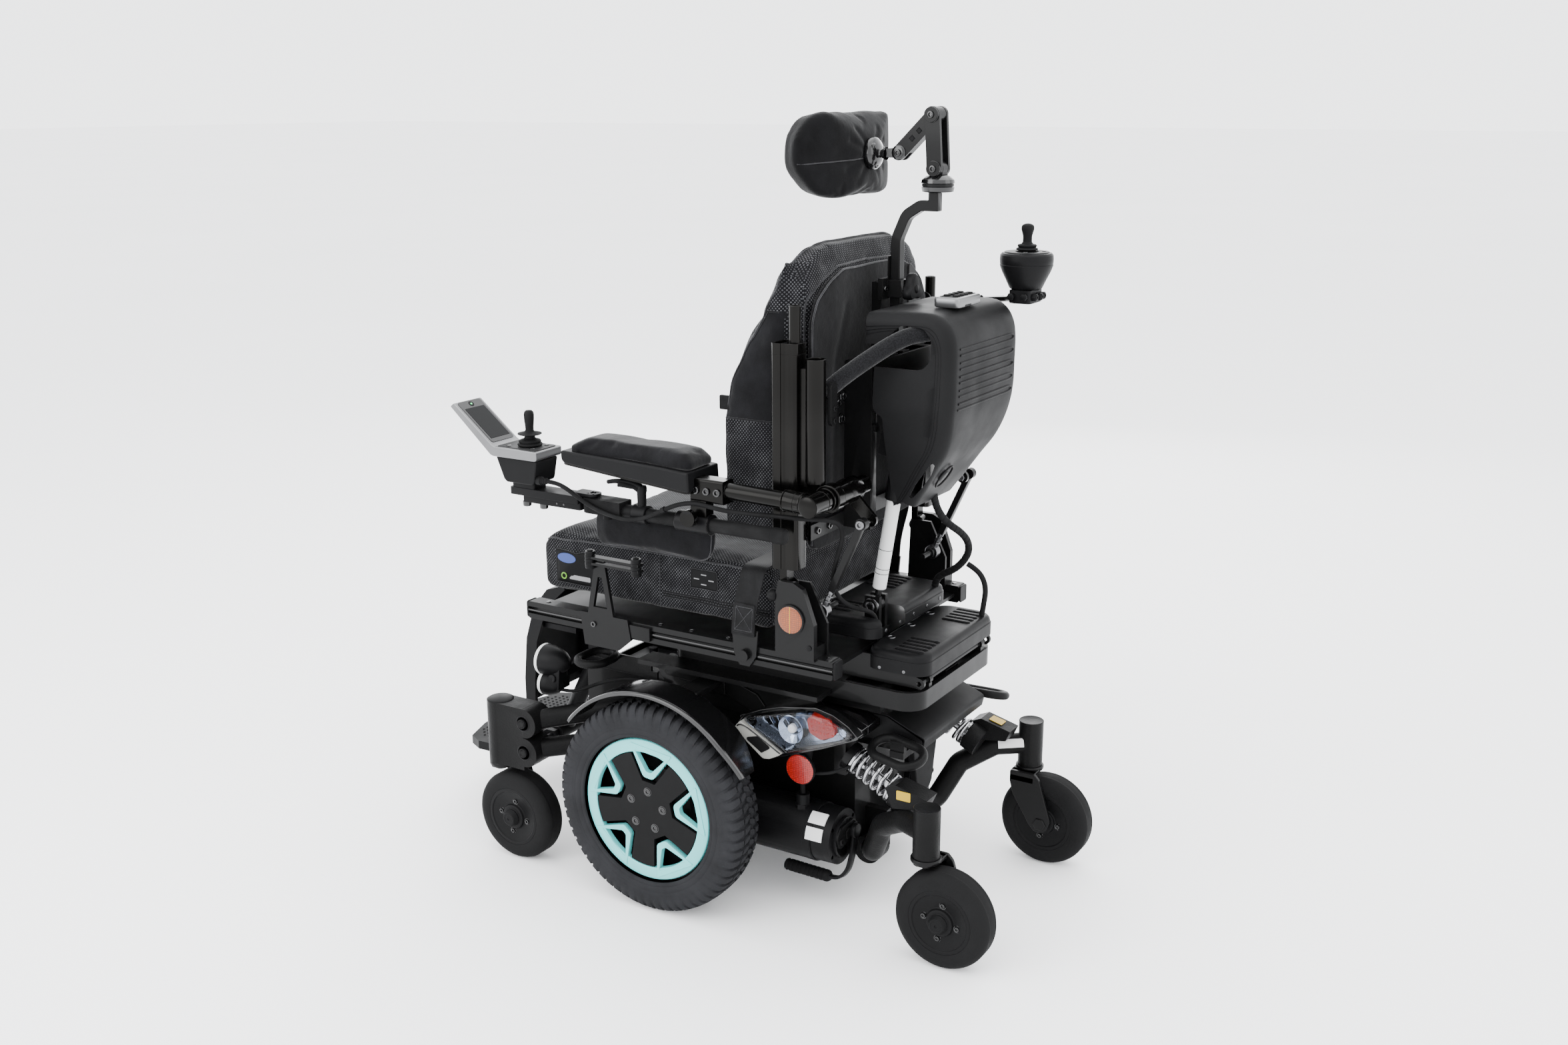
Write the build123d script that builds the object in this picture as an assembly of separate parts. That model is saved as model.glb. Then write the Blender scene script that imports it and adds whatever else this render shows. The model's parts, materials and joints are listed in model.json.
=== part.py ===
from build123d import *
import math
import os

# Centre-drive power wheelchair on six wheels, with a tilting seat and a reclining back.
# Millimetres. +Z is up, the chair faces -Y and the user's left is +X. The origin is on the
# floor, midway between the two drive wheels.

# ---------------------------------------------------------------- driving dimensions
# Drive wheels, 14 x 3 inch
DRIVE_X = 268.8
TYRE_R = 178.0
TYRE_W = 76.0
BEAD_R = 124.0
COVER_R = 120.6
AXLE_R = 12.0
RUNNING_FIT = 0.06
WINDOW_TURN = 6.0
WINDOW_TIP = 67.0

# Casters, 6 inch
CASTER_R = 79.0
CASTER_W = 48.0
CASTER_TRAIL = 35.0
REAR_STEM = (202.0, 451.0)
FRONT_STEM = (250.0, -343.0)
STEM_BASE_Z = 172.0
HOUSING_R = 21.0
STEM_R = 10.0

# Base
BASE_HALF_W = 85.0
BASE_FRONT = -275.0
BASE_REAR = 262.0
BASE_FLOOR = 82.0
MOTOR_X = 140.0
MOTOR_Z = 133.0
MOTOR_R = 48.0
MOTOR_REAR = 278.0
REAR_PIVOT = (290.0, 92.0)
FRONT_PIVOT = (-110.0, 262.0)
SPRING_TOP = (135.0, 290.0, 270.0)
SPRING_FOOT = (135.0, 364.0, 232.0)
SPRING_R = 20.0

# Seat
RAIL_X = (209.0, 235.0)
RAIL_Y = (-285.0, 305.0)
RAIL_Z = (436.0, 466.0)
TILT_AXIS = (395.0, 413.0)
TRAY_HALF_W = 145.0
TRAY_REAR = 403.0
TRAY_Z = (371.0, 401.0)
CUSHION_HALF_W = 215.0

# Back, all joints as (Y, Z)
RECLINE = (222.0, 568.0)
ARM_AXIS = (288.0, 714.0)
ROD_FOOT = (262.0, 528.0)
ROD_HEAD = (ROD_FOOT[0] + ARM_AXIS[0] - RECLINE[0], ROD_FOOT[1] + ARM_AXIS[1] - RECLINE[1])
ACTUATOR_FOOT = (288.0, 510.0)
ACTUATOR_HEAD = (335.0, 800.0)
CANE_X = 221.0

# Head support joints at X 0, as (Y, Z)
HEAD_BASE = (348.0, 1182.0)
HEAD_ELBOW = (343.0, 1260.0)
HEAD_TIP = (286.0, 1204.0)

# Joystick pod
POD_X = 272.0
POD_Y = (-280.0, -195.0)
STICK_Y = -233.0
SWING_Y = -108.0

# Leg support
KNEE = (-303.0, 440.0)
FOOT_HINGE = (-405.0, 128.0)
FOOT_TIP = -556.0

SIDES = {"left": 1, "right": -1}


# ---------------------------------------------------------------- helpers
def block(x, y, z):
    """A box between a low and a high value on each axis."""
    middle = Pos((x[0] + x[1]) / 2, (y[0] + y[1]) / 2, (z[0] + z[1]) / 2)
    return middle * Box(x[1] - x[0], y[1] - y[0], z[1] - z[0])


def soft_block(x, y, z, radius, axis=None):
    """A block with rounded edges, all of them or only those along one axis."""
    shape = block(x, y, z)
    edges = shape.edges().filter_by(axis) if axis else shape.edges()
    return fillet(edges, radius)


def rod(start, end, radius):
    """A round bar between two points."""
    line = Vector(*end) - Vector(*start)
    place = Plane(origin=start, z_dir=line)
    return place * Cylinder(radius, line.length, align=(Align.CENTER, Align.CENTER, Align.MIN))


def rod_x(x, yz, radius):
    """A round bar along X, through a (Y, Z) point."""
    return rod((x[0], yz[0], yz[1]), (x[1], yz[0], yz[1]), radius)


def plate_yz(x, points):
    """A plate with a (Y, Z) outline, between two X values."""
    return extrude(Plane.YZ.offset(x[0]) * Polygon(*points, align=None), x[1] - x[0], (1, 0, 0))


def plate_xz(y, points):
    """A plate with an (X, Z) outline, between two Y values."""
    return extrude(Plane.XZ.offset(-y[0]) * Polygon(*points, align=None), y[1] - y[0], (0, 1, 0))


def plate_xy(z, points):
    """A plate with an (X, Y) outline, between two Z values."""
    return extrude(Plane.XY.offset(z[0]) * Polygon(*points, align=None), z[1] - z[0], (0, 0, 1))


def tube_path(points, radii, radius):
    """A round bar along straight runs joined by arcs."""
    path = FilletPolyline(*points, radius=radii)
    return sweep((path ^ 0) * Circle(radius), path=path)


def link(start, end, width, x):
    """A flat link with round ends in the YZ plane, between two X values."""
    run = Vector(end[0] - start[0], end[1] - start[1])
    turn = math.degrees(math.atan2(run.Y, run.X))
    middle = Pos((start[0] + end[0]) / 2, (start[1] + end[1]) / 2)
    outline = middle * Rot(0, 0, turn) * SlotCenterToCenter(run.length, width)
    return extrude(Plane.YZ.offset(x[0]) * outline, x[1] - x[0], (1, 0, 0))


def flip(shape):
    """The mirror image on the other side of the chair."""
    return mirror(shape, about=Plane.YZ)


def both(shape):
    """A part and its mirror image."""
    return [shape, flip(shape)]


def on_side(shape, side):
    """A part drawn on the left, put on the left or the right."""
    return shape if side > 0 else flip(shape)


def save(node, shapes):
    """One STEP file for a node."""
    solids = []
    for shape in shapes if isinstance(shapes, list) else [shapes]:
        solids.extend(shape.solids())
    part = Compound(children=solids) if len(solids) > 1 else solids[0]
    export_step(part, f"parts/{node}.step")


# ---------------------------------------------------------------- drive wheels
def wheel_place():
    return Pos(DRIVE_X, 0, TYRE_R)


def spin(points):
    """A solid of revolution about the X axis, from (X, radius) points."""
    return revolve(Plane.XZ * Polygon(*points, align=None), Axis.X)


def drive_tyre():
    half = TYRE_W / 2
    crown = [(half - 8, TYRE_R), (half, TYRE_R - 12), (half, TYRE_R - 30), (half - 4, BEAD_R + 0.2)]
    section = [(-x, r) for x, r in reversed(crown)]
    return wheel_place() * spin(crown + section)


def drive_rim():
    barrel = spin([(-34, BEAD_R), (25.8, BEAD_R), (25.8, 110), (20, 110), (20, 116), (-34, 116)])
    web = spin([(2, 117), (10, 117), (10, 25), (2, 25)])
    hub = rod((-30, 0, 0), (18, 0, 0), 30)
    axle = rod((-80, 0, 0), (-29, 0, 0), AXLE_R)
    return wheel_place() * (barrel + web + hub + axle)


def notch(width, depth, start, x):
    """A V that points from the wheel's rim towards its centre."""
    outline = [(-width, COVER_R - start), (width, COVER_R - start), (7, depth), (-7, depth)]
    face = fillet(Polygon(*outline, align=None).vertices(), 4)
    return extrude(Plane.YZ.offset(x[0]) * face, x[1] - x[0], (1, 0, 0))


def around_wheel(shape):
    shapes = [Rot(72 * i - WINDOW_TURN, 0, 0) * shape for i in range(5)]
    whole = shapes[0]
    for other in shapes[1:]:
        whole += other
    return whole


def rim_cover():
    ring = spin([(26, COVER_R), (32, COVER_R - 2), (32, 99), (26, 99)])
    frame = around_wheel(notch(36, WINDOW_TIP - 10, 16, (26, 34)))
    window = around_wheel(notch(25, WINDOW_TIP, 23, (25, 35)))
    return wheel_place() * (ring + frame - window)


def rim_insert():
    disc = spin([(24, 98.6), (31, 98.6), (36, 48), (36, 0), (24, 0)]) + rod((18.2, 0, 0), (24, 0, 0), 28)
    gaps = around_wheel(notch(36.6, WINDOW_TIP - 11, 15, (22, 37)))
    ring = 32.6
    screws = [rod((35, ring * math.sin(a), ring * math.cos(a)), (37.5, ring * math.sin(a), ring * math.cos(a)), 5)
              for a in (math.radians(72 * i + WINDOW_TURN) for i in range(5))]
    plate = disc - gaps
    for screw in screws:
        plate += screw
    return wheel_place() * plate


# ---------------------------------------------------------------- casters
def caster_places():
    """Stem places of the four casters, drawn on the left."""
    return {"rear": REAR_STEM, "front": FRONT_STEM}


def caster_wheel(stem):
    centre = Pos(stem[0], stem[1] + CASTER_TRAIL, CASTER_R)
    half = CASTER_W / 2
    tyre = spin([(-half + 9, CASTER_R), (half - 9, CASTER_R), (half, CASTER_R - 10), (half, 52.2),
                 (-half, 52.2), (-half, CASTER_R - 10)])
    hub = spin([(-half + 1, 52), (half - 1, 52), (half - 5, 30), (half - 1, 16),
                (half + 2, 16), (half + 2, 6 + RUNNING_FIT), (-half, 6 + RUNNING_FIT), (-half, 20),
                (-half + 6, 26)])
    return [centre * tyre, centre * hub]


def caster_fork(stem):
    """Crown, stem and a single leg on the inner side, bent from plate."""
    x, y = stem
    top = STEM_BASE_Z - 4
    crown = rod((x, y, STEM_BASE_Z - 9), (x, y, STEM_BASE_Z - 0.4), 24)
    pin = rod((x, y, STEM_BASE_Z - 5), (x, y, STEM_BASE_Z + 66), STEM_R)
    shelf = block((x - 35, x + 2), (y - 20, y + 20), (top - 6, top))
    wheel_y = y + CASTER_TRAIL
    outline = [(y - 20, top), (y + 20, top), (y + 34, top - 20), (wheel_y + 17, CASTER_R + 4),
               (wheel_y - 16, CASTER_R - 4), (y - 17, top - 40)]
    leg = plate_yz((x - 35, x - 28.5), outline) + rod_x((x - 35, x - 28.5), (wheel_y, CASTER_R), 17)
    axle = rod_x((x - 30, x + 27), (wheel_y, CASTER_R), 6)
    cap = rod_x((x + 26.5, x + 33), (wheel_y, CASTER_R), 13)
    spacer = rod_x((x - 29, x - 24.5), (wheel_y, CASTER_R), 12)
    return crown + pin + shelf + leg + axle + cap + spacer


def stem_housing(stem, height, radius):
    x, y = stem
    body = rod((x, y, STEM_BASE_Z), (x, y, STEM_BASE_Z + height), radius)
    bore = rod((x, y, STEM_BASE_Z - 1), (x, y, STEM_BASE_Z + 68), STEM_R + RUNNING_FIT)
    return body, bore


def rear_arm():
    """Cast arm from the base pivot to the rear caster, with the spring's seat."""
    x, y = REAR_STEM
    housing, bore = stem_housing(REAR_STEM, 78, HOUSING_R)
    route = [(x - 4, y - 6, 210), (172, 398, 206), (142, 345, 172), (118, 316, 110), (74, REAR_PIVOT[0], 92)]
    arm = tube_path(route, [30, 26, 26], 18)
    boss = rod_x((56, 90), REAR_PIVOT, 24) - rod_x((50, 96), REAR_PIVOT, 8 + RUNNING_FIT)
    foot = Vector(*SPRING_FOOT)
    along = (foot - Vector(*SPRING_TOP)).normalized()
    cup = rod(foot + along * 0.4, foot + along * 26, 25)
    seat = plate_yz((140, 176), [(378, 222), (430, 230), (438, 248), (384, 262), (366, 254)])
    whole = housing + (arm - rod_x((50, 96), REAR_PIVOT, 20)) + boss + cup + seat
    return whole - bore


def rear_spring():
    """A coil spring between the base and the rear arm, along its own axis."""
    top = Vector(*SPRING_TOP)
    foot = Vector(*SPRING_FOOT)
    line = foot - top
    wire = 3.0
    length = line.length - 2 * wire - 1.0
    helix = Helix(pitch=length / 6, height=length, radius=SPRING_R - wire)
    coil = sweep((helix ^ 0) * Circle(wire), path=helix)
    start = top + line.normalized() * (wire + 0.5)
    return Plane(origin=start, z_dir=line) * coil


def front_arm():
    """Two links and the head that holds the front caster's stem."""
    x, y = FRONT_STEM
    housing, bore = stem_housing(FRONT_STEM, 112, 24)
    head = block((x - 22, x + 22), (y, -278), (STEM_BASE_Z, 284))
    nose = rod_x((x - 22, x + 22), (-276, 258), 26) + rod_x((x - 22, x + 22), (-276, 205), 26)
    upper = tube_path([(x, -272, 258), (212, -215, 268), (150, -130, 283), (128, -110, 283)], [40, 22], 17)
    lower = tube_path([(x, -272, 206), (212, -212, 214), (150, -130, 240), (128, -110, 240)], [40, 22], 17)
    hub = rod_x((106, 152), FRONT_PIVOT, 30)
    bolts = [rod_x((x + 20, x + 26), (-278, z), 8) for z in (258, 205)]
    whole = housing + head + nose + upper + lower + hub
    for bolt in bolts:
        whole += bolt
    whole -= rod_x((152, 185), FRONT_PIVOT, 15)
    return whole - bore - rod_x((100, 160), FRONT_PIVOT, 9 + RUNNING_FIT)


# ---------------------------------------------------------------- base
def chassis_frame():
    """Welded battery box with the pivots, the seat's slide rails and the spring brackets."""
    inner = BASE_HALF_W
    wall = 4.0
    y = (BASE_FRONT, BASE_REAR)
    parts = [block((-inner - wall, inner + wall), y, (BASE_FLOOR, BASE_FLOOR + wall))]
    parts += both(block((inner, inner + wall), y, (BASE_FLOOR, 330)))
    parts.append(block((-inner - wall, inner + wall), (y[0] - wall, y[0]), (BASE_FLOOR, 300)))
    parts.append(block((-inner - wall, inner + wall), (y[1], y[1] + wall), (BASE_FLOOR, 330)))
    parts += both(block((92, 106), (BASE_REAR, 376), (286, 299)))
    parts.append(block((-inner - 40, inner + 40), (-80, -50), (318, 352)))
    parts.append(block((-inner - 40, inner + 40), (180, 210), (318, 352)))
    side = plate_yz((146, 152), [(-92, 382), (252, 382), (200, 312), (60, 312), (-60, 330)])
    flange = plate_yz((146, 190), [(-92, 376), (252, 376), (252, 384), (-92, 384)])
    parts += both(side + flange + block((88, 150), (-80, -50), (330, 352)))
    parts += both(block((88, 150), (180, 210), (330, 352)))
    rail = block((96, 126), (-90, 330), (352, 366))
    parts += both(rail)
    lug = block((38, 52), (BASE_REAR, REAR_PIVOT[0] + 16), (84, 150))
    pin = rod_x((40, 93), REAR_PIVOT, 8)
    parts += both(lug + pin + rod_x((90.5, 96), REAR_PIVOT, 13))
    front_pin = rod_x((86, 154), FRONT_PIVOT, 9) + rod_x((86, 105.5), FRONT_PIVOT, 20)
    parts += both(front_pin + rod_x((152.6, 158), FRONT_PIVOT, 13))
    top = Vector(*SPRING_TOP)
    along = (Vector(*SPRING_FOOT) - top).normalized()
    bracket = rod(top - along * 12, top, 24) + block((86, 140), (255, 276), (240, 298))
    parts += both(bracket)
    whole = parts[0]
    for part in parts[1:]:
        whole += part
    return whole


def batteries():
    """Two sealed batteries, one behind the other."""
    cells = []
    for y in ((-268, -8), (-4, 256)):
        case = soft_block((-83, 83), y, (87, 292), 4, Axis.Z)
        posts = [rod((x, y[0] + 30, 292), (x, y[0] + 30, 303), 8) for x in (-55, 55)]
        cells.append(case + posts[0] + posts[1])
    return cells


def base_shroud():
    """Rear cover of the base: a sloping bonnet, a tongue below it and a pod behind each lamp."""
    bonnet = plate_yz((-112, 112), [(212, 346), (335, 346), (402, 318), (398, 300), (212, 300)])
    bonnet -= plate_yz((-108, 108), [(200, 342), (333, 342), (397, 315), (394, 296), (200, 296)])
    tongue = plate_xz((336, 350), [(-62, 342), (62, 342), (44, 262), (24, 176), (-24, 176), (-44, 262)])
    skin = bonnet + tongue
    wing = plate_yz((111, 172), [(238, 351), (300, 346), (322, 338), (322, 324), (238, 329)])
    pod = plate_yz((152.5, 172), [(96, 316), (150, 334), (226, 351), (244, 350), (244, 300), (150, 272)])
    for piece in both(wing + pod):
        skin += piece
    return skin


def fender():
    """A band of sheet over the drive wheel, joined to the base by an inner flange."""
    band = spin([(-34, 200), (34, 200), (36, 197), (36, 192), (33, 192), (33, 196.5), (-34, 196.5)])
    place = Pos(DRIVE_X, 0, TYRE_R)
    keep = [(0, 0)] + [(260 * math.cos(math.radians(a)), 260 * math.sin(math.radians(a)))
                       for a in range(25, 143, 9)]
    wedge = plate_yz((-60, 60), keep)
    arch = place * (band & wedge)
    stay = block((154, 240), (20, 60), (362, 370)) & (place * rod((-130, 0, 0), (20, 0, 0), 199))
    post = block((152.5, 160), (20, 60), (340, 370))
    return arch + stay + post


def tail_lamp():
    """Clear lens with a red section and a pale trim piece, and the round reflector below."""
    lens = plate_yz((174, 206), [(118, 326), (151, 340), (188, 352), (248, 362), (276, 357),
                                 (304, 344), (322, 330), (259, 305), (200, 284)])
    lens = lens & rod((120, 200, 100), (120, 200, 400), 130)
    trim = plate_yz((174, 203), [(106, 312), (116, 322), (196, 281), (164, 268)])
    mirror_disc = rod((180, 214, 256), (190, 220, 256), 26)
    hanger = plate_yz((174, 181), [(190, 284), (240, 299), (228, 262), (204, 262)])
    return [lens, trim, mirror_disc, hanger]


def head_lamp():
    """A large lamp over a small one, with a stalk back to the base."""
    big = revolve(Plane.XZ * Polygon((0, 0), (27, 0), (27, 14), (22, 40), (10, 56), (0, 58), align=None), Axis.Z)
    small = revolve(Plane.XZ * Polygon((0, 0), (22, 0), (22, 12), (16, 34), (0, 40), align=None), Axis.Z)
    facing = Rot(-90, 0, 0)
    lamp = Pos(192, -292, 348) * facing * big + Pos(196, -288, 308) * facing * small
    lamp += block((178, 206), (-262, -250), (310, 346))
    stalk = block((130, 186), (-256, -246), (322, 340)) + block((130, 140), (-256, -80.1), (331, 349))
    stalk += block((130, 140), (-256, -246), (322, 349))
    return lamp + stalk


def lamps():
    parts = []
    for piece in tail_lamp() + [head_lamp()]:
        parts += both(piece)
    return parts


def drive_motor():
    """Motor, end cap, right-angle gearbox and its output bore, with the cable gland."""
    z = MOTOR_Z
    can = rod((MOTOR_X, 62, z), (MOTOR_X, 238, z), MOTOR_R)
    cap = rod((MOTOR_X, 237, z), (MOTOR_X, MOTOR_REAR - 6, z), MOTOR_R - 2)
    plate = rod((MOTOR_X, MOTOR_REAR - 7, z), (MOTOR_X, MOTOR_REAR, z), 34)
    gearbox = soft_block((94, 205), (-62, 64), (106, 232), 12, Axis.X)
    nose = rod_x((204, 226), (0, TYRE_R), 40)
    bore = rod_x((186, 230), (0, TYRE_R), AXLE_R + RUNNING_FIT)
    gland = rod((MOTOR_X + 14, 206, z + 40), (MOTOR_X + 14, 206, z + 66), 11)
    foot = block((89.4, 100), (-40, 40), (130, 220))
    hub = rod((MOTOR_X - 14, MOTOR_REAR - 1, z + 8), (MOTOR_X - 14, MOTOR_REAR + 4, z + 8), 7)
    return (can + cap + plate + gearbox + nose + gland + foot + hub) - bore


def freewheel_lever():
    """A curved strap on the motor's end that ends in a grip lying under the motor."""
    z = MOTOR_Z
    y = MOTOR_REAR + 9
    strap = tube_path([(MOTOR_X - 14, y, z + 8), (MOTOR_X - 4, y, z - 30), (MOTOR_X + 4, y - 8, z - 62),
                       (MOTOR_X + 6, y - 34, z - 74)], [24, 16], 4.5)
    boss = rod((MOTOR_X - 14, y - 4.5, z + 8), (MOTOR_X - 14, y + 5, z + 8), 12)
    grip = rod((MOTOR_X + 6, y - 33, z - 74), (MOTOR_X + 8, y - 118, z - 72), 10)
    return strap + boss + grip


def ring_bar(half_length, half_width, radius):
    """A closed stadium-shaped loop of round bar, lying flat, its long side along Y."""
    run = half_length - half_width
    hoop = [rod((side * half_width, -run, 0), (side * half_width, run, 0), radius) for side in (-1, 1)]
    bend = Torus(half_width, radius)
    far = Pos(0, run, 0) * (bend & block((-90, 90), (0, 90), (-20, 20)))
    near = Pos(0, -run, 0) * (bend & block((-90, 90), (-90, 0), (-20, 20)))
    return hoop[0] + hoop[1] + far + near


def tie_down_loops():
    """Four closed loops of round bar, two at the rear corners and two at the front."""
    rear = Pos(152, 374, 306) * Rot(0, 17, 0) * Rot(0, 0, -13) * ring_bar(45, 25, 7)
    foot = block((106, 136), (352, 376), (287, 298)) + block((124, 134), (352, 376), (290, 314))
    front = Pos(192, -176, 371) * Rot(0, 0, 90) * ring_bar(36, 26, 7)
    tab = block((147.5, 166), (-196, -156), (362, 368)) + block((147.5, 152), (-196, -92.5), (340, 368))
    tab += block((140.2, 152), (-110, -80.2), (335, 350))
    return both(rear + foot) + both(front + tab)


# ---------------------------------------------------------------- seat
def tilt_carriage():
    """The sliding tray that carries the tilt hinge, with its screw drive underneath."""
    outer = soft_block((-TRAY_HALF_W, TRAY_HALF_W), (-60, TRAY_REAR), TRAY_Z, 36, Axis.Z)
    inner = soft_block((-TRAY_HALF_W + 8, TRAY_HALF_W - 8), (-52, TRAY_REAR - 8),
                       (TRAY_Z[0] + 4, TRAY_Z[1] + 1), 29, Axis.Z)
    tray = outer - inner
    window = soft_block((-80, 80), (0, 300), (TRAY_Z[0] - 1, TRAY_Z[0] + 5), 20, Axis.Z)
    tray -= window
    for side in (-1, 1):
        shoe = block((side * 111 - 13, side * 111 + 13), (-40, 330), (366.4, 372))
        lug = block((side * 96 - 5, side * 96 + 5), (TILT_AXIS[0] - 12, TILT_AXIS[0] + 6), (374, 408))
        eye = rod_x((side * 96 - 5, side * 96 + 5), TILT_AXIS, 8)
        tray += shoe + lug + eye
    pin = rod_x((-112, 112), TILT_AXIS, 4)
    drive = rod((0, 20, 384), (0, 300, 384), 8) + block((-22, 22), (296, 392), (374.5, 402))
    return tray + pin + drive


def seat_frame():
    """Slotted side rails, the seat pan, the rear hinge lugs and the brackets on the rails."""
    groove = block((228.5, 240), (RAIL_Y[0] - 5, RAIL_Y[1] + 5), (445, 457))
    rail = soft_block(RAIL_X, RAIL_Y, RAIL_Z, 5, Axis.X) - groove
    pan = block((-209.5, 209.5), (-276, 296), (446, 452))
    window = soft_block((-70, 70), (-200, 60), (440, 460), 20, Axis.Z)
    whole = pan - window + rail + flip(rail)
    for y in (-276, 20, 260):
        whole += block((-209, 209), (y, y + 24), (440, 447))
    for side in (-1, 1):
        tail = plate_yz((side * 122 - 3, side * 122 + 3), [(250, 405), (395, 405), (395, 422), (384, 426),
                                                           (380, 447), (250, 447)])
        tail += rod_x((side * 122 - 3, side * 122 + 3), TILT_AXIS, 9)
        tail -= rod_x((side * 122 - 8, side * 122 + 8), TILT_AXIS, 4 + RUNNING_FIT)
        whole += tail
    for side in SIDES.values():
        whole += on_side(cane_bracket() + thigh_bracket() + belt_anchor(), side)
    lug = block((50, 58), (274, 300), (450, 524)) + block((70, 78), (274, 300), (450, 524))
    whole += lug + block((44, 84), (268, 300), (447, 470))
    whole -= rod_x((40, 90), ACTUATOR_FOOT, 5 + RUNNING_FIT)
    return whole


def cane_bracket():
    """Two cheeks on the rail that hold the recline pivot, and the amber reflector."""
    outline = [(208, 464), (276, 464), (276, 520), (256, 574), (240, 582), (214, 582), (208, 560)]
    outer = plate_yz((232, 242), outline)
    inner = plate_yz((203.5, 208.5), [(208, 464), (280, 464), (280, 516), (250, 576), (212, 576)])
    cheeks = outer + inner + block((205, 240), (208, 276), (462, 484))
    cheeks += rod_x((204, 240), RECLINE, 7)
    cheeks += rod_x((242, 245), (236, 524), 24)
    ball = rod((238, 214, 557), (238, 206, 557), 4) + Pos(238, 202, 557) * Sphere(9)
    stud = rod_x((150, 205), ROD_FOOT, 5) + rod_x((176, 205), ROD_FOOT, 8)
    return cheeks + ball + stud


def thigh_bracket():
    """Plate on the rail, a slotted triangle above it and the bars that carry the thigh pad."""
    plate = plate_yz((236, 242), [(-168, 470), (-72, 470), (-66, 436), (-92, 414), (-160, 414)])
    triangle = plate_yz((236, 242), [(-152, 468), (-100, 468), (-116, 562), (-134, 562)])
    triangle -= plate_yz((230, 250), [(-140, 482), (-112, 482), (-121, 534), (-129, 534)])
    bar = block((238, 252), (-146, -40), (556, 560)) + block((238, 252), (-146, -40), (566, 570))
    posts = rod((246, -140, 550), (246, -140, 578), 8) + rod((246, -48, 550), (246, -48, 578), 8)
    clamp = block((228, 240), (-72, -30), (440, 462))
    return plate + triangle + bar + posts + clamp


def belt_anchor():
    tab = plate_yz((236, 240), [(128, 494), (176, 494), (172, 452), (160, 434), (142, 434), (132, 452)])
    bolt = rod_x((230, 247), (152, 452), 9)
    return tab + bolt


def seat_cushion():
    base = soft_block((-CUSHION_HALF_W + 8, CUSHION_HALF_W - 8), (-294, 188), (474, 590), 14)
    hollow = rod((0, 190, 640), (0, 60, 640), 62)
    return base - hollow


def rear_cover(half_w, y, z, radius):
    """A moulded lid, open underneath."""
    shell = soft_block((-half_w, half_w), y, z, radius, Axis.Z)
    shell = fillet(shell.faces().sort_by(Axis.Z)[-1].edges(), 6)
    wall = 3.0
    inside = soft_block((-half_w + wall, half_w - wall), (y[0] + wall, y[1] - wall),
                        (z[0] - 1, z[1] - wall), radius - wall, Axis.Z)
    return shell - inside


def seat_rear_covers():
    """Two ribbed lids over the mechanism, the upper one in front of the lower one."""
    upper = rear_cover(129, (196, 322), (470.5, 500), 24)
    upper -= block((30, 107), (264, 330), (466, 504))
    upper -= block((96, 140), (230, 262), (466, 492))
    lower = rear_cover(132, (302, 409), (426, 460), 26)
    lower -= block((-140, 140), (296, 303), (420, 470))
    lower -= block((-126, 126), (300, 319), (420, 452.5))
    upper -= rod((-98, 311, 460), (-98, 311, 520), 9)
    return [upper, lower]


def lap_belt():
    """Two webbing straps from the anchors up over the cushion's rear corners."""
    strap = plate_yz((241, 243.5), [(130, 482), (172, 482), (176, 520), (188, 596), (150, 596), (128, 520)])
    top = plate_xz((150, 188), [(243.5, 596), (241, 593.5), (170, 593.5), (100, 593.5), (100, 596)])
    return both(strap + top)


def thigh_pads():
    """Firm pads beside the thighs, on the bars of their brackets."""
    pad = soft_block((216.5, 237), (-142, 98), (580, 652), 9)
    return both(pad)


def recline_rod():
    """White inner tube of the recline actuator, with the bar and the clevis at its foot."""
    foot = (64, ACTUATOR_FOOT[0], ACTUATOR_FOOT[1])
    head = (64, ACTUATOR_HEAD[0], ACTUATOR_HEAD[1])
    along = (Vector(*head) - Vector(*foot)).normalized()
    tube = rod(Vector(*foot) + along * 26, Vector(*foot) + along * 214, 11)
    eye = rod_x((58.6, 69.4), ACTUATOR_FOOT, 12)
    neck = rod(Vector(*foot) + along * 4, Vector(*foot) + along * 28, 5)
    pin = rod_x((46, 86), ACTUATOR_FOOT, 5)
    bolt = rod_x((78.5, 88), ACTUATOR_FOOT, 12)
    return tube + eye + neck + pin + bolt


def recline_actuator():
    """Outer tube with its motor and gearbox, sliding on the white tube."""
    foot = Vector(64, ACTUATOR_FOOT[0], ACTUATOR_FOOT[1])
    head = Vector(64, ACTUATOR_HEAD[0], ACTUATOR_HEAD[1])
    along = (head - foot).normalized()
    outer = rod(foot + along * 176, head + along * 8, 15)
    bore = rod(foot + along * 170, foot + along * 264, 11 + RUNNING_FIT)
    gearbox = Plane(origin=head - along * 30, z_dir=along) * Box(58, 46, 34)
    motor = rod(head + Vector(-34, 4, -30), head + Vector(-34, -10, -116), 18)
    return (outer + gearbox + motor) - bore


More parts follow.
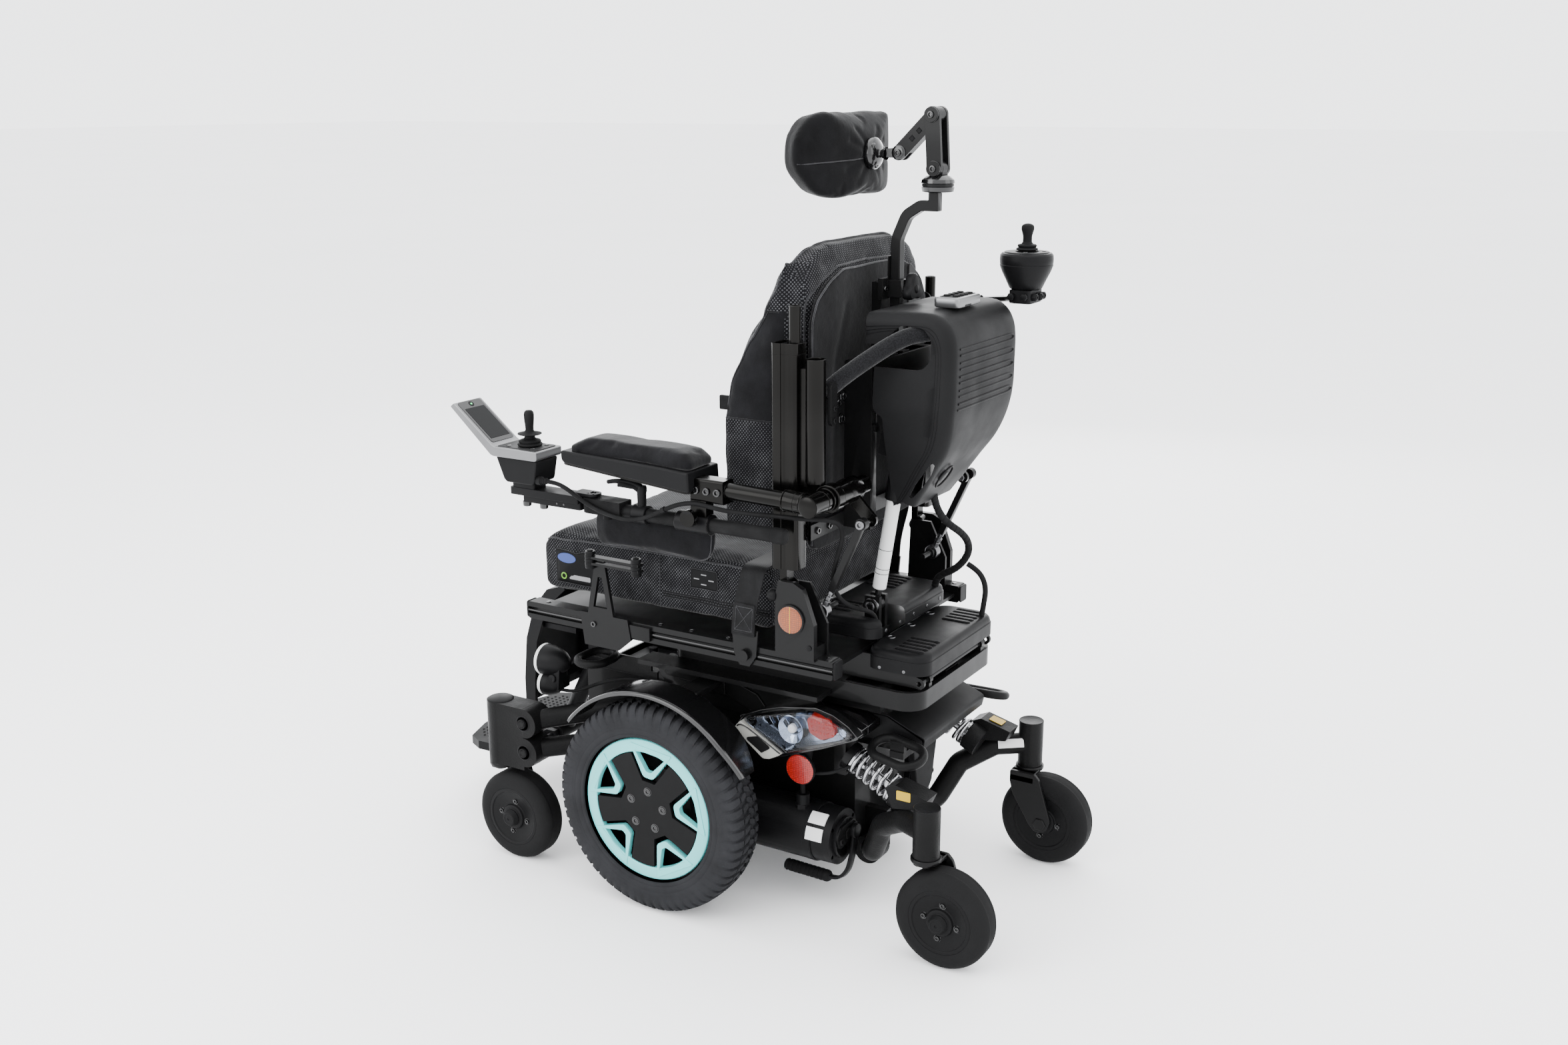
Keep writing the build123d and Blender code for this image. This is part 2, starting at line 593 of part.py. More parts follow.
# ---------------------------------------------------------------- back
def cane():
    """Side upright: a two-chamber profile, a round post in it, a round tube behind it."""
    x = CANE_X
    front = soft_block((x - 21, x + 21), (200, 224), (600, 941), 6, Axis.Z)
    rear = soft_block((x - 17, x + 17), (223, 243), (600, 941), 6, Axis.Z)
    post = rod((x, 234, 930), (x, 234, 995), 9)
    tube = rod((x, 266, 736), (x, 266, 920), 15)
    web = block((x - 8, x + 8), (242, 256), (730, 915))
    tongue = block((209.5, 231), (209.5, 222), (568, 606)) + rod_x((209.5, 231), RECLINE, 12.5)
    tongue -= rod_x((200, 240), RECLINE, 7.3)
    socket = rod_x((206, 226), ARM_AXIS, 22) + block((208, 224), (240, 282), (700, 742))
    socket -= rod_x((200, 232), ARM_AXIS, 12 + RUNNING_FIT)
    return front + rear + post + tube + web + tongue + socket


def back_frame():
    """Both uprights, the plates between them, and the carriers of the shroud."""
    whole = cane() + flip(cane())
    whole += block((-205, 205), (243.5, 249), (826, 851))
    whole += block((-205, 205), (243.5, 249), (640, 664))
    carrier = block((86, 104), (249, 296), (640, 900))
    whole += carrier + flip(carrier)
    whole += block((-104, 104), (291, 296), (866, 900))
    bolts = [rod((x, 296, z), (x, 301, z), 7) for x in (-95, 95) for z in (830, 800)]
    for bolt in bolts:
        whole += bolt
    clamp = block((-30, 30), (264.5, 273), (985, 1017)) + block((-14, 14), (272, 296), (988, 1014))
    clamp -= block((-8.06, 8.06), (273.94, 290.06), (970, 1030))
    whole += clamp
    whole += block((-20, 20), (249, 265), (900, 1010)) + block((-30, 30), (249, 290), (890, 902))
    whole -= block((-9, 9), (272, 291), (880, 1030))
    knob = rod((0, 295, 1001), (0, 304, 1001), 5) + rod((0, 302, 1001), (0, 314, 1001), 15)
    for turn in (90, 210, 330):
        a = math.radians(turn)
        knob += rod((14 * math.cos(a), 302.5, 1001 + 14 * math.sin(a)),
                    (14 * math.cos(a), 313.5, 1001 + 14 * math.sin(a)), 8.5)
    paddle = block((-204, -201), (217.5, 240.5), (932, 971))
    return whole + knob + paddle


def back_outline():
    """Outline of the padded back: straight sides, then shoulders that round in to the top."""
    half = CUSHION_HALF_W - 6
    side = [(half, 612), (half, 940), (half - 6, 990), (half - 18, 1030), (178, 1056), (144, 1078), (104, 1086)]
    return side + [(-x, z) for x, z in reversed(side)]


def back_shell():
    """Rigid panel behind the back cushion, between the uprights."""
    side = [(194, 612), (194, 972), (180, 1000), (146, 1022), (95, 1040)]
    return plate_xz((229, 236), side + [(-x, z) for x, z in reversed(side)])


def back_cushion():
    """Padded back with deep sides whose front edge leans back to the top, clear of the uprights."""
    pad = plate_xz((150, 228), back_outline())
    edge = [(96, 640), (94, 756), (100, 814), (112, 877), (135, 937), (158, 979), (176, 1012), (197, 1048), (212, 1072)]
    wing = plate_yz((150, 215), edge + [(228, 1072), (228, 640)]) & plate_xz((90, 228), back_outline())
    whole = pad + wing + flip(wing)
    whole -= plate_yz((-220, 220), [(140, 1000), (150, 1000), (172, 1048), (196, 1074), (222, 1090), (140, 1090)])
    for side in (-1, 1):
        whole -= block((side * 216 - 24, side * 216 + 24), (196, 240), (600, 1002))
    return whole


def shroud_profile(inset):
    """Side outline of the rear cover of the back, from its top front corner round the rear."""
    return [(292, 978 - inset), (394 - inset, 982 - inset), (420 - inset, 970 - inset),
            (433 - inset, 950 - inset), (437 - inset, 925), (436 - inset, 848), (430 - inset, 806),
            (417 - inset, 770), (396 - inset, 738), (358 - inset, 680), (350 - inset, 674 + inset),
            (318, 672 + inset), (318, 820), (304, 836), (306, 905), (292, 930)]


def shroud_front(inset):
    half = 120 - inset
    low = 78 - inset
    return [(-half, 1000), (half, 1000), (half, 830), (low, 676), (low, 640), (-low, 640),
            (-low, 676), (-half, 830)]


def back_shroud():
    """Moulded cover over the actuator and the power modules, open to the front."""
    outer = plate_yz((-120, 120), shroud_profile(0)) & plate_xz((200, 500), shroud_front(0))
    inner = plate_yz((-116.5, 116.5), shroud_profile(3.5)) & plate_xz((200, 500), shroud_front(3.5))
    front = block((-116.5, 116.5), (280, 340), (640, 974.5)) & plate_xz((200, 500), shroud_front(3.5))
    shell = outer - inner - front
    hand_hole = soft_block((100, 140), (326, 396), (914, 960), 10, Axis.X)
    shell -= hand_hole + flip(hand_hole)
    shell -= block((48, 80), (300, 420), (640, 742)) + block((40, 92), (300, 350), (640, 700))
    shell -= rod((0, 352, 660), (0, 352, 700), 9)
    return shell


def push_handle():
    """Foam-covered bar from one upright round behind the shroud's sides to the other."""
    half = [(197, 266, 866), (160, 306, 906), (128, 346, 940), (104, 384, 950), (40, 392, 951)]
    other = [(-x, y, z) for x, y, z in reversed(half)]
    bar = tube_path(half + other, [40, 40, 22, 30, 30, 22, 40, 40], 13)
    ear = block((198, 210), (281.6, 287), (826, 880))
    upright = rod((CANE_X, 266, 700), (CANE_X, 266, 930), 15.1)
    return bar + ear + flip(ear) - upright - flip(upright)


def arm_crank():
    """Cross axis of the armrests: shaft, cone and the crank that keeps them level."""
    shaft = rod_x((142, 262), ARM_AXIS, 12)
    collar = rod_x((142, 203), ARM_AXIS, 19) + rod_x((112, 143), ARM_AXIS, 14)
    crank = link(ARM_AXIS, ROD_HEAD, 20, (158, 164))
    pin = rod_x((158, 196), ROD_HEAD, 4)
    return shaft + collar + crank + pin


def arm_rods():
    """Level rods from the seat's studs up to the cranks; the upper eye is open."""
    foot = Vector(190, ROD_FOOT[0], ROD_FOOT[1])
    head = Vector(190, ROD_HEAD[0], ROD_HEAD[1])
    along = (head - foot).normalized()
    bar = Plane(origin=foot + along * 38, z_dir=along) * Box(
        10, 12, (head - foot).length - 38, align=(Align.CENTER, Align.CENTER, Align.MIN))
    thread = rod(foot + along * 8, foot + along * 40, 4)
    eye = rod_x((184, 196), ROD_FOOT, 11) - rod_x((180, 200), ROD_FOOT, 8 + RUNNING_FIT)
    top_eye = rod_x((184, 196), ROD_HEAD, 9) - rod_x((180, 200), ROD_HEAD, 4.4)
    body = bar + thread - rod_x((180, 200), ROD_FOOT, 8.06) - rod_x((180, 200), ROD_HEAD, 4.4)
    return body + eye + top_eye


def armrest(side):
    """Elbow, arm tube, clamp block and the pad's tray; the left one holds the joystick's tube."""
    y, z = ARM_AXIS
    elbow = rod_x((246, 282), ARM_AXIS, 16) - rod_x((240, 263), ARM_AXIS, 12 + RUNNING_FIT)
    tube = rod((266, y - 10, z + 0.6), (266, 20, z + 6), 13)
    tube -= rod_x((240, 263), ARM_AXIS, 12 + RUNNING_FIT)
    collar = rod((266, y - 14, z), (266, y - 44, z + 2), 16)
    clamp = soft_block((252, 282), (84, 142), (698, 734), 4, Axis.Y)
    tray = plate_yz((214, 298), [(92, 711), (88, 744), (-150, 751), (-150, 731)])
    tray = fillet(tray.edges().filter_by(Axis.Z, tolerance=8), 12)
    whole = elbow + tube + collar + clamp + tray
    if side > 0:
        holder = rod((POD_X, 56, 662), (POD_X, 116, 662), 16) + block((262, 282), (84, 112), (662, 700))
        holder -= rod((POD_X, 50, 662), (POD_X, 120, 662), 11 + RUNNING_FIT)
        holder += rod((287, 92, 676), (296, 92, 676), 6) + rod((295, 92, 676), (304, 92, 676), 13)
        whole += holder
    return on_side(whole, side)


def arm_pad():
    """Upholstered pad on the tray."""
    pad = plate_yz((216, 296), [(86, 745.5), (98, 762), (84, 776), (-112, 775), (-146, 760), (-147, 752.3)])
    return pad


# ---------------------------------------------------------------- head support
def headrest_post():
    """Cranked square bar in the clamp, and the collar that holds the first link."""
    points = [(282, 905), (282, 1076), (298, 1112), (322, 1127), (340, 1127)]
    path = FilletPolyline(*[(0, y, z) for y, z in points], radius=[30, 24, 14])
    bar = sweep(Plane(origin=(0, 282, 905), z_dir=(0, 0, 1)) * Rectangle(16, 16), path=path)
    riser = block((-8, 8), (336, 352), (1119, 1152))
    collar = rod((0, 348, 1148), (0, 348, 1166), 24) + block((-9, 9), (337, 359), (1164, 1184))
    collar += rod_x((-9, 9), HEAD_BASE, 12)
    collar -= rod_x((-30, 30), HEAD_BASE, 4 + RUNNING_FIT)
    return bar + riser + collar


def headrest_lower_link():
    """Two plates from the collar up to the elbow, with their pins."""
    plates = link(HEAD_BASE, HEAD_ELBOW, 24, (9.4, 16)) + link(HEAD_BASE, HEAD_ELBOW, 24, (-16, -9.4))
    pins = rod_x((-19, 19), HEAD_BASE, 4) + rod_x((-19, 19), HEAD_ELBOW, 4)
    heads = rod_x((16, 20), HEAD_BASE, 11) + rod_x((16, 20), HEAD_ELBOW, 11)
    return plates + pins + heads


def headrest_upper_link():
    """Single bar from the elbow forward and down to the pad's hinge."""
    bar = link(HEAD_ELBOW, HEAD_TIP, 23, (-9, 9))
    bar -= rod_x((-30, 30), HEAD_ELBOW, 4 + RUNNING_FIT)
    bar -= block((-5, 5), (266, 302), (1186, 1220))
    bar += rod_x((-12, 12), HEAD_TIP, 4)
    return bar


def headrest_pad():
    """Pad shell with its flange and tongue: a thick arc in plan."""
    centre_y = -15.0
    outer = rod((0, centre_y, 1132), (0, centre_y, 1271), 250)
    inner = rod((0, centre_y, 1130), (0, centre_y, 1273), 190)
    wedge = plate_xy((1132, 1271), [(0, centre_y), (210, centre_y + 280), (0, centre_y + 330), (-210, centre_y + 280)])
    pad = (outer - inner) & wedge
    edges = pad.edges().filter_by(GeomType.CIRCLE)
    pad = fillet(edges, 18)
    return pad


def headrest_mount():
    """Flange screwed to the pad's back, with the tongue that the upper link holds."""
    flange = rod((0, 235.4, 1202), (0, 250, 1202), 20)
    tongue = block((-4.8, 4.8), (249, 286), (1195, 1213)) + rod_x((-4.8, 4.8), HEAD_TIP, 9)
    return flange + tongue - rod_x((-10, 10), HEAD_TIP, 4 + RUNNING_FIT)


# ---------------------------------------------------------------- controls
def joystick_mount():
    """Tube in the armrest's holder, lever clamp and the swing-away link bars."""
    tube = rod((POD_X, -56, 662), (POD_X, 240, 662), 11)
    clamp = rod((POD_X, -26, 662), (POD_X, -2, 662), 14) + rod((POD_X, -14, 672), (POD_X, -14, 700), 7)
    lever = tube_path([(POD_X, -14, 696), (POD_X + 8, -22, 706), (POD_X + 26, -40, 712)], [8], 4)
    bar = block((POD_X - 16, POD_X + 16), (SWING_Y, -46), (654, 678)) + rod((POD_X, SWING_Y, 654), (POD_X, SWING_Y, 678), 16)
    bolt = rod((POD_X + 4, -78, 646), (POD_X + 4, -78, 655), 7)
    return tube + clamp + lever + bar + bolt - rod((POD_X, SWING_Y, 650), (POD_X, SWING_Y, 690), 6 + RUNNING_FIT)


def joystick_housing():
    """Pod with its bright rim and screen, and the swing-away link underneath."""
    low = plate_yz((POD_X - 27, POD_X + 27), [(-207, 688), (-198, 728.5), (-284, 728.5), (-271, 688)])
    rim = plate_yz((POD_X - 32, POD_X + 32), [(POD_Y[1], 729), (POD_Y[1], 744), (POD_Y[0], 744), (-363, 808),
                                               (-369, 803), (POD_Y[0] - 4, 729)])
    well = rod((POD_X, STICK_Y, 716), (POD_X, STICK_Y, 746), 17)
    neck = block((POD_X - 17, POD_X + 17), (-262, -214), (678, 689))
    link_bar = soft_block((POD_X - 17, POD_X + 17), (-266, -127), (666, 678.5), 5, Axis.Z)
    strap = block((POD_X - 11, POD_X + 11), (-244, -127), (654, 667))
    tongue = block((POD_X - 13, POD_X + 13), (-130, SWING_Y), (679, 684))
    tongue += rod((POD_X, SWING_Y, 679), (POD_X, SWING_Y, 684), 13) + block((POD_X - 13, POD_X + 13), (-138, -127), (666, 684))
    pin = rod((POD_X, SWING_Y, 655), (POD_X, SWING_Y, 684), 6)
    bolts = rod((POD_X + 4, -241, 646), (POD_X + 4, -241, 655), 7) + rod((POD_X + 4, -206, 646), (POD_X + 4, -206, 655), 7)
    return low + (rim - well) + neck + link_bar + strap + tongue + pin + bolts - well


def joystick_stick():
    """Stick with its knob, dish and boot, on a ball inside the pod."""
    ball = Pos(POD_X, STICK_Y, 724) * Sphere(7.5)
    shaft = rod((POD_X, STICK_Y, 724), (POD_X, STICK_Y, 770), 5)
    boot = rod((POD_X, STICK_Y, 751), (POD_X, STICK_Y, 759), 14)
    trunnion = rod_x((POD_X - 9, POD_X + 9), (STICK_Y, 724), 3)
    dish = rod((POD_X, STICK_Y, 764), (POD_X, STICK_Y, 767), 19)
    knob = rod((POD_X, STICK_Y, 766), (POD_X, STICK_Y, 796), 8) + Pos(POD_X, STICK_Y, 796) * Sphere(8)
    return ball + shaft + boot + dish + knob + trunnion


ATTENDANT = (-150.0, 432.0)


def attendant_control():
    """Second joystick for a helper: arm from the right upright, bracket, body and switch box."""
    x, y = ATTENDANT
    body = revolve(Plane.XZ * Polygon((0, 993), (24, 993), (40, 1016), (42, 1040), (36, 1048), (16, 1050),
                                      (16, 1028), (0, 1028), align=None), Axis.Z)
    body = Pos(x, y, 0) * body
    holder = soft_block((x - 26, x + 26), (y - 18, y + 18), (972, 994), 5, Axis.Z)
    arm = tube_path([(x, y - 10, 978), (x - 24, y - 40, 974), (x - 48, 330, 966), (x - 52, 296, 950),
                     (x - 54, 288, 900)], [20, 30, 20], 6)
    collar = rod((-CANE_X, 266, 892), (-CANE_X, 266, 910), 20) + block((-208, -196), (278, 294), (894, 908))
    collar -= rod((-CANE_X, 266, 880), (-CANE_X, 266, 920), 15.1) + block((-260, -180), (240, 257.5), (880, 920))
    return body + holder + arm + collar


def switch_box():
    return soft_block((-26, 56), (371, 413), (983, 998), 5, Axis.Z)


def attendant_stick():
    x, y = ATTENDANT
    ball = Pos(x, y, 1040) * Sphere(8)
    shaft = rod((x, y, 1040), (x, y, 1066), 5)
    boot = rod((x, y, 1057), (x, y, 1064), 15)
    trunnion = rod_x((x - 10, x + 10), (y, 1040), 3)
    knob = rod((x, y, 1062), (x, y, 1082), 8) + Pos(x, y, 1084) * Sphere(10)
    return ball + shaft + boot + knob + trunnion


# ---------------------------------------------------------------- leg support
def legrest():
    """Hanger from the seat's front, mast and calf panel."""
    hinge = rod_x((-46, 46), KNEE, 12)
    mast = block((-20, 20), (-331, -301), (300, 440))
    post = rod((0, -316, 306), (0, -402, 140), 15)
    curve = [(-336, 442), (-372, 430), (-404, 392), (-424, 330), (-432, 250), (-432, 205)]
    inner = [(y + 7, z - 2) for y, z in reversed(curve)]
    panel = plate_yz((-82, 82), curve + inner)
    lips = plate_yz((75, 82), [(-330, 436), (-336, 442), (-372, 430), (-404, 392), (-424, 330),
                               (-432, 250), (-432, 205), (-410, 205), (-408, 250), (-400, 326), (-380, 380), (-356, 412)])
    braces = block((-70, 70), (-412, -318), (352, 362))
    ankle = rod_x((-30, 30), FOOT_HINGE, 14) - rod_x((-40, 40), FOOT_HINGE, 6 + RUNNING_FIT)
    whole = hinge + mast + post + panel + lips + flip(lips) + braces
    whole -= rod_x((-50, 50), KNEE, 6 + RUNNING_FIT)
    whole -= rod_x((-31, 31), FOOT_HINGE, 14.2)
    return whole + ankle + plate_yz((-12, 12), [(-402, 140), (-416, 150), (-404, 168), (-388, 156)])


def knee_hanger():
    """Hinge pin of the leg support on the seat's front cross bar."""
    pin = rod_x((-64, 64), KNEE, 6)
    ear = plate_yz((48, 58), [(-270, 452), (-300, 452), (-315, 444), (-315, 430), (-300, 427), (-270, 440)])
    return pin + ear + flip(ear)


def footplate():
    """One-piece foot platform with a raised edge, hinged at the foot of the mast."""
    z = 124.0
    corners = [(-138, -410), (-142, -500), (-128, -528), (-70, -548), (0, FOOT_TIP), (70, -548),
               (128, -528), (142, -500), (138, -410), (34, -424), (-34, -424)]
    plate = plate_xy((z, z + 8), corners)
    lip = plate_xy((z - 8, z + 1), corners)
    lip -= plate_xy((z - 9, z), [(-132, -428), (-136, -498), (-124, -522), (-68, -541), (0, -549),
                                 (68, -541), (124, -522), (136, -498), (132, -428)])
    hinge = rod_x((-64, 64), FOOT_HINGE, 6)
    arms = block((34, 46), (-428, -399), (118, 138)) + block((-46, -34), (-428, -399), (118, 138))
    return plate + lip + hinge + arms


# ---------------------------------------------------------------- cables
def report_radii(name, points, radii):
    """Prints each bend of a cable, as its radius and the turn it makes."""
    for i, radius in enumerate(radii):
        before = Vector(*points[i + 1]) - Vector(*points[i])
        after = Vector(*points[i + 2]) - Vector(*points[i + 1])
        print(name, i + 1, "radius", round(radius, 1), "turn", round(before.get_angle(after), 1))


def cable(name, points, radius):
    """A round cable whose bends are as large as their two runs allow."""
    radii = []
    for i in range(1, len(points) - 1):
        before = Vector(*points[i]) - Vector(*points[i - 1])
        after = Vector(*points[i + 1]) - Vector(*points[i])
        turn = math.radians(before.get_angle(after))
        radii.append(0.45 * min(before.length, after.length) / math.tan(turn / 2))
    report_radii(name, points, radii)
    solid = tube_path(points, radii, radius)
    path = FilletPolyline(*points, radius=radii)
    print(name, "length", round(path.length, 1), "volume ratio",
          round(solid.volume / (path.length * math.pi * radius ** 2), 4))
    return solid


JOYSTICK_CABLE = [(290, -196, 696), (290, -172, 697), (291, -148, 691), (292, -124, 679), (292, -98, 667),
                  (292, -68, 659), (292, -38, 655), (292, -10, 658), (292, 16, 667), (290, 40, 680),
                  (288, 64, 691), (287, 90, 697), (286.5, 116, 695), (280, 142, 690), (271, 168, 688),
                  (264, 196, 687), (261, 222, 688), (258, 244, 688)]
SEAT_CABLE = [(258, 244, 688), (255.5, 262.3, 688), (244, 280, 687), (228, 294, 684), (212, 302, 676), (204, 304, 658),
              (200, 297, 636), (194, 287, 614), (186, 278, 593), (176, 271, 571), (166, 272, 549), (152, 279, 532),
              (135, 289, 521), (117, 297, 514), (102, 303, 505), (96, 306, 490), (95, 306, 475), (94.5, 305, 462)]
HARNESS = [(0, 352, 688), (-3, 354, 666), (-14, 360, 644), (-32, 368, 626), (-56, 374, 611), (-78, 378, 592),
           (-90, 376, 570), (-94, 364, 549), (-96, 346, 532), (-98, 326, 522), (-98, 312, 508), (-98, 311, 490)]
HARNESS_BRANCH = [(-95, 371, 546.5), (-97, 386, 539), (-100, 398, 524), (-102, 402, 504), (-101, 400, 484),
                  (-100, 397, 461)]


# ---------------------------------------------------------------- build
def build():
    os.makedirs("parts", exist_ok=True)
    for name, side in SIDES.items():
        save(f"drive_tyre_{name}", on_side(drive_tyre(), side))
        save(f"drive_rim_{name}", [on_side(drive_rim(), side), on_side(rim_insert(), side)])
        save(f"rim_cover_{name}", on_side(rim_cover(), side))
        save(f"rear_arm_{name}", on_side(rear_arm(), side))
        save(f"front_arm_{name}", on_side(front_arm(), side))
        save(f"freewheel_lever_{name}", on_side(freewheel_lever(), side))
        save(f"armrest_{name}", armrest(side))
        save(f"arm_pad_{name}", on_side(arm_pad(), side))
        for end, stem in caster_places().items():
            save(f"caster_wheel_{end}_{name}", [on_side(s, side) for s in caster_wheel(stem)])
            save(f"caster_fork_{end}_{name}", on_side(caster_fork(stem), side))
    save("chassis_frame", chassis_frame())
    save("batteries", batteries())
    save("rear_springs", both(rear_spring()))
    save("base_covers", [base_shroud()] + both(fender()))
    save("lamps", lamps())
    save("drive_motors", both(drive_motor()))
    save("tie_down_loops", tie_down_loops())
    save("tilt_carriage", tilt_carriage())
    save("seat_frame", seat_frame() + knee_hanger())
    save("seat_cushion", seat_cushion())
    save("seat_rear_covers", seat_rear_covers())
    save("lap_belt", lap_belt())
    save("thigh_pads", thigh_pads())
    save("recline_rod", recline_rod())
    save("recline_actuator", recline_actuator())
    save("back_frame", back_frame())
    save("back_shell", back_shell())
    save("back_cushion", back_cushion())
    save("back_shroud", back_shroud())
    save("push_handle", push_handle())
    save("arm_crank", both(arm_crank()))
    save("arm_rods", both(arm_rods()))
    save("headrest_post", headrest_post())
    save("headrest_lower_link", headrest_lower_link())
    save("headrest_upper_link", headrest_upper_link())
    save("headrest_pad", [headrest_pad(), headrest_mount()])
    save("joystick_mount", joystick_mount())
    save("joystick_housing", joystick_housing())
    save("joystick_stick", joystick_stick())
    save("attendant_control", [attendant_control(), switch_box()])
    save("attendant_stick", attendant_stick())
    save("legrest", legrest())
    save("footplate", footplate())
    save("joystick_cable", cable("joystick_cable", JOYSTICK_CABLE, 3.5))
    save("seat_cable", cable("seat_cable", SEAT_CABLE, 3.5))
    save("rear_harness", [cable("rear_harness", HARNESS, 6), cable("harness_branch", HARNESS_BRANCH, 4.5)])


build()
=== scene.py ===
import json
import math

import bmesh
import bpy
import numpy as np
from mathutils import Matrix, Vector, noise

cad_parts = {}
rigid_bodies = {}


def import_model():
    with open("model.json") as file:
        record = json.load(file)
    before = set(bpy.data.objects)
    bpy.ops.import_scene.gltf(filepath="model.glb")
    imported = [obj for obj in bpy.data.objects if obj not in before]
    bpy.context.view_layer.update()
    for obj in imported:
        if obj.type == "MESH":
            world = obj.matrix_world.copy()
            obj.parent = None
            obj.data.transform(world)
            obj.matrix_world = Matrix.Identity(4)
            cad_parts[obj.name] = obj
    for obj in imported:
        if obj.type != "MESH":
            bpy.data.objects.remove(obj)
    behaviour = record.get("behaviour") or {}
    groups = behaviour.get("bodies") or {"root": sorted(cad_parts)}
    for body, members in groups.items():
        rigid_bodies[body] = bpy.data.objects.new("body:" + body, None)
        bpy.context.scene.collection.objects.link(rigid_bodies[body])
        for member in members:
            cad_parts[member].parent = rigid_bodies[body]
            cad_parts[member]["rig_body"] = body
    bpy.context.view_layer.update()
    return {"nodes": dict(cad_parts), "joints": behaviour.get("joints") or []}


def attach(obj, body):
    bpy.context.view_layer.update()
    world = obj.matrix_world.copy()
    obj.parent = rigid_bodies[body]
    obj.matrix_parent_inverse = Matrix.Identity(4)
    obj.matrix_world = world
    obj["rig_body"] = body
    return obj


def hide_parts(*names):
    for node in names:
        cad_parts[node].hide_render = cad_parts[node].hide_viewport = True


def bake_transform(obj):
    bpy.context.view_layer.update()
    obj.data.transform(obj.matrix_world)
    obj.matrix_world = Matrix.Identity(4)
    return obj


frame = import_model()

# Looks of the power wheelchair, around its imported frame. Metres, except where a name says mm:
# shapes are drawn in millimetres, as the CAD is, and scaled by MM when they become meshes.
MM = 0.001
SIDES = {"left": 1, "right": -1}


# ---------------------------------------------------------------- camera, light and floor
CAMERA_PLACE = (2.18955, 1.40423, 1.28872)
CAMERA_AZIMUTH = 121.21
CAMERA_ELEVATION = 15.10
CAMERA_ROLL = -0.12
CAMERA_LENS = 36.43


def make_camera():
    camera = bpy.data.objects.new("camera", bpy.data.cameras.new("camera"))
    bpy.context.scene.collection.objects.link(camera)
    azimuth, elevation = math.radians(CAMERA_AZIMUTH), math.radians(CAMERA_ELEVATION)
    back = Vector((math.sin(azimuth) * math.cos(elevation), -math.cos(azimuth) * math.cos(elevation),
                   math.sin(elevation)))
    turn = (-back).to_track_quat("-Z", "Y").to_matrix().to_4x4()
    roll = Matrix.Rotation(math.radians(CAMERA_ROLL), 4, "Z")
    camera.matrix_world = Matrix.Translation(CAMERA_PLACE) @ turn @ roll
    camera.data.lens = CAMERA_LENS
    camera.data.sensor_width = 36
    camera.data.clip_end = 100
    bpy.context.scene.camera = camera


def area_light(name, place, target, size, power):
    light = bpy.data.lights.new(name, "AREA")
    light.shape = "RECTANGLE"
    light.size, light.size_y = size
    light.energy = power
    lamp = bpy.data.objects.new(name, light)
    bpy.context.scene.collection.objects.link(lamp)
    aim = Vector(target) - Vector(place)
    lamp.matrix_world = Matrix.Translation(place) @ aim.to_track_quat("-Z", "Y").to_matrix().to_4x4()


def make_stage():
    world = bpy.data.worlds.new("studio")
    world.use_nodes = True
    world.node_tree.nodes["Background"].inputs["Color"].default_value = (0.93, 0.94, 0.955, 1)
    world.node_tree.nodes["Background"].inputs["Strength"].default_value = 3.6
    bpy.context.scene.world = world
    area_light("overhead", (0.3, 0.3, 3.6), (0, 0, 0.3), (4.5, 4.5), 115)
    area_light("camera_left", (3.4, -1.6, 2.3), (0, 0, 0.6), (2.2, 2.6), 120)
    area_light("camera_right", (-0.4, 4.2, 1.9), (0, 0.2, 0.6), (2.4, 2.4), 45)
    area_light("behind", (-3.2, -1.0, 1.8), (0, 0, 0.7), (2.4, 2.4), 45)
    bpy.ops.mesh.primitive_plane_add(size=120)
    floor = bpy.context.object
    floor.name = "floor"
    floor.data.materials.append(paint("floor_paper", (0.92, 0.92, 0.925), 0.8, grain=0.0, wear=0.01,
                                      patches=0.6))


# ---------------------------------------------------------------- materials
def shader(name, color, roughness, metallic=0.0, coat=0.0, sheen=0.0):
    """A material with its Principled node, and the tree's coordinates in the row frame."""
    material = bpy.data.materials.new(name)
    material.use_nodes = True
    tree = material.node_tree
    node = tree.nodes["Principled BSDF"]
    node.inputs["Base Color"].default_value = (*color, 1)
    node.inputs["Roughness"].default_value = roughness
    node.inputs["Metallic"].default_value = metallic
    dark = max(color) < 0.1
    node.inputs["Specular IOR Level"].default_value = (0.28 if roughness < 0.25 else 0.07) if dark else 0.35
    node.inputs["Coat Weight"].default_value = coat
    node.inputs["Coat Roughness"].default_value = 0.08
    node.inputs["Sheen Weight"].default_value = sheen
    node.inputs["Sheen Roughness"].default_value = 0.4
    place = tree.nodes.new("ShaderNodeTexCoord").outputs["Object"]
    return material, tree, node, place


def noise_node(tree, place, scale, detail=3.0, stretch=None):
    if stretch:
        mapping = tree.nodes.new("ShaderNodeMapping")
        mapping.inputs["Scale"].default_value = stretch
        tree.links.new(place, mapping.inputs["Vector"])
        place = mapping.outputs["Vector"]
    node = tree.nodes.new("ShaderNodeTexNoise")
    node.inputs["Scale"].default_value = scale
    node.inputs["Detail"].default_value = detail
    tree.links.new(place, node.inputs["Vector"])
    return node.outputs["Fac"]


def spread(tree, value, low, high, start=0.3, end=0.7):
    """A 0 to 1 value turned into a range of numbers."""
    node = tree.nodes.new("ShaderNodeMapRange")
    node.inputs["From Min"].default_value = start
    node.inputs["From Max"].default_value = end
    node.inputs["To Min"].default_value = low
    node.inputs["To Max"].default_value = high
    tree.links.new(value, node.inputs["Value"])
    return node.outputs["Result"]


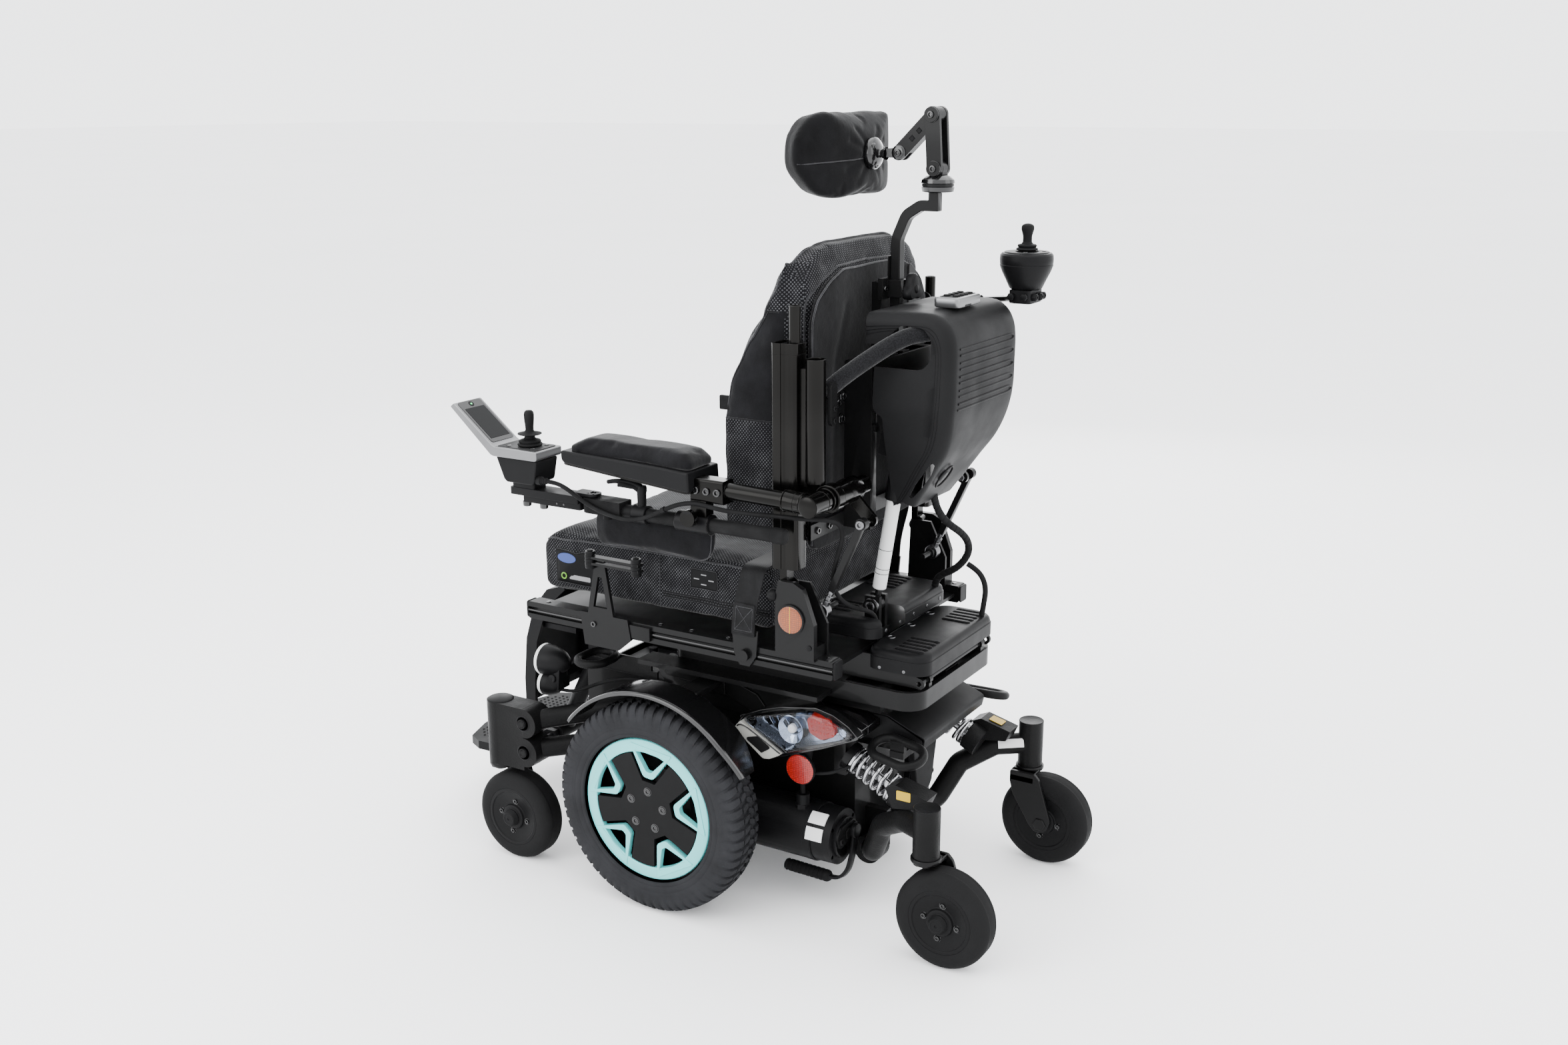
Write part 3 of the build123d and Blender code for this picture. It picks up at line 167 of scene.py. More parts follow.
def tint(tree, value, dark, light, start=0.3, end=0.7):
    """A 0 to 1 value turned into a colour between two."""
    ramp = tree.nodes.new("ShaderNodeValToRGB")
    ramp.color_ramp.elements[0].position = start
    ramp.color_ramp.elements[0].color = (*dark, 1)
    ramp.color_ramp.elements[1].position = end
    ramp.color_ramp.elements[1].color = (*light, 1)
    tree.links.new(value, ramp.inputs["Fac"])
    return ramp.outputs["Color"]


def bump(tree, node, height, distance, strength=1.0, after=None):
    bumper = tree.nodes.new("ShaderNodeBump")
    bumper.inputs["Strength"].default_value = strength
    bumper.inputs["Distance"].default_value = distance
    tree.links.new(height, bumper.inputs["Height"])
    if after:
        tree.links.new(after, bumper.inputs["Normal"])
    tree.links.new(bumper.outputs["Normal"], node.inputs["Normal"])
    return bumper.outputs["Normal"]


def shade(color, factor):
    return tuple(min(1.0, c * factor) for c in color)


def paint(name, color, roughness, grain=0.00004, scale=900, metallic=0.0, coat=0.0, wear=0.12, patches=9):
    """Painted, moulded or coated surface: cloudy colour and gloss over a fine grain."""
    material, tree, node, place = shader(name, color, roughness, metallic, coat)
    clouds = noise_node(tree, place, patches, 4)
    tree.links.new(tint(tree, clouds, shade(color, 1 - wear), shade(color, 1 + wear)),
                   node.inputs["Base Color"])
    smears = noise_node(tree, place, patches * 3.3, 5)
    tree.links.new(spread(tree, smears, roughness * (1 - wear), roughness * (1 + wear)),
                   node.inputs["Roughness"])
    if grain:
        bump(tree, node, noise_node(tree, place, scale, 2), grain)
    return material


def anodised(name, color, roughness=0.2, along=(600, 600, 3)):
    """Drawn aluminium with fine lines along its length."""
    material, tree, node, place = shader(name, color, roughness, 0.9)
    lines = noise_node(tree, place, 1.0, 3, along)
    tree.links.new(spread(tree, lines, roughness * 0.8, roughness * 1.35), node.inputs["Roughness"])
    clouds = noise_node(tree, place, 6, 3)
    tree.links.new(tint(tree, clouds, shade(color, 0.8), shade(color, 1.3)), node.inputs["Base Color"])
    bump(tree, node, lines, 0.00002)
    return material


def math_node(tree, operation, *values):
    node = tree.nodes.new("ShaderNodeMath")
    node.operation = operation
    for socket, value in zip(node.inputs, values):
        if isinstance(value, (int, float)):
            socket.default_value = value
        else:
            tree.links.new(value, socket)
    return node.outputs["Value"]


def facing_axes(tree, place, axes):
    """Two of the object's own axes, as two values in millimetres."""
    split = tree.nodes.new("ShaderNodeSeparateXYZ")
    tree.links.new(place, split.inputs["Vector"])
    return [math_node(tree, "DIVIDE", split.outputs[axis], MM) for axis in axes]


def spacer_mesh(name, axes="YZ", pitch=5.4, color=(0.0022, 0.0022, 0.0028), dot=(0.046, 0.047, 0.05)):
    """Black open-knit spacer fabric: rows of small pale dots, each row shifted by half a step."""
    material, tree, node, place = shader(name, color, 0.85, sheen=0.12)
    across, up = facing_axes(tree, place, axes)
    row = math_node(tree, "MULTIPLY", up, 2 / (pitch * 1.1))
    odd = math_node(tree, "MODULO", math_node(tree, "FLOOR", math_node(tree, "ADD", row, 1000)), 2.0)
    column = math_node(tree, "ADD", math_node(tree, "DIVIDE", across, pitch),
                       math_node(tree, "MULTIPLY", odd, 0.5))
    x = math_node(tree, "SUBTRACT", math_node(tree, "FRACT", math_node(tree, "ADD", column, 1000)), 0.5)
    z = math_node(tree, "SUBTRACT", math_node(tree, "FRACT", math_node(tree, "ADD", row, 1000)), 0.5)
    reach = math_node(tree, "SQRT", math_node(tree, "ADD",
                                              math_node(tree, "POWER", math_node(tree, "MULTIPLY", x, 1.7),
                                                        2.0),
                                              math_node(tree, "POWER", math_node(tree, "MULTIPLY", z, 0.9),
                                                        2.0)))
    patchy = spread(tree, noise_node(tree, place, 26, 4), 0.25, 0.47)
    mark = math_node(tree, "LESS_THAN", reach, patchy)
    soft = spread(tree, reach, 1.0, 0.0, 0.1, 0.5)
    mix = tree.nodes.new("ShaderNodeMix")
    mix.data_type = "RGBA"
    tree.links.new(mark, mix.inputs["Factor"])
    tree.links.new(tint(tree, noise_node(tree, place, 14, 3), shade(color, 0.7), shade(color, 1.5)),
                   mix.inputs["A"])
    tree.links.new(tint(tree, noise_node(tree, place, 60, 3), shade(dot, 0.45), shade(dot, 1.2)),
                   mix.inputs["B"])
    tree.links.new(mix.outputs["Result"], node.inputs["Base Color"])
    fuzz = bump(tree, node, noise_node(tree, place, 1500, 2), 0.0001)
    bump(tree, node, soft, 0.0005, after=fuzz)
    return material


def knit(name, color, thread=1500, weave=0.00018, sheen=0.35, roughness=0.9):
    """Fine stretch fabric: a small rib under a cloudy nap."""
    material, tree, node, place = shader(name, color, roughness, sheen=sheen)
    nap = noise_node(tree, place, 30, 6)
    tree.links.new(tint(tree, nap, shade(color, 0.6), shade(color, 1.6)), node.inputs["Base Color"])
    fine = noise_node(tree, place, thread, 2, (1, 1, 0.5))
    first = bump(tree, node, noise_node(tree, place, 90, 4), 0.0006)
    bump(tree, node, fine, weave, after=first)
    return material


def webbing(name, color, axes="YZ"):
    """Belt strap: ribs along it, crossed by a fine twill."""
    material, tree, node, place = shader(name, color, 0.6, sheen=0.08)
    across, up = facing_axes(tree, place, axes)
    ribs = math_node(tree, "SINE", math_node(tree, "MULTIPLY", across, 2.6))
    twill = math_node(tree, "SINE", math_node(tree, "MULTIPLY", math_node(tree, "ADD", across, up), 4.2))
    tree.links.new(tint(tree, noise_node(tree, place, 45, 4), shade(color, 0.6), shade(color, 1.8)),
                   node.inputs["Base Color"])
    first = bump(tree, node, ribs, 0.00006)
    bump(tree, node, twill, 0.00003, after=first)
    return material


def tread_rubber(name, color):
    """Tyre rubber: dusty, with fine moulding lines round the wheel."""
    material, tree, node, place = shader(name, color, 0.78)
    dust = noise_node(tree, place, 22, 6)
    tree.links.new(tint(tree, dust, shade(color, 0.72), shade(color, 1.35)), node.inputs["Base Color"])
    tree.links.new(spread(tree, dust, 0.62, 0.88), node.inputs["Roughness"])
    first = bump(tree, node, noise_node(tree, place, 260, 4), 0.00025)
    bump(tree, node, noise_node(tree, place, 1200, 2), 0.00012, after=first)
    return material


def foam(name, color):
    """Closed-cell foam sleeve."""
    material, tree, node, place = shader(name, color, 0.95, sheen=0.2)
    cells = tree.nodes.new("ShaderNodeTexVoronoi")
    cells.inputs["Scale"].default_value = 520
    tree.links.new(place, cells.inputs["Vector"])
    tree.links.new(tint(tree, cells.outputs["Distance"], shade(color, 1.5), shade(color, 0.6), 0.1, 0.7),
                   node.inputs["Base Color"])
    bump(tree, node, cells.outputs["Distance"], 0.0005)
    return material


def clear_lens(name, color, roughness=0.03):
    material, tree, node, place = shader(name, color, roughness)
    node.inputs["Transmission Weight"].default_value = 1.0
    node.inputs["IOR"].default_value = 1.22
    bump(tree, node, noise_node(tree, place, 60, 2), 0.00006)
    return material


def reflector(name, color, cell=3.2):
    """Moulded prism reflector under a glossy face: each hexagon facet is painted brighter at its centre and
    darker at its edges, a painted reflection of the prisms.
    """
    material, tree, node, place = shader(name, color, 0.25, coat=0.25)
    cells = tree.nodes.new("ShaderNodeTexVoronoi")
    cells.inputs["Scale"].default_value = 1 / (cell * MM)
    cells.inputs["Randomness"].default_value = 0.12
    tree.links.new(place, cells.inputs["Vector"])
    # Painted reflection: facet centres painted brighter and facet edges darker, standing in for the prisms'
    # glints and shade.
    tree.links.new(tint(tree, cells.outputs["Distance"], shade(color, 1.5), shade(color, 0.45), 0.1, 0.6),
                   node.inputs["Base Color"])
    bump(tree, node, cells.outputs["Distance"], 0.0004)
    return material


def glow(name, color, strength):
    material, tree, node, place = shader(name, color, 0.4)
    node.inputs["Emission Color"].default_value = (*color, 1)
    node.inputs["Emission Strength"].default_value = strength
    tree.links.new(tint(tree, noise_node(tree, place, 300, 2), shade(color, 0.8), color),
                   node.inputs["Base Color"])
    return material


MAT = {}


def make_materials():
    MAT.update({
        "powder": paint("powder_black", (0.0032, 0.0032, 0.0033), 0.36, 0.00006, 700, coat=0.1),
        "cast": paint("cast_black", (0.0038, 0.0038, 0.0039), 0.42, 0.00035, 330, wear=0.25),
        "anodised": anodised("anodised_black", (0.009, 0.0087, 0.0082), 0.19),
        "anodised_x": anodised("anodised_black_x", (0.008, 0.0078, 0.0074), 0.16, (3, 600, 600)),
        "anodised_y": anodised("anodised_black_y", (0.008, 0.0078, 0.0074), 0.18, (600, 3, 600)),
        "shroud": paint("shroud_plastic", (0.0054, 0.0054, 0.0057), 0.52, 0.00012, 850, wear=0.15,
                        patches=5),
        "satin": paint("satin_plastic", (0.0039, 0.0039, 0.0042), 0.42, 0.00008, 800),
        "gloss": paint("gloss_plastic", (0.0024, 0.0024, 0.0026), 0.16, 0.00002, 500, coat=0.4),
        "rubber": paint("grip_rubber", (0.0048, 0.0048, 0.005), 0.7, 0.00015, 600, wear=0.3),
        "tyre": tread_rubber("tyre_rubber", (0.0125, 0.0127, 0.014)),
        "caster_tyre": tread_rubber("caster_rubber", (0.0056, 0.0056, 0.0058)),
        "mint": paint("rim_enamel", (0.09, 0.42, 0.42), 0.3, 0.00006, 420, coat=0.5, wear=0.06),
        "rim": paint("rim_plastic", (0.0036, 0.0036, 0.0038), 0.48, 0.0001, 900),
        "steel": paint("zinc_steel", (0.12, 0.12, 0.124), 0.28, 0.00003, 800, metallic=1.0),
        "spring": paint("spring_steel", (0.33, 0.33, 0.34), 0.22, 0.00003, 700, metallic=1.0),
        "chrome": paint("lamp_chrome", (0.2, 0.235, 0.3), 0.12, 0.00002, 400, metallic=1.0),
        "silver": paint("silver_lacquer", (0.15, 0.151, 0.154), 0.34, 0.00004, 900, metallic=0.85),
        "white": paint("white_plastic", (0.5, 0.505, 0.5), 0.35, 0.00004, 700, wear=0.05),
        "pale_trim": paint("pale_trim", (0.26, 0.26, 0.24), 0.35, 0.00005, 700, wear=0.05),
        "label_white": paint("label_white", (0.55, 0.55, 0.55), 0.45, 0.00003, 900, wear=0.04),
        "label_yellow": paint("label_yellow", (0.36, 0.23, 0.0), 0.4, 0.00003, 900, wear=0.05),
        "label_black": paint("label_black", (0.0036, 0.0036, 0.0039), 0.6, 0.00006, 900, wear=0.1),
        "label_grey": paint("label_grey", (0.16, 0.16, 0.165), 0.55, 0.00003, 900, wear=0.08),
        "label_green": paint("label_green", (0.08, 0.22, 0.01), 0.5, 0.00003, 900, wear=0.08),
        "grey_plastic": paint("grey_plastic", (0.015, 0.015, 0.0153), 0.45, 0.0001, 800, wear=0.1),
        "label_silver": paint("label_silver", (0.45, 0.455, 0.455), 0.35, 0.00003, 900, metallic=0.3,
                              wear=0.05),
        "badge": paint("badge_blue", (0.003, 0.024, 0.15), 0.3, 0.00003, 700, coat=0.15, wear=0.08),
        "foam": foam("foam_sleeve", (0.0066, 0.0066, 0.0074)),
        "mesh": spacer_mesh("spacer_mesh_side"),
        "mesh_front": spacer_mesh("spacer_mesh_front", "XZ"),
        "mesh_top": spacer_mesh("spacer_mesh_top", "XY"),
        "knit": knit("stretch_fabric", (0.0022, 0.0022, 0.0025), sheen=0.12),
        "pad": knit("pad_fabric", (0.003, 0.003, 0.0036), sheen=0.22),
        "panel_cloth": knit("panel_cloth", (0.0026, 0.0026, 0.003), thread=900, sheen=0.12),
        "thread": knit("sewing_thread", (0.015, 0.015, 0.0165), thread=2500),
        "web": webbing("belt_webbing", (0.0033, 0.0033, 0.0036)),
        "lens": clear_lens("clear_lens", (0.96, 0.97, 0.99)),
        "red_lens": clear_lens("red_lens", (0.55, 0.004, 0.02), 0.06),
        "red_reflector": reflector("red_reflector", (0.27, 0.008, 0.005)),
        "amber_reflector": reflector("amber_reflector", (0.24, 0.045, 0.0)),
        "screen": paint("screen_glass", (0.0036, 0.0039, 0.0042), 0.3, 0.0, 500, wear=0.04),
        "green_led": glow("green_led", (0.05, 0.9, 0.25), 1.5),
        "battery": paint("battery_case", (0.009, 0.009, 0.0099), 0.5, 0.0001, 600),
    })


# ---------------------------------------------------------------- geometry helpers
def mm(x, y, z):
    return Vector((x, y, z)) * MM


def mesh_piece(name, mesh, body, material, bevel=0.0, segments=2, subdivide=0, sharp=32,
               replaces=()):
    """A finished piece: bevelled, smooth up to the sharp angle, riding on its body."""
    piece = bpy.data.objects.new(name, mesh)
    bpy.context.scene.collection.objects.link(piece)
    for one in material if isinstance(material, (list, tuple)) else [material]:
        mesh.materials.append(MAT[one])
    mesh.shade_smooth()
    if bevel:
        modifier = piece.modifiers.new("bevel", "BEVEL")
        modifier.width = bevel * MM
        modifier.segments = segments
        modifier.limit_method = "ANGLE"
        modifier.angle_limit = math.radians(sharp)
        modifier.harden_normals = False
    if subdivide:
        modifier = piece.modifiers.new("subdivide", "SUBSURF")
        modifier.levels = modifier.render_levels = subdivide
    else:
        mesh.set_sharp_from_angle(angle=math.radians(sharp))
    if replaces:
        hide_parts(*replaces)
    if body:
        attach(piece, body)
    return piece


def to_mesh(name, work, scale=MM):
    """A bmesh in millimetres, with outward normals, as a mesh in metres."""
    bmesh.ops.recalc_face_normals(work, faces=work.faces)
    bmesh.ops.scale(work, vec=(scale,) * 3, verts=work.verts)
    mesh = bpy.data.meshes.new(name)
    work.to_mesh(mesh)
    work.free()
    return mesh


def flip_x(work):
    """Mirrors a bmesh to the other side of the chair."""
    bmesh.ops.scale(work, vec=(-1, 1, 1), verts=work.verts)
    bmesh.ops.reverse_faces(work, faces=work.faces)
    return work


def axes_of(direction):
    """Three unit vectors, the last along a direction."""
    z = Vector(direction).normalized()
    x = z.orthogonal().normalized() if abs(z.z) > 0.9 else Vector((0, 0, 1)).cross(z).normalized()
    return x, z.cross(x), z


def lathe(work, origin, direction, profile, steps=64, start=0.0, sweep=None):
    """Adds a turned shape, from (distance along, radius) pairs. A radius of 0 closes an end on the axis."""
    x, y, z = axes_of(direction)
    origin = Vector(origin)
    turn = sweep or 2 * math.pi
    count = steps if sweep is None else steps + 1
    rings = []
    for along, radius in profile:
        if radius < 1e-6:
            rings.append([work.verts.new(origin + z * along)])
            continue
        rings.append([work.verts.new(origin + z * along + (x * math.cos(start + turn * i / steps)
                                                           + y * math.sin(start + turn * i / steps)) * radius)
                      for i in range(count)])
    faces = []
    for low, high in zip(rings, rings[1:]):
        for i in range(steps):
            j = (i + 1) % count
            corners = [low[i % len(low)], low[j % len(low)], high[j % len(high)], high[i % len(high)]]
            unique = list(dict.fromkeys(corners))
            if len(unique) >= 3:
                faces.append(work.faces.new(unique))
    return faces


def rod(work, start, end, radius, steps=32, bevel=0.0):
    """Adds a round bar with flat ends, their edges eased."""
    start, end = Vector(start), Vector(end)
    length = (end - start).length
    if bevel:
        profile = [(0, 0), (0, radius - bevel), (bevel * 0.3, radius - bevel * 0.3), (bevel, radius),
                   (length - bevel, radius), (length - bevel * 0.3, radius - bevel * 0.3),
                   (length, radius - bevel),
                   (length, 0)]
    else:
        profile = [(0, 0), (0, radius), (length, radius), (length, 0)]
    lathe(work, start, end - start, profile, steps)


def brick(work, low, high):
    """Adds a box between two corners."""
    corners = [Vector((x, y, z)) for x in (low[0], high[0]) for y in (low[1], high[1]) for z in (low[2],
        high[2])]
    verts = [work.verts.new(c) for c in corners]
    for face in ((0, 1, 3, 2), (4, 6, 7, 5), (0, 4, 5, 1), (2, 3, 7, 6), (0, 2, 6, 4), (1, 5, 7, 3)):
        work.faces.new([verts[i] for i in face])
    return verts


def round_corners(points, radius, steps=6):
    """An outline with its corners rounded. A radius may be one number or one for each corner."""
    radii = radius if isinstance(radius, (list, tuple)) else [radius] * len(points)
    done = []
    count = len(points)
    for i, (here, r) in enumerate(zip(points, radii)):
        here, before, after = Vector(here), Vector(points[i - 1]), Vector(points[(i + 1) % count])
        a, b = before - here, after - here
        turn = a.angle(b, math.pi)
        if r <= 0 or abs(math.pi - turn) < 0.02:
            done.append(tuple(here))
            continue
        cut = min(r / math.tan(turn / 2), 0.49 * a.length, 0.49 * b.length)
        r = cut * math.tan(turn / 2)
        start, end = here + a.normalized() * cut, here + b.normalized() * cut
        centre = here + (a.normalized() + b.normalized()).normalized() * math.hypot(cut, r)
        u, v = start - centre, end - centre
        whole = u.angle(v)
        for k in range(steps + 1):
            t = k / steps
            w = (u * math.sin((1 - t) * whole) + v * math.sin(t * whole)) / math.sin(whole)
            done.append(tuple(centre + w))
    return done


PLANES = {"YZ": lambda a, b, h: (h, a, b), "XZ": lambda a, b, h: (a, h, b), "XY": lambda a, b, h: (a, b, h)}


def prism(work, plane, outline, low, high, holes=()):
    """Adds a plate with an outline and any holes, between two heights across its plane."""
    place = PLANES[plane]
    loops = [outline, *holes]
    edges = []
    layers = []
    for height in (low, high):
        rims = []
        for loop in loops:
            verts = [work.verts.new(place(a, b, height)) for a, b in loop]
            rims.append(verts)
            for i, v in enumerate(verts):
                edges.append(work.edges.new((v, verts[(i + 1) % len(verts)])))
        layers.append(rims)
    for rims in layers:
        rim_edges = [work.edges.get((v, verts[(i + 1) % len(verts)])) for verts in rims for i,
                     v in enumerate(verts)]
        bmesh.ops.triangle_fill(work, use_beauty=True, use_dissolve=True, edges=rim_edges)
    for low_rim, high_rim in zip(*layers):
        count = len(low_rim)
        for i in range(count):
            j = (i + 1) % count
            work.faces.new((low_rim[i], low_rim[j], high_rim[j], high_rim[i]))


def tube(name, points, radius, body, material, close=False, order=3, resolution=8):
    """A smooth round bar or cable along points, as a curve object."""
    data = bpy.data.curves.new(name, "CURVE")
    data.dimensions = "3D"
    data.bevel_depth = radius * MM
    data.bevel_resolution = 5
    data.resolution_u = resolution
    data.use_fill_caps = True
    spline = data.splines.new("NURBS")
    spline.points.add(len(points) - 1)
    for point, where in zip(spline.points, points):
        point.co = (*mm(*where), 1)
    spline.order_u = order
    spline.use_endpoint_u = not close
    spline.use_cyclic_u = close
    piece = bpy.data.objects.new(name, data)
    bpy.context.scene.collection.objects.link(piece)
    data.materials.append(MAT[material])
    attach(piece, body)
    return piece


def refined(node, material, bevel=0.8, name=None, sharp=28, segments=2):
    """A copy of a CAD node with its flat faces joined up and its edges eased, in place of the node."""
    source = frame["nodes"][node]
    work = bmesh.new()
    work.from_mesh(source.data)
    bmesh.ops.remove_doubles(work, verts=work.verts, dist=0.00002)
    bmesh.ops.dissolve_limit(work, angle_limit=math.radians(1.2), use_dissolve_boundaries=False,
                             verts=work.verts, edges=work.edges)
    mesh = bpy.data.meshes.new(node)
    bmesh.ops.recalc_face_normals(work, faces=work.faces)
    work.to_mesh(mesh)
    work.free()
    piece = mesh_piece(name or f"{node}_body", mesh, source["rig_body"], material, bevel, segments,
                       sharp=sharp, replaces=(node,))
    if bevel:
        piece.modifiers["bevel"].use_clamp_overlap = True
    return piece


# ---------------------------------------------------------------- drive wheels
TREAD_PITCHES = 62
WINDOW_TURN = 6
WINDOWS = 5


def set_down(work, centre, side):
    """Moves a left-hand shape, drawn round its own centre, to its place on the left or the right."""
    bmesh.ops.translate(work, vec=Vector(centre), verts=work.verts)
    return work if side > 0 else flip_x(work)


def joint_place(name):
    """A joint's point in millimetres, on the left side."""
    for joint in frame["joints"]:
        if joint["name"] == name:
            x, y, z = joint["pos_m"]
            return Vector((abs(x), y, z)) / MM
    raise ValueError(name)


def lug(work, profile, start, width, skew, depth):
    """Adds a tread block that follows a profile of (x, radius) points across the tyre."""
    rows = []
    last = len(profile) - 1
    for i, (x, radius) in enumerate(profile):
        middle = start + skew * i / last
        ease = 0.55 + 0.45 * math.sin(math.pi * (0.15 + 0.75 * i / last))
        row = []
        for level, share in ((-depth, 1.15), (0, 0.86)):
            for edge in (-0.5, 0.5):
                angle = middle + edge * width * share * ease
                r = radius + level
                row.append(work.verts.new((x, -r * math.sin(angle), r * math.cos(angle))))
        rows.append(row)
    for low, high in zip(rows, rows[1:]):
        for a, b in ((0, 1), (1, 3), (3, 2), (2, 0)):
            work.faces.new((low[a], low[b], high[b], high[a]))
    for row in (rows[0], rows[-1]):
        work.faces.new((row[0], row[1], row[3], row[2]))


def drive_tyre(side, sign):
    work = bmesh.new()
    half = [(34.2, 123.6), (36.4, 125.0), (37.4, 129.0), (36.9, 130.2), (37.6, 131.2), (38.2, 139),
            (37.8, 140.2),
            (38.3, 141.4), (38.4, 150), (37.9, 158), (35.6, 165), (31, 170), (22, 172.6), (10, 173.6),
            (0, 173.8)]
    outline = half + [(-x, r) for x, r in reversed(half[:-1])]
    lathe(work, (0, 0, 0), (1, 0, 0), [(x, r) for x, r in reversed(outline)], 160)
    step = 2 * math.pi / TREAD_PITCHES
    shoulder = [(38.5, 151.5), (38.6, 157), (37.6, 163.5), (34.6, 170), (29.5, 174.6), (22, 176.6),
                (16.5, 177.3)]
    block = [(13.5, 177.5), (7, 177.9), (0, 178.0)]
    for i in range(TREAD_PITCHES):
        angle = i * step
        lug(work, shoulder, angle, step * 0.74, step * 0.42, 5.5)
        lug(work, [(-x, r) for x, r in shoulder], angle + step * 0.5, step * 0.74, step * 0.42, 5.5)
        lug(work, block, angle + step * 0.3, step * 0.62, step * 0.3, 4.5)
        lug(work, [(-x, r) for x, r in block], angle + step * 0.8, step * 0.62, step * 0.3, 4.5)
    set_down(work, joint_place("drive_wheel_left_spin"), sign)
    mesh_piece(f"tyre_{side}", to_mesh("tyre", work), f"drive_wheel_{side}", "tyre", sharp=38,
               replaces=(f"drive_tyre_{side}",))


def turned(points, turn):
    """Points (across, out) of a wheel's face, turned clockwise as seen from outside, in degrees."""
    angle = math.radians(turn)
    return [(a * math.cos(angle) + b * math.sin(angle), b * math.cos(angle) - a * math.sin(angle)) for a,
            b in points]


def window_shape(top_half, top, bottom_half, bottom, ease):
    return round_corners([(-top_half, top), (top_half, top), (bottom_half, bottom), (-bottom_half, bottom)],
                         [1.5, 1.5, ease, ease], 7)


def rim_faces(side, sign):
    """The coloured cover: a rolled ring and five V frames, with their open windows."""
    centre = joint_place("drive_wheel_left_spin")
    work = bmesh.new()
    ring = [(24, 120.4), (29, 120.4), (31.2, 119.2), (32.1, 117), (32.9, 103), (33.0, 100.6), (32.2, 99.2),
            (24, 98.6), (24, 120.4)]
    lathe(work, (0, 0, 0), (1, 0, 0), ring, 160)
    for i in range(WINDOWS):
        turn = WINDOW_TURN + 72 * i
        outer = turned(window_shape(41, 108.5, 9.5, 57, 9), turn)
        inner = turned(window_shape(30.5, 99.5, 4.6, 67.5, 6), turn)
        prism(work, "YZ", outer, 24, 33.6, [inner])
    set_down(work, centre, sign)
    mesh_piece(f"rim_cover_{side}_face", to_mesh("rim_cover", work), f"drive_wheel_{side}", "mint", 0.9, 3,
               replaces=(f"rim_cover_{side}",))


def screw_head(work, centre, direction, radius, height, socket=0.5, steps=24):
    """Adds a round screw head with a hexagonal socket."""
    lathe(work, centre, direction, [(0, radius), (height * 0.7, radius), (height * 0.93, radius * 0.93),
                                    (height, radius * 0.82), (height, radius * socket * 1.05)], steps)
    lathe(work, centre, direction, [(height, radius * socket * 1.05), (height * 0.96, radius * socket),
                                    (height * 0.35, radius * socket), (height * 0.35, 0)], 6)


def rim_centre(side, sign):
    """Black insert with five arms between the windows, the screws, and the dark well behind."""
    centre = joint_place("drive_wheel_left_spin")
    work = bmesh.new()
    outline = []
    reach = 98.0
    for i in range(WINDOWS):
        turn = WINDOW_TURN + 72 * i
        right = turned([(37.6, reach * 0.925), (12, 49)], turn)
        outline += right[::-1]
        start, end = turn + 24.4, turn + 72 - 24.4
        outline += [(reach * math.sin(math.radians(a)), reach * math.cos(math.radians(a)))
                    for a in [start + (end - start) * k / 8 for k in range(9)]]
        following = turned([(-37.6, reach * 0.925), (-12, 49)], turn + 72)
        outline += following
    prism(work, "YZ", outline, 24, 32.0)
    set_down(work, centre, sign)
    mesh_piece(f"rim_insert_{side}", to_mesh("rim_insert", work), f"drive_wheel_{side}", "rim", 0.7, 2,
               replaces=(f"drive_rim_{side}",))
    screws = bmesh.new()
    for i in range(WINDOWS):
        a = math.radians(WINDOW_TURN + 72 * i)
        where = Vector((32.0, 32.5 * math.sin(a), 32.5 * math.cos(a)))
        lathe(screws, where - Vector((0.2, 0, 0)), (1, 0, 0),
              [(0, 7.6), (0.5, 7.4), (0.7, 6.6), (0.4, 5.8)], 28)
        screw_head(screws, where - Vector((0.4, 0, 0)), (1, 0, 0), 5.6, 1.6, 0.55)
    set_down(screws, centre, sign)
    mesh_piece(f"rim_screws_{side}", to_mesh("rim_screws", screws), f"drive_wheel_{side}", "gloss")
    well = bmesh.new()
    lathe(well, (0, 0, 0), (1, 0, 0), [(-34, 123.8), (24, 123.8), (24, 119), (-2, 112), (-6, 60), (6, 40),
                                       (23, 36),
                                       (24, 0)], 96)
    lathe(well, (0, 0, 0), (1, 0, 0), [(-34, 123.8), (-34, 117), (-20, 114), (-10, 60), (-28, 42),
                                       (-30, 13), (-80, 12),
                                       (-80, 0)], 96)
    for i in range(WINDOWS):
        a = math.radians(WINDOW_TURN + 36 + 72 * i)
        for x in (-3, 12):
            rod(well, (x, 70 * math.sin(a), 70 * math.cos(a)), (x, 116 * math.sin(a), 116 * math.cos(a)), 7,
                16)
    set_down(well, centre, sign)
    mesh_piece(f"rim_well_{side}", to_mesh("rim_well", well), f"drive_wheel_{side}", "satin")


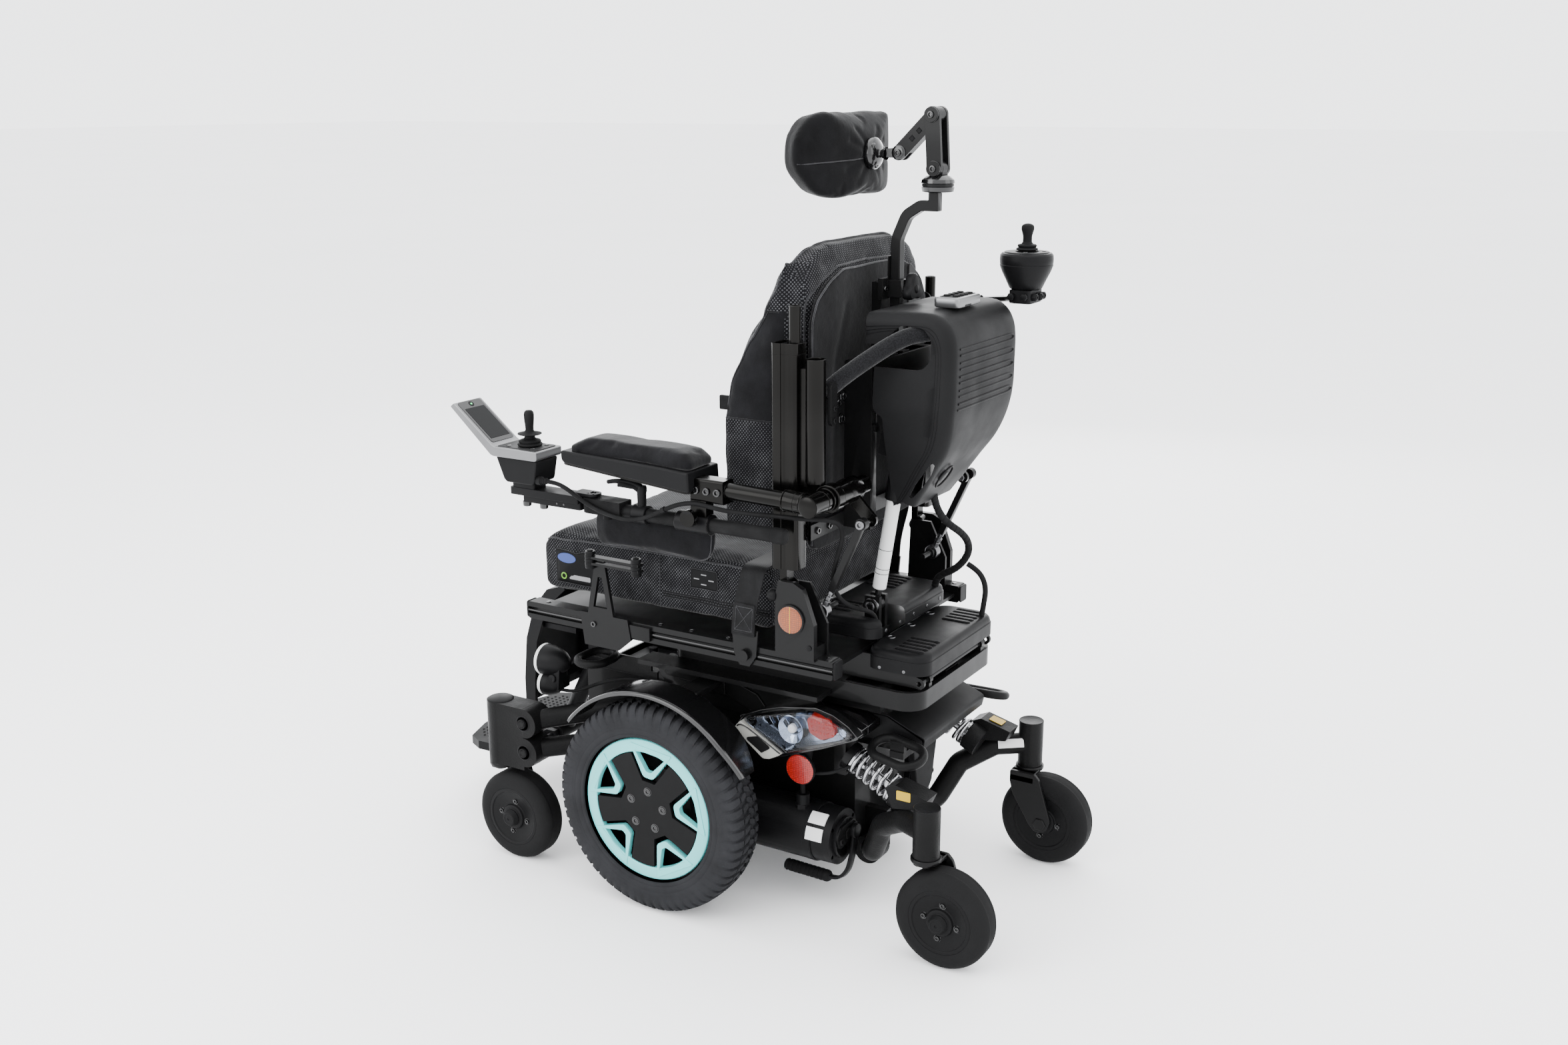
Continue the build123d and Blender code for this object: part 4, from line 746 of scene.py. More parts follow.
# ---------------------------------------------------------------- casters
def caster_wheel(end, side, sign):
    name = f"caster_{end}_{side}"
    centre = joint_place(f"caster_{end}_left_spin")
    body = f"caster_wheel_{end}_{side}"
    work = bmesh.new()
    half = [(23.3, 52), (23.8, 54), (24, 60), (23.4, 66), (21.0, 72), (16.6, 76.6), (12.4, 78.6),
            (11.0, 78.9),
            (9.4, 78.4), (7.2, 78.6), (0, 79)]
    outline = half + [(-x, r) for x, r in reversed(half[:-1])]
    lathe(work, (0, 0, 0), (1, 0, 0), [(x, r) for x, r in reversed(outline)], 128)
    set_down(work, centre, sign)
    mesh_piece(f"{name}_tyre", to_mesh("caster_tyre", work), body, "caster_tyre", sharp=50,
               replaces=(f"caster_wheel_{end}_{side}",))
    hub = bmesh.new()
    face = [(22.6, 52.4), (23.6, 51.2), (23.8, 46.5), (23.1, 45.6), (22.2, 45.2), (21.0, 38), (19.6, 33),
            (18.8, 24),
            (19.8, 22.6), (23.6, 21.4), (24.4, 19.6), (24.6, 16), (26, 15.2), (26, 6.2)]
    lathe(hub, (0, 0, 0), (1, 0, 0), face, 96)
    lathe(hub, (0, 0, 0), (1, 0, 0), [(-x, r) for x, r in face[:-2]] + [(-24, 6.2)], 96)
    set_down(hub, centre, sign)
    mesh_piece(f"{name}_hub", to_mesh("caster_hub", hub), body, "rim", 0.5, 2)
    screws = bmesh.new()
    for i in range(4):
        a = math.radians(90 * i + 8)
        for x, way in ((18.6, 1), (-18.6, -1)):
            where = (x, 28.6 * math.sin(a), 28.6 * math.cos(a))
            lathe(screws, where, (way, 0, 0), [(0.4, 6.2), (1.0, 5.8), (0.6, 4.8)], 20)
            screw_head(screws, where, (way, 0, 0), 3.9, 2.6, 0.55, 18)
    set_down(screws, centre, sign)
    mesh_piece(f"{name}_screws", to_mesh("caster_screws", screws), body, "gloss")


def caster_fork(end, side, sign):
    """One leg on the inner side, bent from plate, with the crown, the stem and the axle's cap."""
    name = f"caster_{end}_{side}"
    body = f"caster_fork_{end}_{side}"
    stem = joint_place(f"caster_{end}_left_swivel")
    hub = joint_place(f"caster_{end}_left_spin") - stem
    work = bmesh.new()
    top = -4.0
    outline = [(-22, top), (22, top), (31, top - 9), (38, top - 30), (hub.y + 19, hub.z + 8),
               (hub.y + 13, hub.z - 13),
               (hub.y - 8, hub.z - 17), (hub.y - 19, hub.z - 5), (-16, top - 42), (-22, top - 20)]
    outline = round_corners(outline, [3, 3, 14, 30, 16, 16, 16, 14, 40, 14], 7)
    prism(work, "YZ", outline, -35, -28.5)
    shelf = round_corners([(-31, -22), (-6, -22), (22, -12), (22, 12), (-6, 22), (-31, 22)],
                          [4, 8, 10, 10, 8, 4], 6)
    prism(work, "XY", shelf, top - 6, top)
    corner = [(-35, top - 18), (-28.5, top - 18), (-28.5, top - 11), (-25, top - 6.2), (-20, top - 6),
              (-20, top),
              (-29, top), (-33.4, top - 3), (-35, top - 8)]
    prism(work, "XZ", corner, -21.5, 21.5)
    set_down(work, stem, sign)
    mesh_piece(f"{name}_fork", to_mesh("caster_fork", work), body, "powder", 1.1, 3, sharp=40,
               replaces=(f"caster_fork_{end}_{side}",))
    turnings = bmesh.new()
    lathe(turnings, (0, 0, -9), (0, 0, 1), [(0, 18), (0.6, 22.5), (3.2, 24), (6.8, 24), (8.6, 23),
                                            (8.6, 10), (70, 10),
                                           (72, 8.5), (72, 0)], 64)
    x = -28.5
    lathe(turnings, (x - 6.5, hub.y, hub.z), (-1, 0, 0), [(0, 12), (1.2, 12), (2.2, 10.5), (2.2, 0)], 6)
    lathe(turnings, (x, hub.y, hub.z), (1, 0, 0), [(0, 12), (4, 12), (4, 6), (56, 6), (56, 0)], 40)
    set_down(turnings, stem, sign)
    mesh_piece(f"{name}_stem", to_mesh("caster_stem", turnings), body, "powder", 0.4, 2)
    cap = bmesh.new()
    lathe(cap, (26.3, hub.y, hub.z), (1, 0, 0),
          [(0, 15.4), (1.5, 15.4), (2.6, 14.6), (7.6, 12.6), (9.0, 11.4),
                                                 (9.3, 9), (8.8, 8.4), (8.9, 2.4), (8.1, 2.0), (8.1, 0)],
                                                 56)
    set_down(cap, stem, sign)
    mesh_piece(f"{name}_cap", to_mesh("caster_cap", cap), body, "rim")


def make_wheels():
    for side, sign in SIDES.items():
        drive_tyre(side, sign)
        rim_faces(side, sign)
        rim_centre(side, sign)
        for end in ("front", "rear"):
            caster_wheel(end, side, sign)
            caster_fork(end, side, sign)


# ---------------------------------------------------------------- covers of the back and the base
def smooth_line(points, parts):
    """A Catmull-Rom line through points of any size, with this many parts to a span."""
    vectors = [Vector(p) for p in points]
    done = []
    for i in range(len(vectors) - 1):
        a, b = vectors[max(i - 1, 0)], vectors[i]
        c, d = vectors[i + 1], vectors[min(i + 2, len(vectors) - 1)]
        for k in range(parts):
            t = k / parts
            done.append(0.5 * ((2 * b) + (c - a) * t + (2 * a - 5 * b + 4 * c - d) * t * t
                               + (3 * b - a - 3 * c + d) * t ** 3))
    return done + [vectors[-1]]


def cut_away(piece, work):
    """Cuts a closed shape in millimetres out of a piece."""
    tool = bpy.data.objects.new("cutter", to_mesh("cutter", work))
    bpy.context.scene.collection.objects.link(tool)
    boolean = piece.modifiers.new("cut", "BOOLEAN")
    boolean.object = tool
    boolean.operation = "DIFFERENCE"
    boolean.solver = "EXACT"
    baked(piece)
    bpy.data.objects.remove(tool)
    return piece


def loose(name, work):
    piece = bpy.data.objects.new(name, to_mesh(name, work))
    bpy.context.scene.collection.objects.link(piece)
    return piece


def settled(piece, body, material, replaces=(), sharp=35, bevel=0.0, segments=2):
    """Gives a loose piece its material and its body."""
    mesh = piece.data
    mesh.materials.clear()
    mesh.materials.append(MAT[material])
    mesh.shade_smooth()
    mesh.set_sharp_from_angle(angle=math.radians(sharp))
    if bevel:
        modifier = piece.modifiers.new("bevel", "BEVEL")
        modifier.width = bevel * MM
        modifier.segments = segments
        modifier.limit_method = "ANGLE"
        modifier.angle_limit = math.radians(sharp)
        modifier.use_clamp_overlap = True
    if replaces:
        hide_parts(*replaces)
    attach(piece, body)
    return piece


SHROUD = [((292, 977), (292, 931)), ((330, 979.5), (298, 925)), ((394, 981), (306, 905)),
          ((419, 970), (305, 880)),
          ((432, 950), (304, 858)), ((436.3, 925), (304, 836)), ((436.3, 886), (310, 826)),
          ((435.2, 848), (318, 818)),
          ((429, 806), (318, 790)), ((416, 770), (318, 762)), ((395, 738), (318, 735)),
          ((376, 709), (318, 708)),
          ((352, 675), (318, 674))]


def shroud_half_width(z):
    t = min(1.0, max(0.0, (z - 676) / 160))
    return 77 + 43 * (t * t * (3 - 2 * t) * 0.35 + t * 0.65)


def shroud_point(z):
    """The shroud's rear surface, as y at a height."""
    for (a, _), (b, _) in zip(SHROUD[3:], SHROUD[4:]):
        if b[1] <= z <= a[1]:
            return a[0] + (b[0] - a[0]) * (a[1] - z) / (a[1] - b[1])
    return SHROUD[3][0][0]


def back_shroud():
    ease = 17
    places = smooth_line([(*p, 0) for p, _ in SHROUD], 6)
    fronts = smooth_line([(*f, 0) for _, f in SHROUD], 6)
    work = bmesh.new()
    rows = []
    for i, (place, front) in enumerate(zip(places, fronts)):
        along = (places[min(i + 1, len(places) - 1)] - places[max(i - 1, 0)]).normalized()
        inward = Vector((along.y, -along.x, 0))
        half = shroud_half_width(place.y)
        section = [((half - ease) * k / 8, place.x, place.y) for k in range(9)]
        for k in range(1, 7):
            t = math.pi / 2 * k / 6
            spot = place + inward * ease * (1 - math.cos(t))
            section.append((shroud_half_width(spot.y) - ease + ease * math.sin(t), spot.x, spot.y))
        start = place + inward * ease
        run = (front - start).length
        steps = [3, 4.2, 9, 10.2, 15, 16.2]
        drops = [0, 1.3, 1.3, 2.6, 2.6, 3.4]
        scale = min(1.0, run / 24)
        spots = [(d * scale, drop * scale) for d, drop in zip(steps, drops)]
        spots += [(16.2 * scale + (run - 16.2 * scale) * k / 6, 3.4 * scale) for k in range(1, 7)]
        for distance, drop in spots:
            spot = start + (front - start) * (distance / run)
            section.append((shroud_half_width(spot.y) - drop, spot.x, spot.y))
        whole = [(-x, y, z) for x, y, z in section[:0:-1]] + section
        rows.append([work.verts.new(v) for v in whole])
    for low, high in zip(rows, rows[1:]):
        for a, b, c, d in zip(low, low[1:], high[1:], high):
            work.faces.new((a, b, c, d))
    bmesh.ops.recalc_face_normals(work, faces=work.faces)
    rear = max(work.faces, key=lambda f: f.calc_center_median().y)
    if rear.normal.y < 0:
        bmesh.ops.reverse_faces(work, faces=work.faces)
    bmesh.ops.scale(work, vec=(MM,) * 3, verts=work.verts)
    mesh = bpy.data.meshes.new("back_shroud_skin")
    work.to_mesh(mesh)
    work.free()
    piece = bpy.data.objects.new("back_shroud_skin", mesh)
    bpy.context.scene.collection.objects.link(piece)
    thick = piece.modifiers.new("thick", "SOLIDIFY")
    thick.thickness = 3 * MM
    thick.offset = -1
    baked(piece)
    cuts = bmesh.new()
    hole = [(276, 897), (384, 897), (398, 912), (399, 944), (386, 960), (350, 962), (328, 944), (320, 931),
            (276, 931)]
    prism(cuts, "YZ", round_corners(hole, [2, 22, 18, 18, 16, 16, 12, 5, 2], 6), -140, 140)
    slot = [(394, 757), (398, 752), (388, 733), (372, 712), (354, 692), (349, 694), (362, 716), (378, 736)]
    prism(cuts, "YZ", round_corners(slot, 3, 3), 60, 140)
    prism(cuts, "YZ", round_corners(slot, 3, 3), -140, -60)
    cut_away(piece, cuts)
    settled(piece, "backrest", "shroud", ("back_shroud",), 38, 0.7, 2)
    for i in range(5):
        z = 930 - 20.3 * i
        line = [(96, z), (0, z), (-84, z), (-95, z - 1.5), (-98, z - 4.5), (-95, z - 7.5), (-84, z - 9),
                (0, z - 9),
                (96, z - 9)]
        dots = [(x, shroud_point(h) + 0.1, h) for x, h in spaced_flat(line, 12)]
        tube(f"shroud_rib_{i}", dots, 1.7, "backrest", "shroud", resolution=4)
    recess = bmesh.new()
    out = Vector((0, 0.83, -0.55))
    centre = Vector((42, 389.5, 724))
    lathe(recess, centre - out * 3.0, out, [(0, 0), (0, 9), (3.4, 9.5), (4.0, 8.5), (4.2, 0)], 32)
    mesh_piece("shroud_disc", to_mesh("shroud_disc", recess), "backrest", "satin")
    rim = [tuple(centre + Vector((17 * math.cos(a), 0, 0)) + Vector((0, 0.55,
        0.83)) * 21 * math.sin(a) + out * 0.6)
           for a in np.linspace(0, 2 * math.pi, 25)[:-1]]
    tube("shroud_oval", rim, 1.5, "backrest", "shroud", close=True, resolution=4)


def spaced_flat(points, step):
    return [(p[0], p[1]) for p in spaced([(*p, 0) for p in points], step)]


def fender(side, sign):
    """Glossy band over the wheel, tapered to a point at the rear, with a raised lip."""
    work = bmesh.new()
    centre = Vector((268.8, 0, 178))
    rows = []
    for i in range(61):
        a = math.radians(27 + (142 - 27) * i / 60)
        share = i / 60
        rear = max(0.0, 1 - share / 0.16)
        inner, outer = -32 + 18 * rear ** 1.5, 33 - 12 * rear ** 1.3
        section = [(inner, 198.8), (outer - 6, 199.8), (outer - 2, 199.2), (outer, 197.4),
                   (outer + 0.6, 193),
                   (outer - 1, 192.4), (outer - 2.2, 195.6), (inner, 196.4)]
        rows.append([work.verts.new((centre.x + x, centre.y + r * math.cos(a), centre.z + r * math.sin(a)))
                     for x, r in section])
    for low, high in zip(rows, rows[1:]):
        for j in range(8):
            k = (j + 1) % 8
            work.faces.new((low[j], low[k], high[k], high[j]))
    work.faces.new(rows[0])
    work.faces.new(rows[-1][::-1])
    if sign < 0:
        flip_x(work)
    mesh_piece(f"fender_{side}", to_mesh("fender", work), "base", "gloss", 0.5, 2, sharp=35)
    stay = bmesh.new()
    brick(stay, (154, 20, 361), (240, 60, 369))
    brick(stay, (152.5, 20, 341), (160, 60, 370))
    prism(stay, "YZ",
          round_corners([(-70, 380), (50, 374), (120, 352), (150, 318), (120, 318), (40, 346), (-60, 352)],
                        10, 4),
          150, 156)
    if sign < 0:
        flip_x(stay)
    mesh_piece(f"fender_stay_{side}", to_mesh("fender_stay", stay), "base", "powder", 1.0, 2)


def base_covers():
    work = bmesh.new()
    bonnet = [(212, 346), (335, 346), (402, 318), (398, 300), (394, 296), (397, 314), (333, 342),
              (212, 342)]
    prism(work, "YZ", round_corners(bonnet, [1, 16, 6, 1, 1, 4, 12, 1], 5), -112, 112)
    for x in (-112, 109):
        side = [(212, 345), (335, 345), (401, 317), (397, 300), (212, 300)]
        prism(work, "YZ", round_corners(side, [1, 14, 5, 3, 3], 5), x, x + 3)
    piece = loose("base_bonnet", work)
    settled(piece, "base", "satin", ("base_covers",), 35, 1.2, 3)
    tongue = bmesh.new()
    outline = [(-62, 342), (62, 342), (44, 262), (26, 186), (16, 176), (-16, 176), (-26, 186), (-44, 262)]
    prism(tongue, "XZ", round_corners(outline, [2, 2, 40, 12, 8, 8, 12, 40], 5), 336, 349)
    mesh_piece("base_tongue", to_mesh("base_tongue", tongue), "base", "satin", 4, 4)
    badge = bmesh.new()
    lathe(badge, (0, 348.6, 292), (0, 1, 0), [(0, 17), (1.6, 17), (2.4, 15.5), (2.6, 0)], 48)
    bmesh.ops.scale(badge, vec=(1.45, 1, 0.95), space=Matrix.Translation((0, -350, -292)),
                    verts=badge.verts)
    mesh_piece("base_badge", to_mesh("base_badge", badge), "base", "badge")
    ring = [(25.5 * math.cos(a), 350.6, 292 + 16.6 * math.sin(a)) for a in np.linspace(0, 2 * math.pi,
        33)[:-1]]
    tube("badge_rim", ring, 0.9, "base", "chrome", close=True, resolution=3)
    for side, sign in SIDES.items():
        fender(side, sign)
        wing = bmesh.new()
        top = [(96, 316), (118, 327), (151, 342), (188, 355), (236, 362), (280, 354), (322, 338),
               (322, 324), (268, 322),
               (228, 318), (150, 272), (120, 290)]
        prism(wing, "YZ", round_corners(top, [3, 20, 40, 40, 20, 30, 3, 3, 10, 20, 8, 8], 4), 151, 172.5)
        prism(wing, "YZ", [(238, 351), (300, 346), (322, 338), (322, 324), (238, 329)], 111, 152)
        if sign < 0:
            flip_x(wing)
        mesh_piece(f"lamp_pod_{side}", to_mesh("lamp_pod", wing), "base", "gloss", 1.5, 3)


# ---------------------------------------------------------------- lamps
def swell_lens(work, outline, low, high, inset, bulge):
    """A plate with a domed outer face."""
    centre = Vector((sum(p[0] for p in outline) / len(outline), sum(p[1] for p in outline) / len(outline)))
    rings = [[(low, p) for p in outline], [(high - bulge, p) for p in outline]]
    for share in (0.25, 0.55, 0.85):
        x = high - bulge + bulge * math.sin(share * math.pi / 2)
        pull = inset * (1 - math.cos(share * math.pi / 2)) * 1.6
        rings.append([(x, tuple(Vector(p) + (centre - Vector(p)) * pull)) for p in outline])
    made = [[work.verts.new((x, y, z)) for x, (y, z) in ring] for ring in rings]
    for a, b in zip(made, made[1:]):
        for i in range(len(a)):
            j = (i + 1) % len(a)
            work.faces.new((a[i], a[j], b[j], b[i]))
    work.faces.new(made[0][::-1])
    edges = [work.edges.get((made[-1][i], made[-1][(i + 1) % len(made[-1])])) for i in range(len(made[-1]))]
    bmesh.ops.triangle_fill(work, use_beauty=True, use_dissolve=False, edges=edges)


def tail_lamp(side, sign):
    outline = [(118, 325), (151, 340), (188, 352), (226, 361), (250, 363), (276, 358), (304, 345),
               (321, 330),
               (290, 316), (259, 303), (214, 287), (196, 281)]
    outline = round_corners(outline, [3, 20, 30, 30, 20, 20, 14, 4, 30, 30, 30, 3], 4)
    shell = bmesh.new()
    swell_lens(shell, outline, 190, 206, 0.2, 9)
    if sign < 0:
        flip_x(shell)
    mesh_piece(f"tail_lens_{side}", to_mesh("tail_lens", shell), "base", "lens", sharp=30,
               replaces=("lamps",) if sign > 0 else ())
    inner = bmesh.new()
    prism(inner, "YZ", round_corners([(120, 324), (250, 361), (318, 330), (196, 283)], [4, 30, 6, 4], 4),
          173, 176)
    for y, z, radius, depth in ((206, 322, 22, 14), (262, 334, 17, 12), (296, 334, 9, 8)):
        lathe(inner, (176 + depth, y, z), (-1, 0, 0),
              [(0, radius), (0.8, radius * 1.04), (depth * 0.5, radius * 0.72),
                                                       (depth, radius * 0.25), (depth, 0)], 40)
    for i in range(9):
        y = 150 + 17 * i
        z = 332 + 2.2 * i if i < 6 else 345 - 2.5 * (i - 6)
        prism(inner, "YZ", [(y, z), (y + 9, z + 2.5), (y + 20, z - 12), (y + 12, z - 15)], 176,
              181 + (i % 3) * 2)
    if sign < 0:
        flip_x(inner)
    mesh_piece(f"tail_mirror_{side}", to_mesh("tail_mirror", inner), "base", "chrome", 0.5, 2, sharp=30)
    bulbs = bmesh.new()
    for y, z, r in ((206, 322, 7), (262, 334, 6)):
        lathe(bulbs, (180, y, z), (1, 0, 0), [(0, r), (6, r), (9, r * 0.7), (10.5, 0)], 24)
    if sign < 0:
        flip_x(bulbs)
    mesh_piece(f"tail_bulbs_{side}", to_mesh("tail_bulbs", bulbs), "base", "label_white")
    red = bmesh.new()
    shape = round_corners([(236, 352), (276, 352), (292, 330), (262, 318), (242, 326)], 8, 5)
    prism(red, "YZ", shape, 186, 193.5)
    for row in range(3):
        for column in range(6):
            y = 245 + column * 7 + row * 1.5
            lathe(red, (193.3, y, 345 - row * 7.5), (1, 0, 0), [(0, 2.4), (1.3, 1.8), (1.8, 0)], 12)
    if sign < 0:
        flip_x(red)
    mesh_piece(f"tail_red_{side}", to_mesh("tail_red", red), "base", "red_reflector", 0.4, 2)
    trim = bmesh.new()
    wedge = [(107, 311), (117, 322), (150, 306), (196, 281), (172, 268), (160, 266), (130, 288)]
    prism(trim, "YZ", round_corners(wedge, [3, 3, 30, 4, 5, 8, 30], 4), 176, 203)
    if sign < 0:
        flip_x(trim)
    mesh_piece(f"tail_trim_{side}", to_mesh("tail_trim", trim), "base", "pale_trim", 1.6, 3)
    plate = bmesh.new()
    prism(plate, "YZ", round_corners([(126, 296), (150, 303), (176, 288), (158, 276)], 3, 4), 203, 203.9)
    edge = [(203.4, y, z) for y, z in [(112, 313), (118, 320), (150, 305), (192, 282)]]
    if sign < 0:
        flip_x(plate)
        edge = [(-x, y, z) for x, y, z in edge]
    mesh_piece(f"tail_plate_{side}", to_mesh("tail_plate", plate), "base", "shroud", 0.3, 2)
    tube(f"tail_edge_{side}", edge, 1.2, "base", "gloss", resolution=4)
    back = bmesh.new()
    border = round_corners([(104, 311), (118, 329), (151, 344), (188, 356), (250, 367), (280, 361),
                            (308, 347), (327, 330),
                            (259, 299), (164, 262)], [5, 10, 20, 30, 20, 20, 12, 3, 30, 8], 4)
    prism(back, "YZ", border, 172, 190.5, [round_corners([(121, 322), (250, 359), (314, 332), (197, 287)],
                                                         [3, 30, 6, 4], 4)])
    if sign < 0:
        flip_x(back)
    mesh_piece(f"tail_housing_{side}", to_mesh("tail_housing", back), "base", "gloss", 0.8, 2)
    disc = bmesh.new()
    lathe(disc, (187.5, 220, 256), (1, 0, 0), [(0, 24.5), (1.2, 24.5), (2.4, 23.4), (2.6, 21.5), (2.9, 0)],
          48)
    if sign < 0:
        flip_x(disc)
    mesh_piece(f"rear_reflector_{side}", to_mesh("rear_reflector", disc), "base", "red_reflector")
    cup = bmesh.new()
    lathe(cup, (178, 220, 256), (1, 0, 0), [(0, 0), (0, 20), (3, 25), (9.4, 26), (10.6, 25.2), (10.6, 24.3),
                                            (9, 24.3)], 48)
    prism(cup, "YZ", [(192, 284), (238, 298), (232, 262), (206, 262)], 173, 181)
    if sign < 0:
        flip_x(cup)
    mesh_piece(f"reflector_cup_{side}", to_mesh("reflector_cup", cup), "base", "satin", 0.6, 2)
    lead = [(sign * x, y, z) for x, y, z in [(178, 240, 250), (174, 262, 252), (166, 284, 262),
                                             (152, 300, 268),
                                             (136, 306, 262), (124, 304, 250)]]
    tube(f"reflector_lead_{side}", lead, 2.6, "base", "rubber")


def head_lamp(side, sign):
    work = bmesh.new()
    for x, y, z, r, depth in ((192, -292, 348, 27, 56), (196, -288, 308, 22, 40)):
        lathe(work, (x, y, z), (0, 1, 0), [(0, r - 2), (1, r), (14, r), (depth * 0.45, r * 0.93),
                                           (depth * 0.72, r * 0.74),
                                           (depth * 0.92, r * 0.45), (depth, r * 0.15), (depth, 0)], 56)
    prism(work, "YZ", round_corners([(-268, 300), (-250, 300), (-246, 346), (-262, 352)], 4, 4), 176, 207)
    rod(work, (206, -262, 322), (210, -262, 322), 7.5, 28, 1)
    brick(work, (130, -256, 322), (186, -246, 340))
    brick(work, (130, -256, 322), (140, -246, 349))
    brick(work, (130, -256, 331), (140, -80, 349))
    if sign < 0:
        flip_x(work)
    mesh_piece(f"head_lamp_{side}", to_mesh("head_lamp", work), "base", "satin", 0.9, 2, sharp=36)
    rims = bmesh.new()
    for x, y, z, r in ((192, -292, 348, 27), (196, -288, 308, 22)):
        lathe(rims, (x, y + 3, z), (0, -1, 0),
              [(-3, r + 0.4), (1.6, r + 0.5), (3.6, r - 0.6), (3.9, r - 2.6), (2.6, r - 3.2),
                                                (-6, r * 0.4), (-6, 0)], 56)
    if sign < 0:
        flip_x(rims)
    mesh_piece(f"head_rims_{side}", to_mesh("head_rims", rims), "base", "white")
    glass = bmesh.new()
    for x, y, z, r in ((192, -292, 348, 24), (196, -288, 308, 19)):
        lathe(glass, (x, y + 1.2, z), (0, -1, 0), [(-1, r), (0.2, r), (1.2, r * 0.7), (1.7, 0)], 48)
    if sign < 0:
        flip_x(glass)
    mesh_piece(f"head_glass_{side}", to_mesh("head_glass", glass), "base", "lens")
    lead = [(sign * x, y, z) for x, y, z in [(196, -252, 300), (192, -236, 298), (184, -214, 304),
                                             (174, -190, 316),
                                             (166, -150, 330), (160, -110, 336), (158, -60, 330)]]
    tube(f"head_lead_{side}", lead, 3, "base", "rubber")


# ---------------------------------------------------------------- motors, levers, springs
def motor_details(side, sign):
    z = 133
    work = bmesh.new()
    lathe(work, (140, 60, z), (0, 1, 0), [(0, 44), (2, 48), (10, 48.2), (11, 47), (162, 47), (163, 48.4),
                                          (176, 48.6),
                                         (177, 46.4), (200, 46), (207, 43.5), (211, 38), (211.5, 34),
                                         (216, 33.4),
                                         (218, 31.5), (218, 0)], 72)
    for a in (35, 145, 215, 325):
        t = math.radians(a)
        spot = (140 + 41 * math.cos(t), 266, z + 41 * math.sin(t))
        lathe(work, spot, (0, 1, 0), [(0, 4.6), (5, 4.6), (6, 3.6), (6, 0)], 6)
    if sign < 0:
        flip_x(work)
    mesh_piece(f"motor_can_{side}", to_mesh("motor_can", work), "base", "satin", sharp=28)
    plate = bmesh.new()
    oval = round_corners([(112, z - 3), (168, z - 12), (174, z + 12), (160, z + 25), (120, z + 26),
                          (108, z + 14)], 11, 6)
    prism(plate, "XZ", oval, 277, 281.5)
    for x, h in ((119, z + 16), (163, z + 2)):
        screw_head(plate, (x, 281.5, h), (0, 1, 0), 5.2, 3.6, 0.5, 20)
    rod(plate, (140, 281, z + 8), (140, 284, z + 8), 9, 28, 0.6)
    if sign < 0:
        flip_x(plate)
    mesh_piece(f"motor_plate_{side}", to_mesh("motor_plate", plate), "base", "cast", 0.8, 2)
    gland = bmesh.new()
    lathe(gland, (154, 206, z + 40), (0, 0, 1), [(0, 13), (9, 13), (9, 10), (15, 10)], 6)
    lathe(gland, (154, 206, z + 54), (0, 0, 1), [(0, 10.5), (6, 10.5), (11, 7.5), (12, 5), (12, 0)], 32)
    if sign < 0:
        flip_x(gland)
    mesh_piece(f"motor_gland_{side}", to_mesh("motor_gland", gland), "base", "satin", 0.5, 2)
    lead = [(sign * x, y, h) for x, y, h in [(154, 206, z + 62), (153, 205, z + 78), (146, 198, z + 92),
                                             (132, 186, z + 104),
                                             (118, 172, z + 112), (108, 150, z + 116)]]
    tube(f"motor_lead_{side}", lead, 4.2, "base", "rubber")
    for name, start in (("upper", 38), ("lower", 6)):
        label = bmesh.new()
        rings = []
        for k in range(9):
            t = math.radians(start + 25 * k / 8)
            rings.append([label.verts.new((140 + r * math.cos(t), y, z + r * math.sin(t)))
                          for r, y in ((46.8, 229), (48.9, 229), (48.9, 259), (46.8, 259))])
        for low, high in zip(rings, rings[1:]):
            for j in range(4):
                label.faces.new((low[j], low[(j + 1) % 4], high[(j + 1) % 4], high[j]))
        label.faces.new(rings[0])
        label.faces.new(rings[-1][::-1])
        if sign < 0:
            flip_x(label)
        mesh_piece(f"motor_label_{name}_{side}", to_mesh("motor_label", label), "base", "label_white",
                   sharp=40)


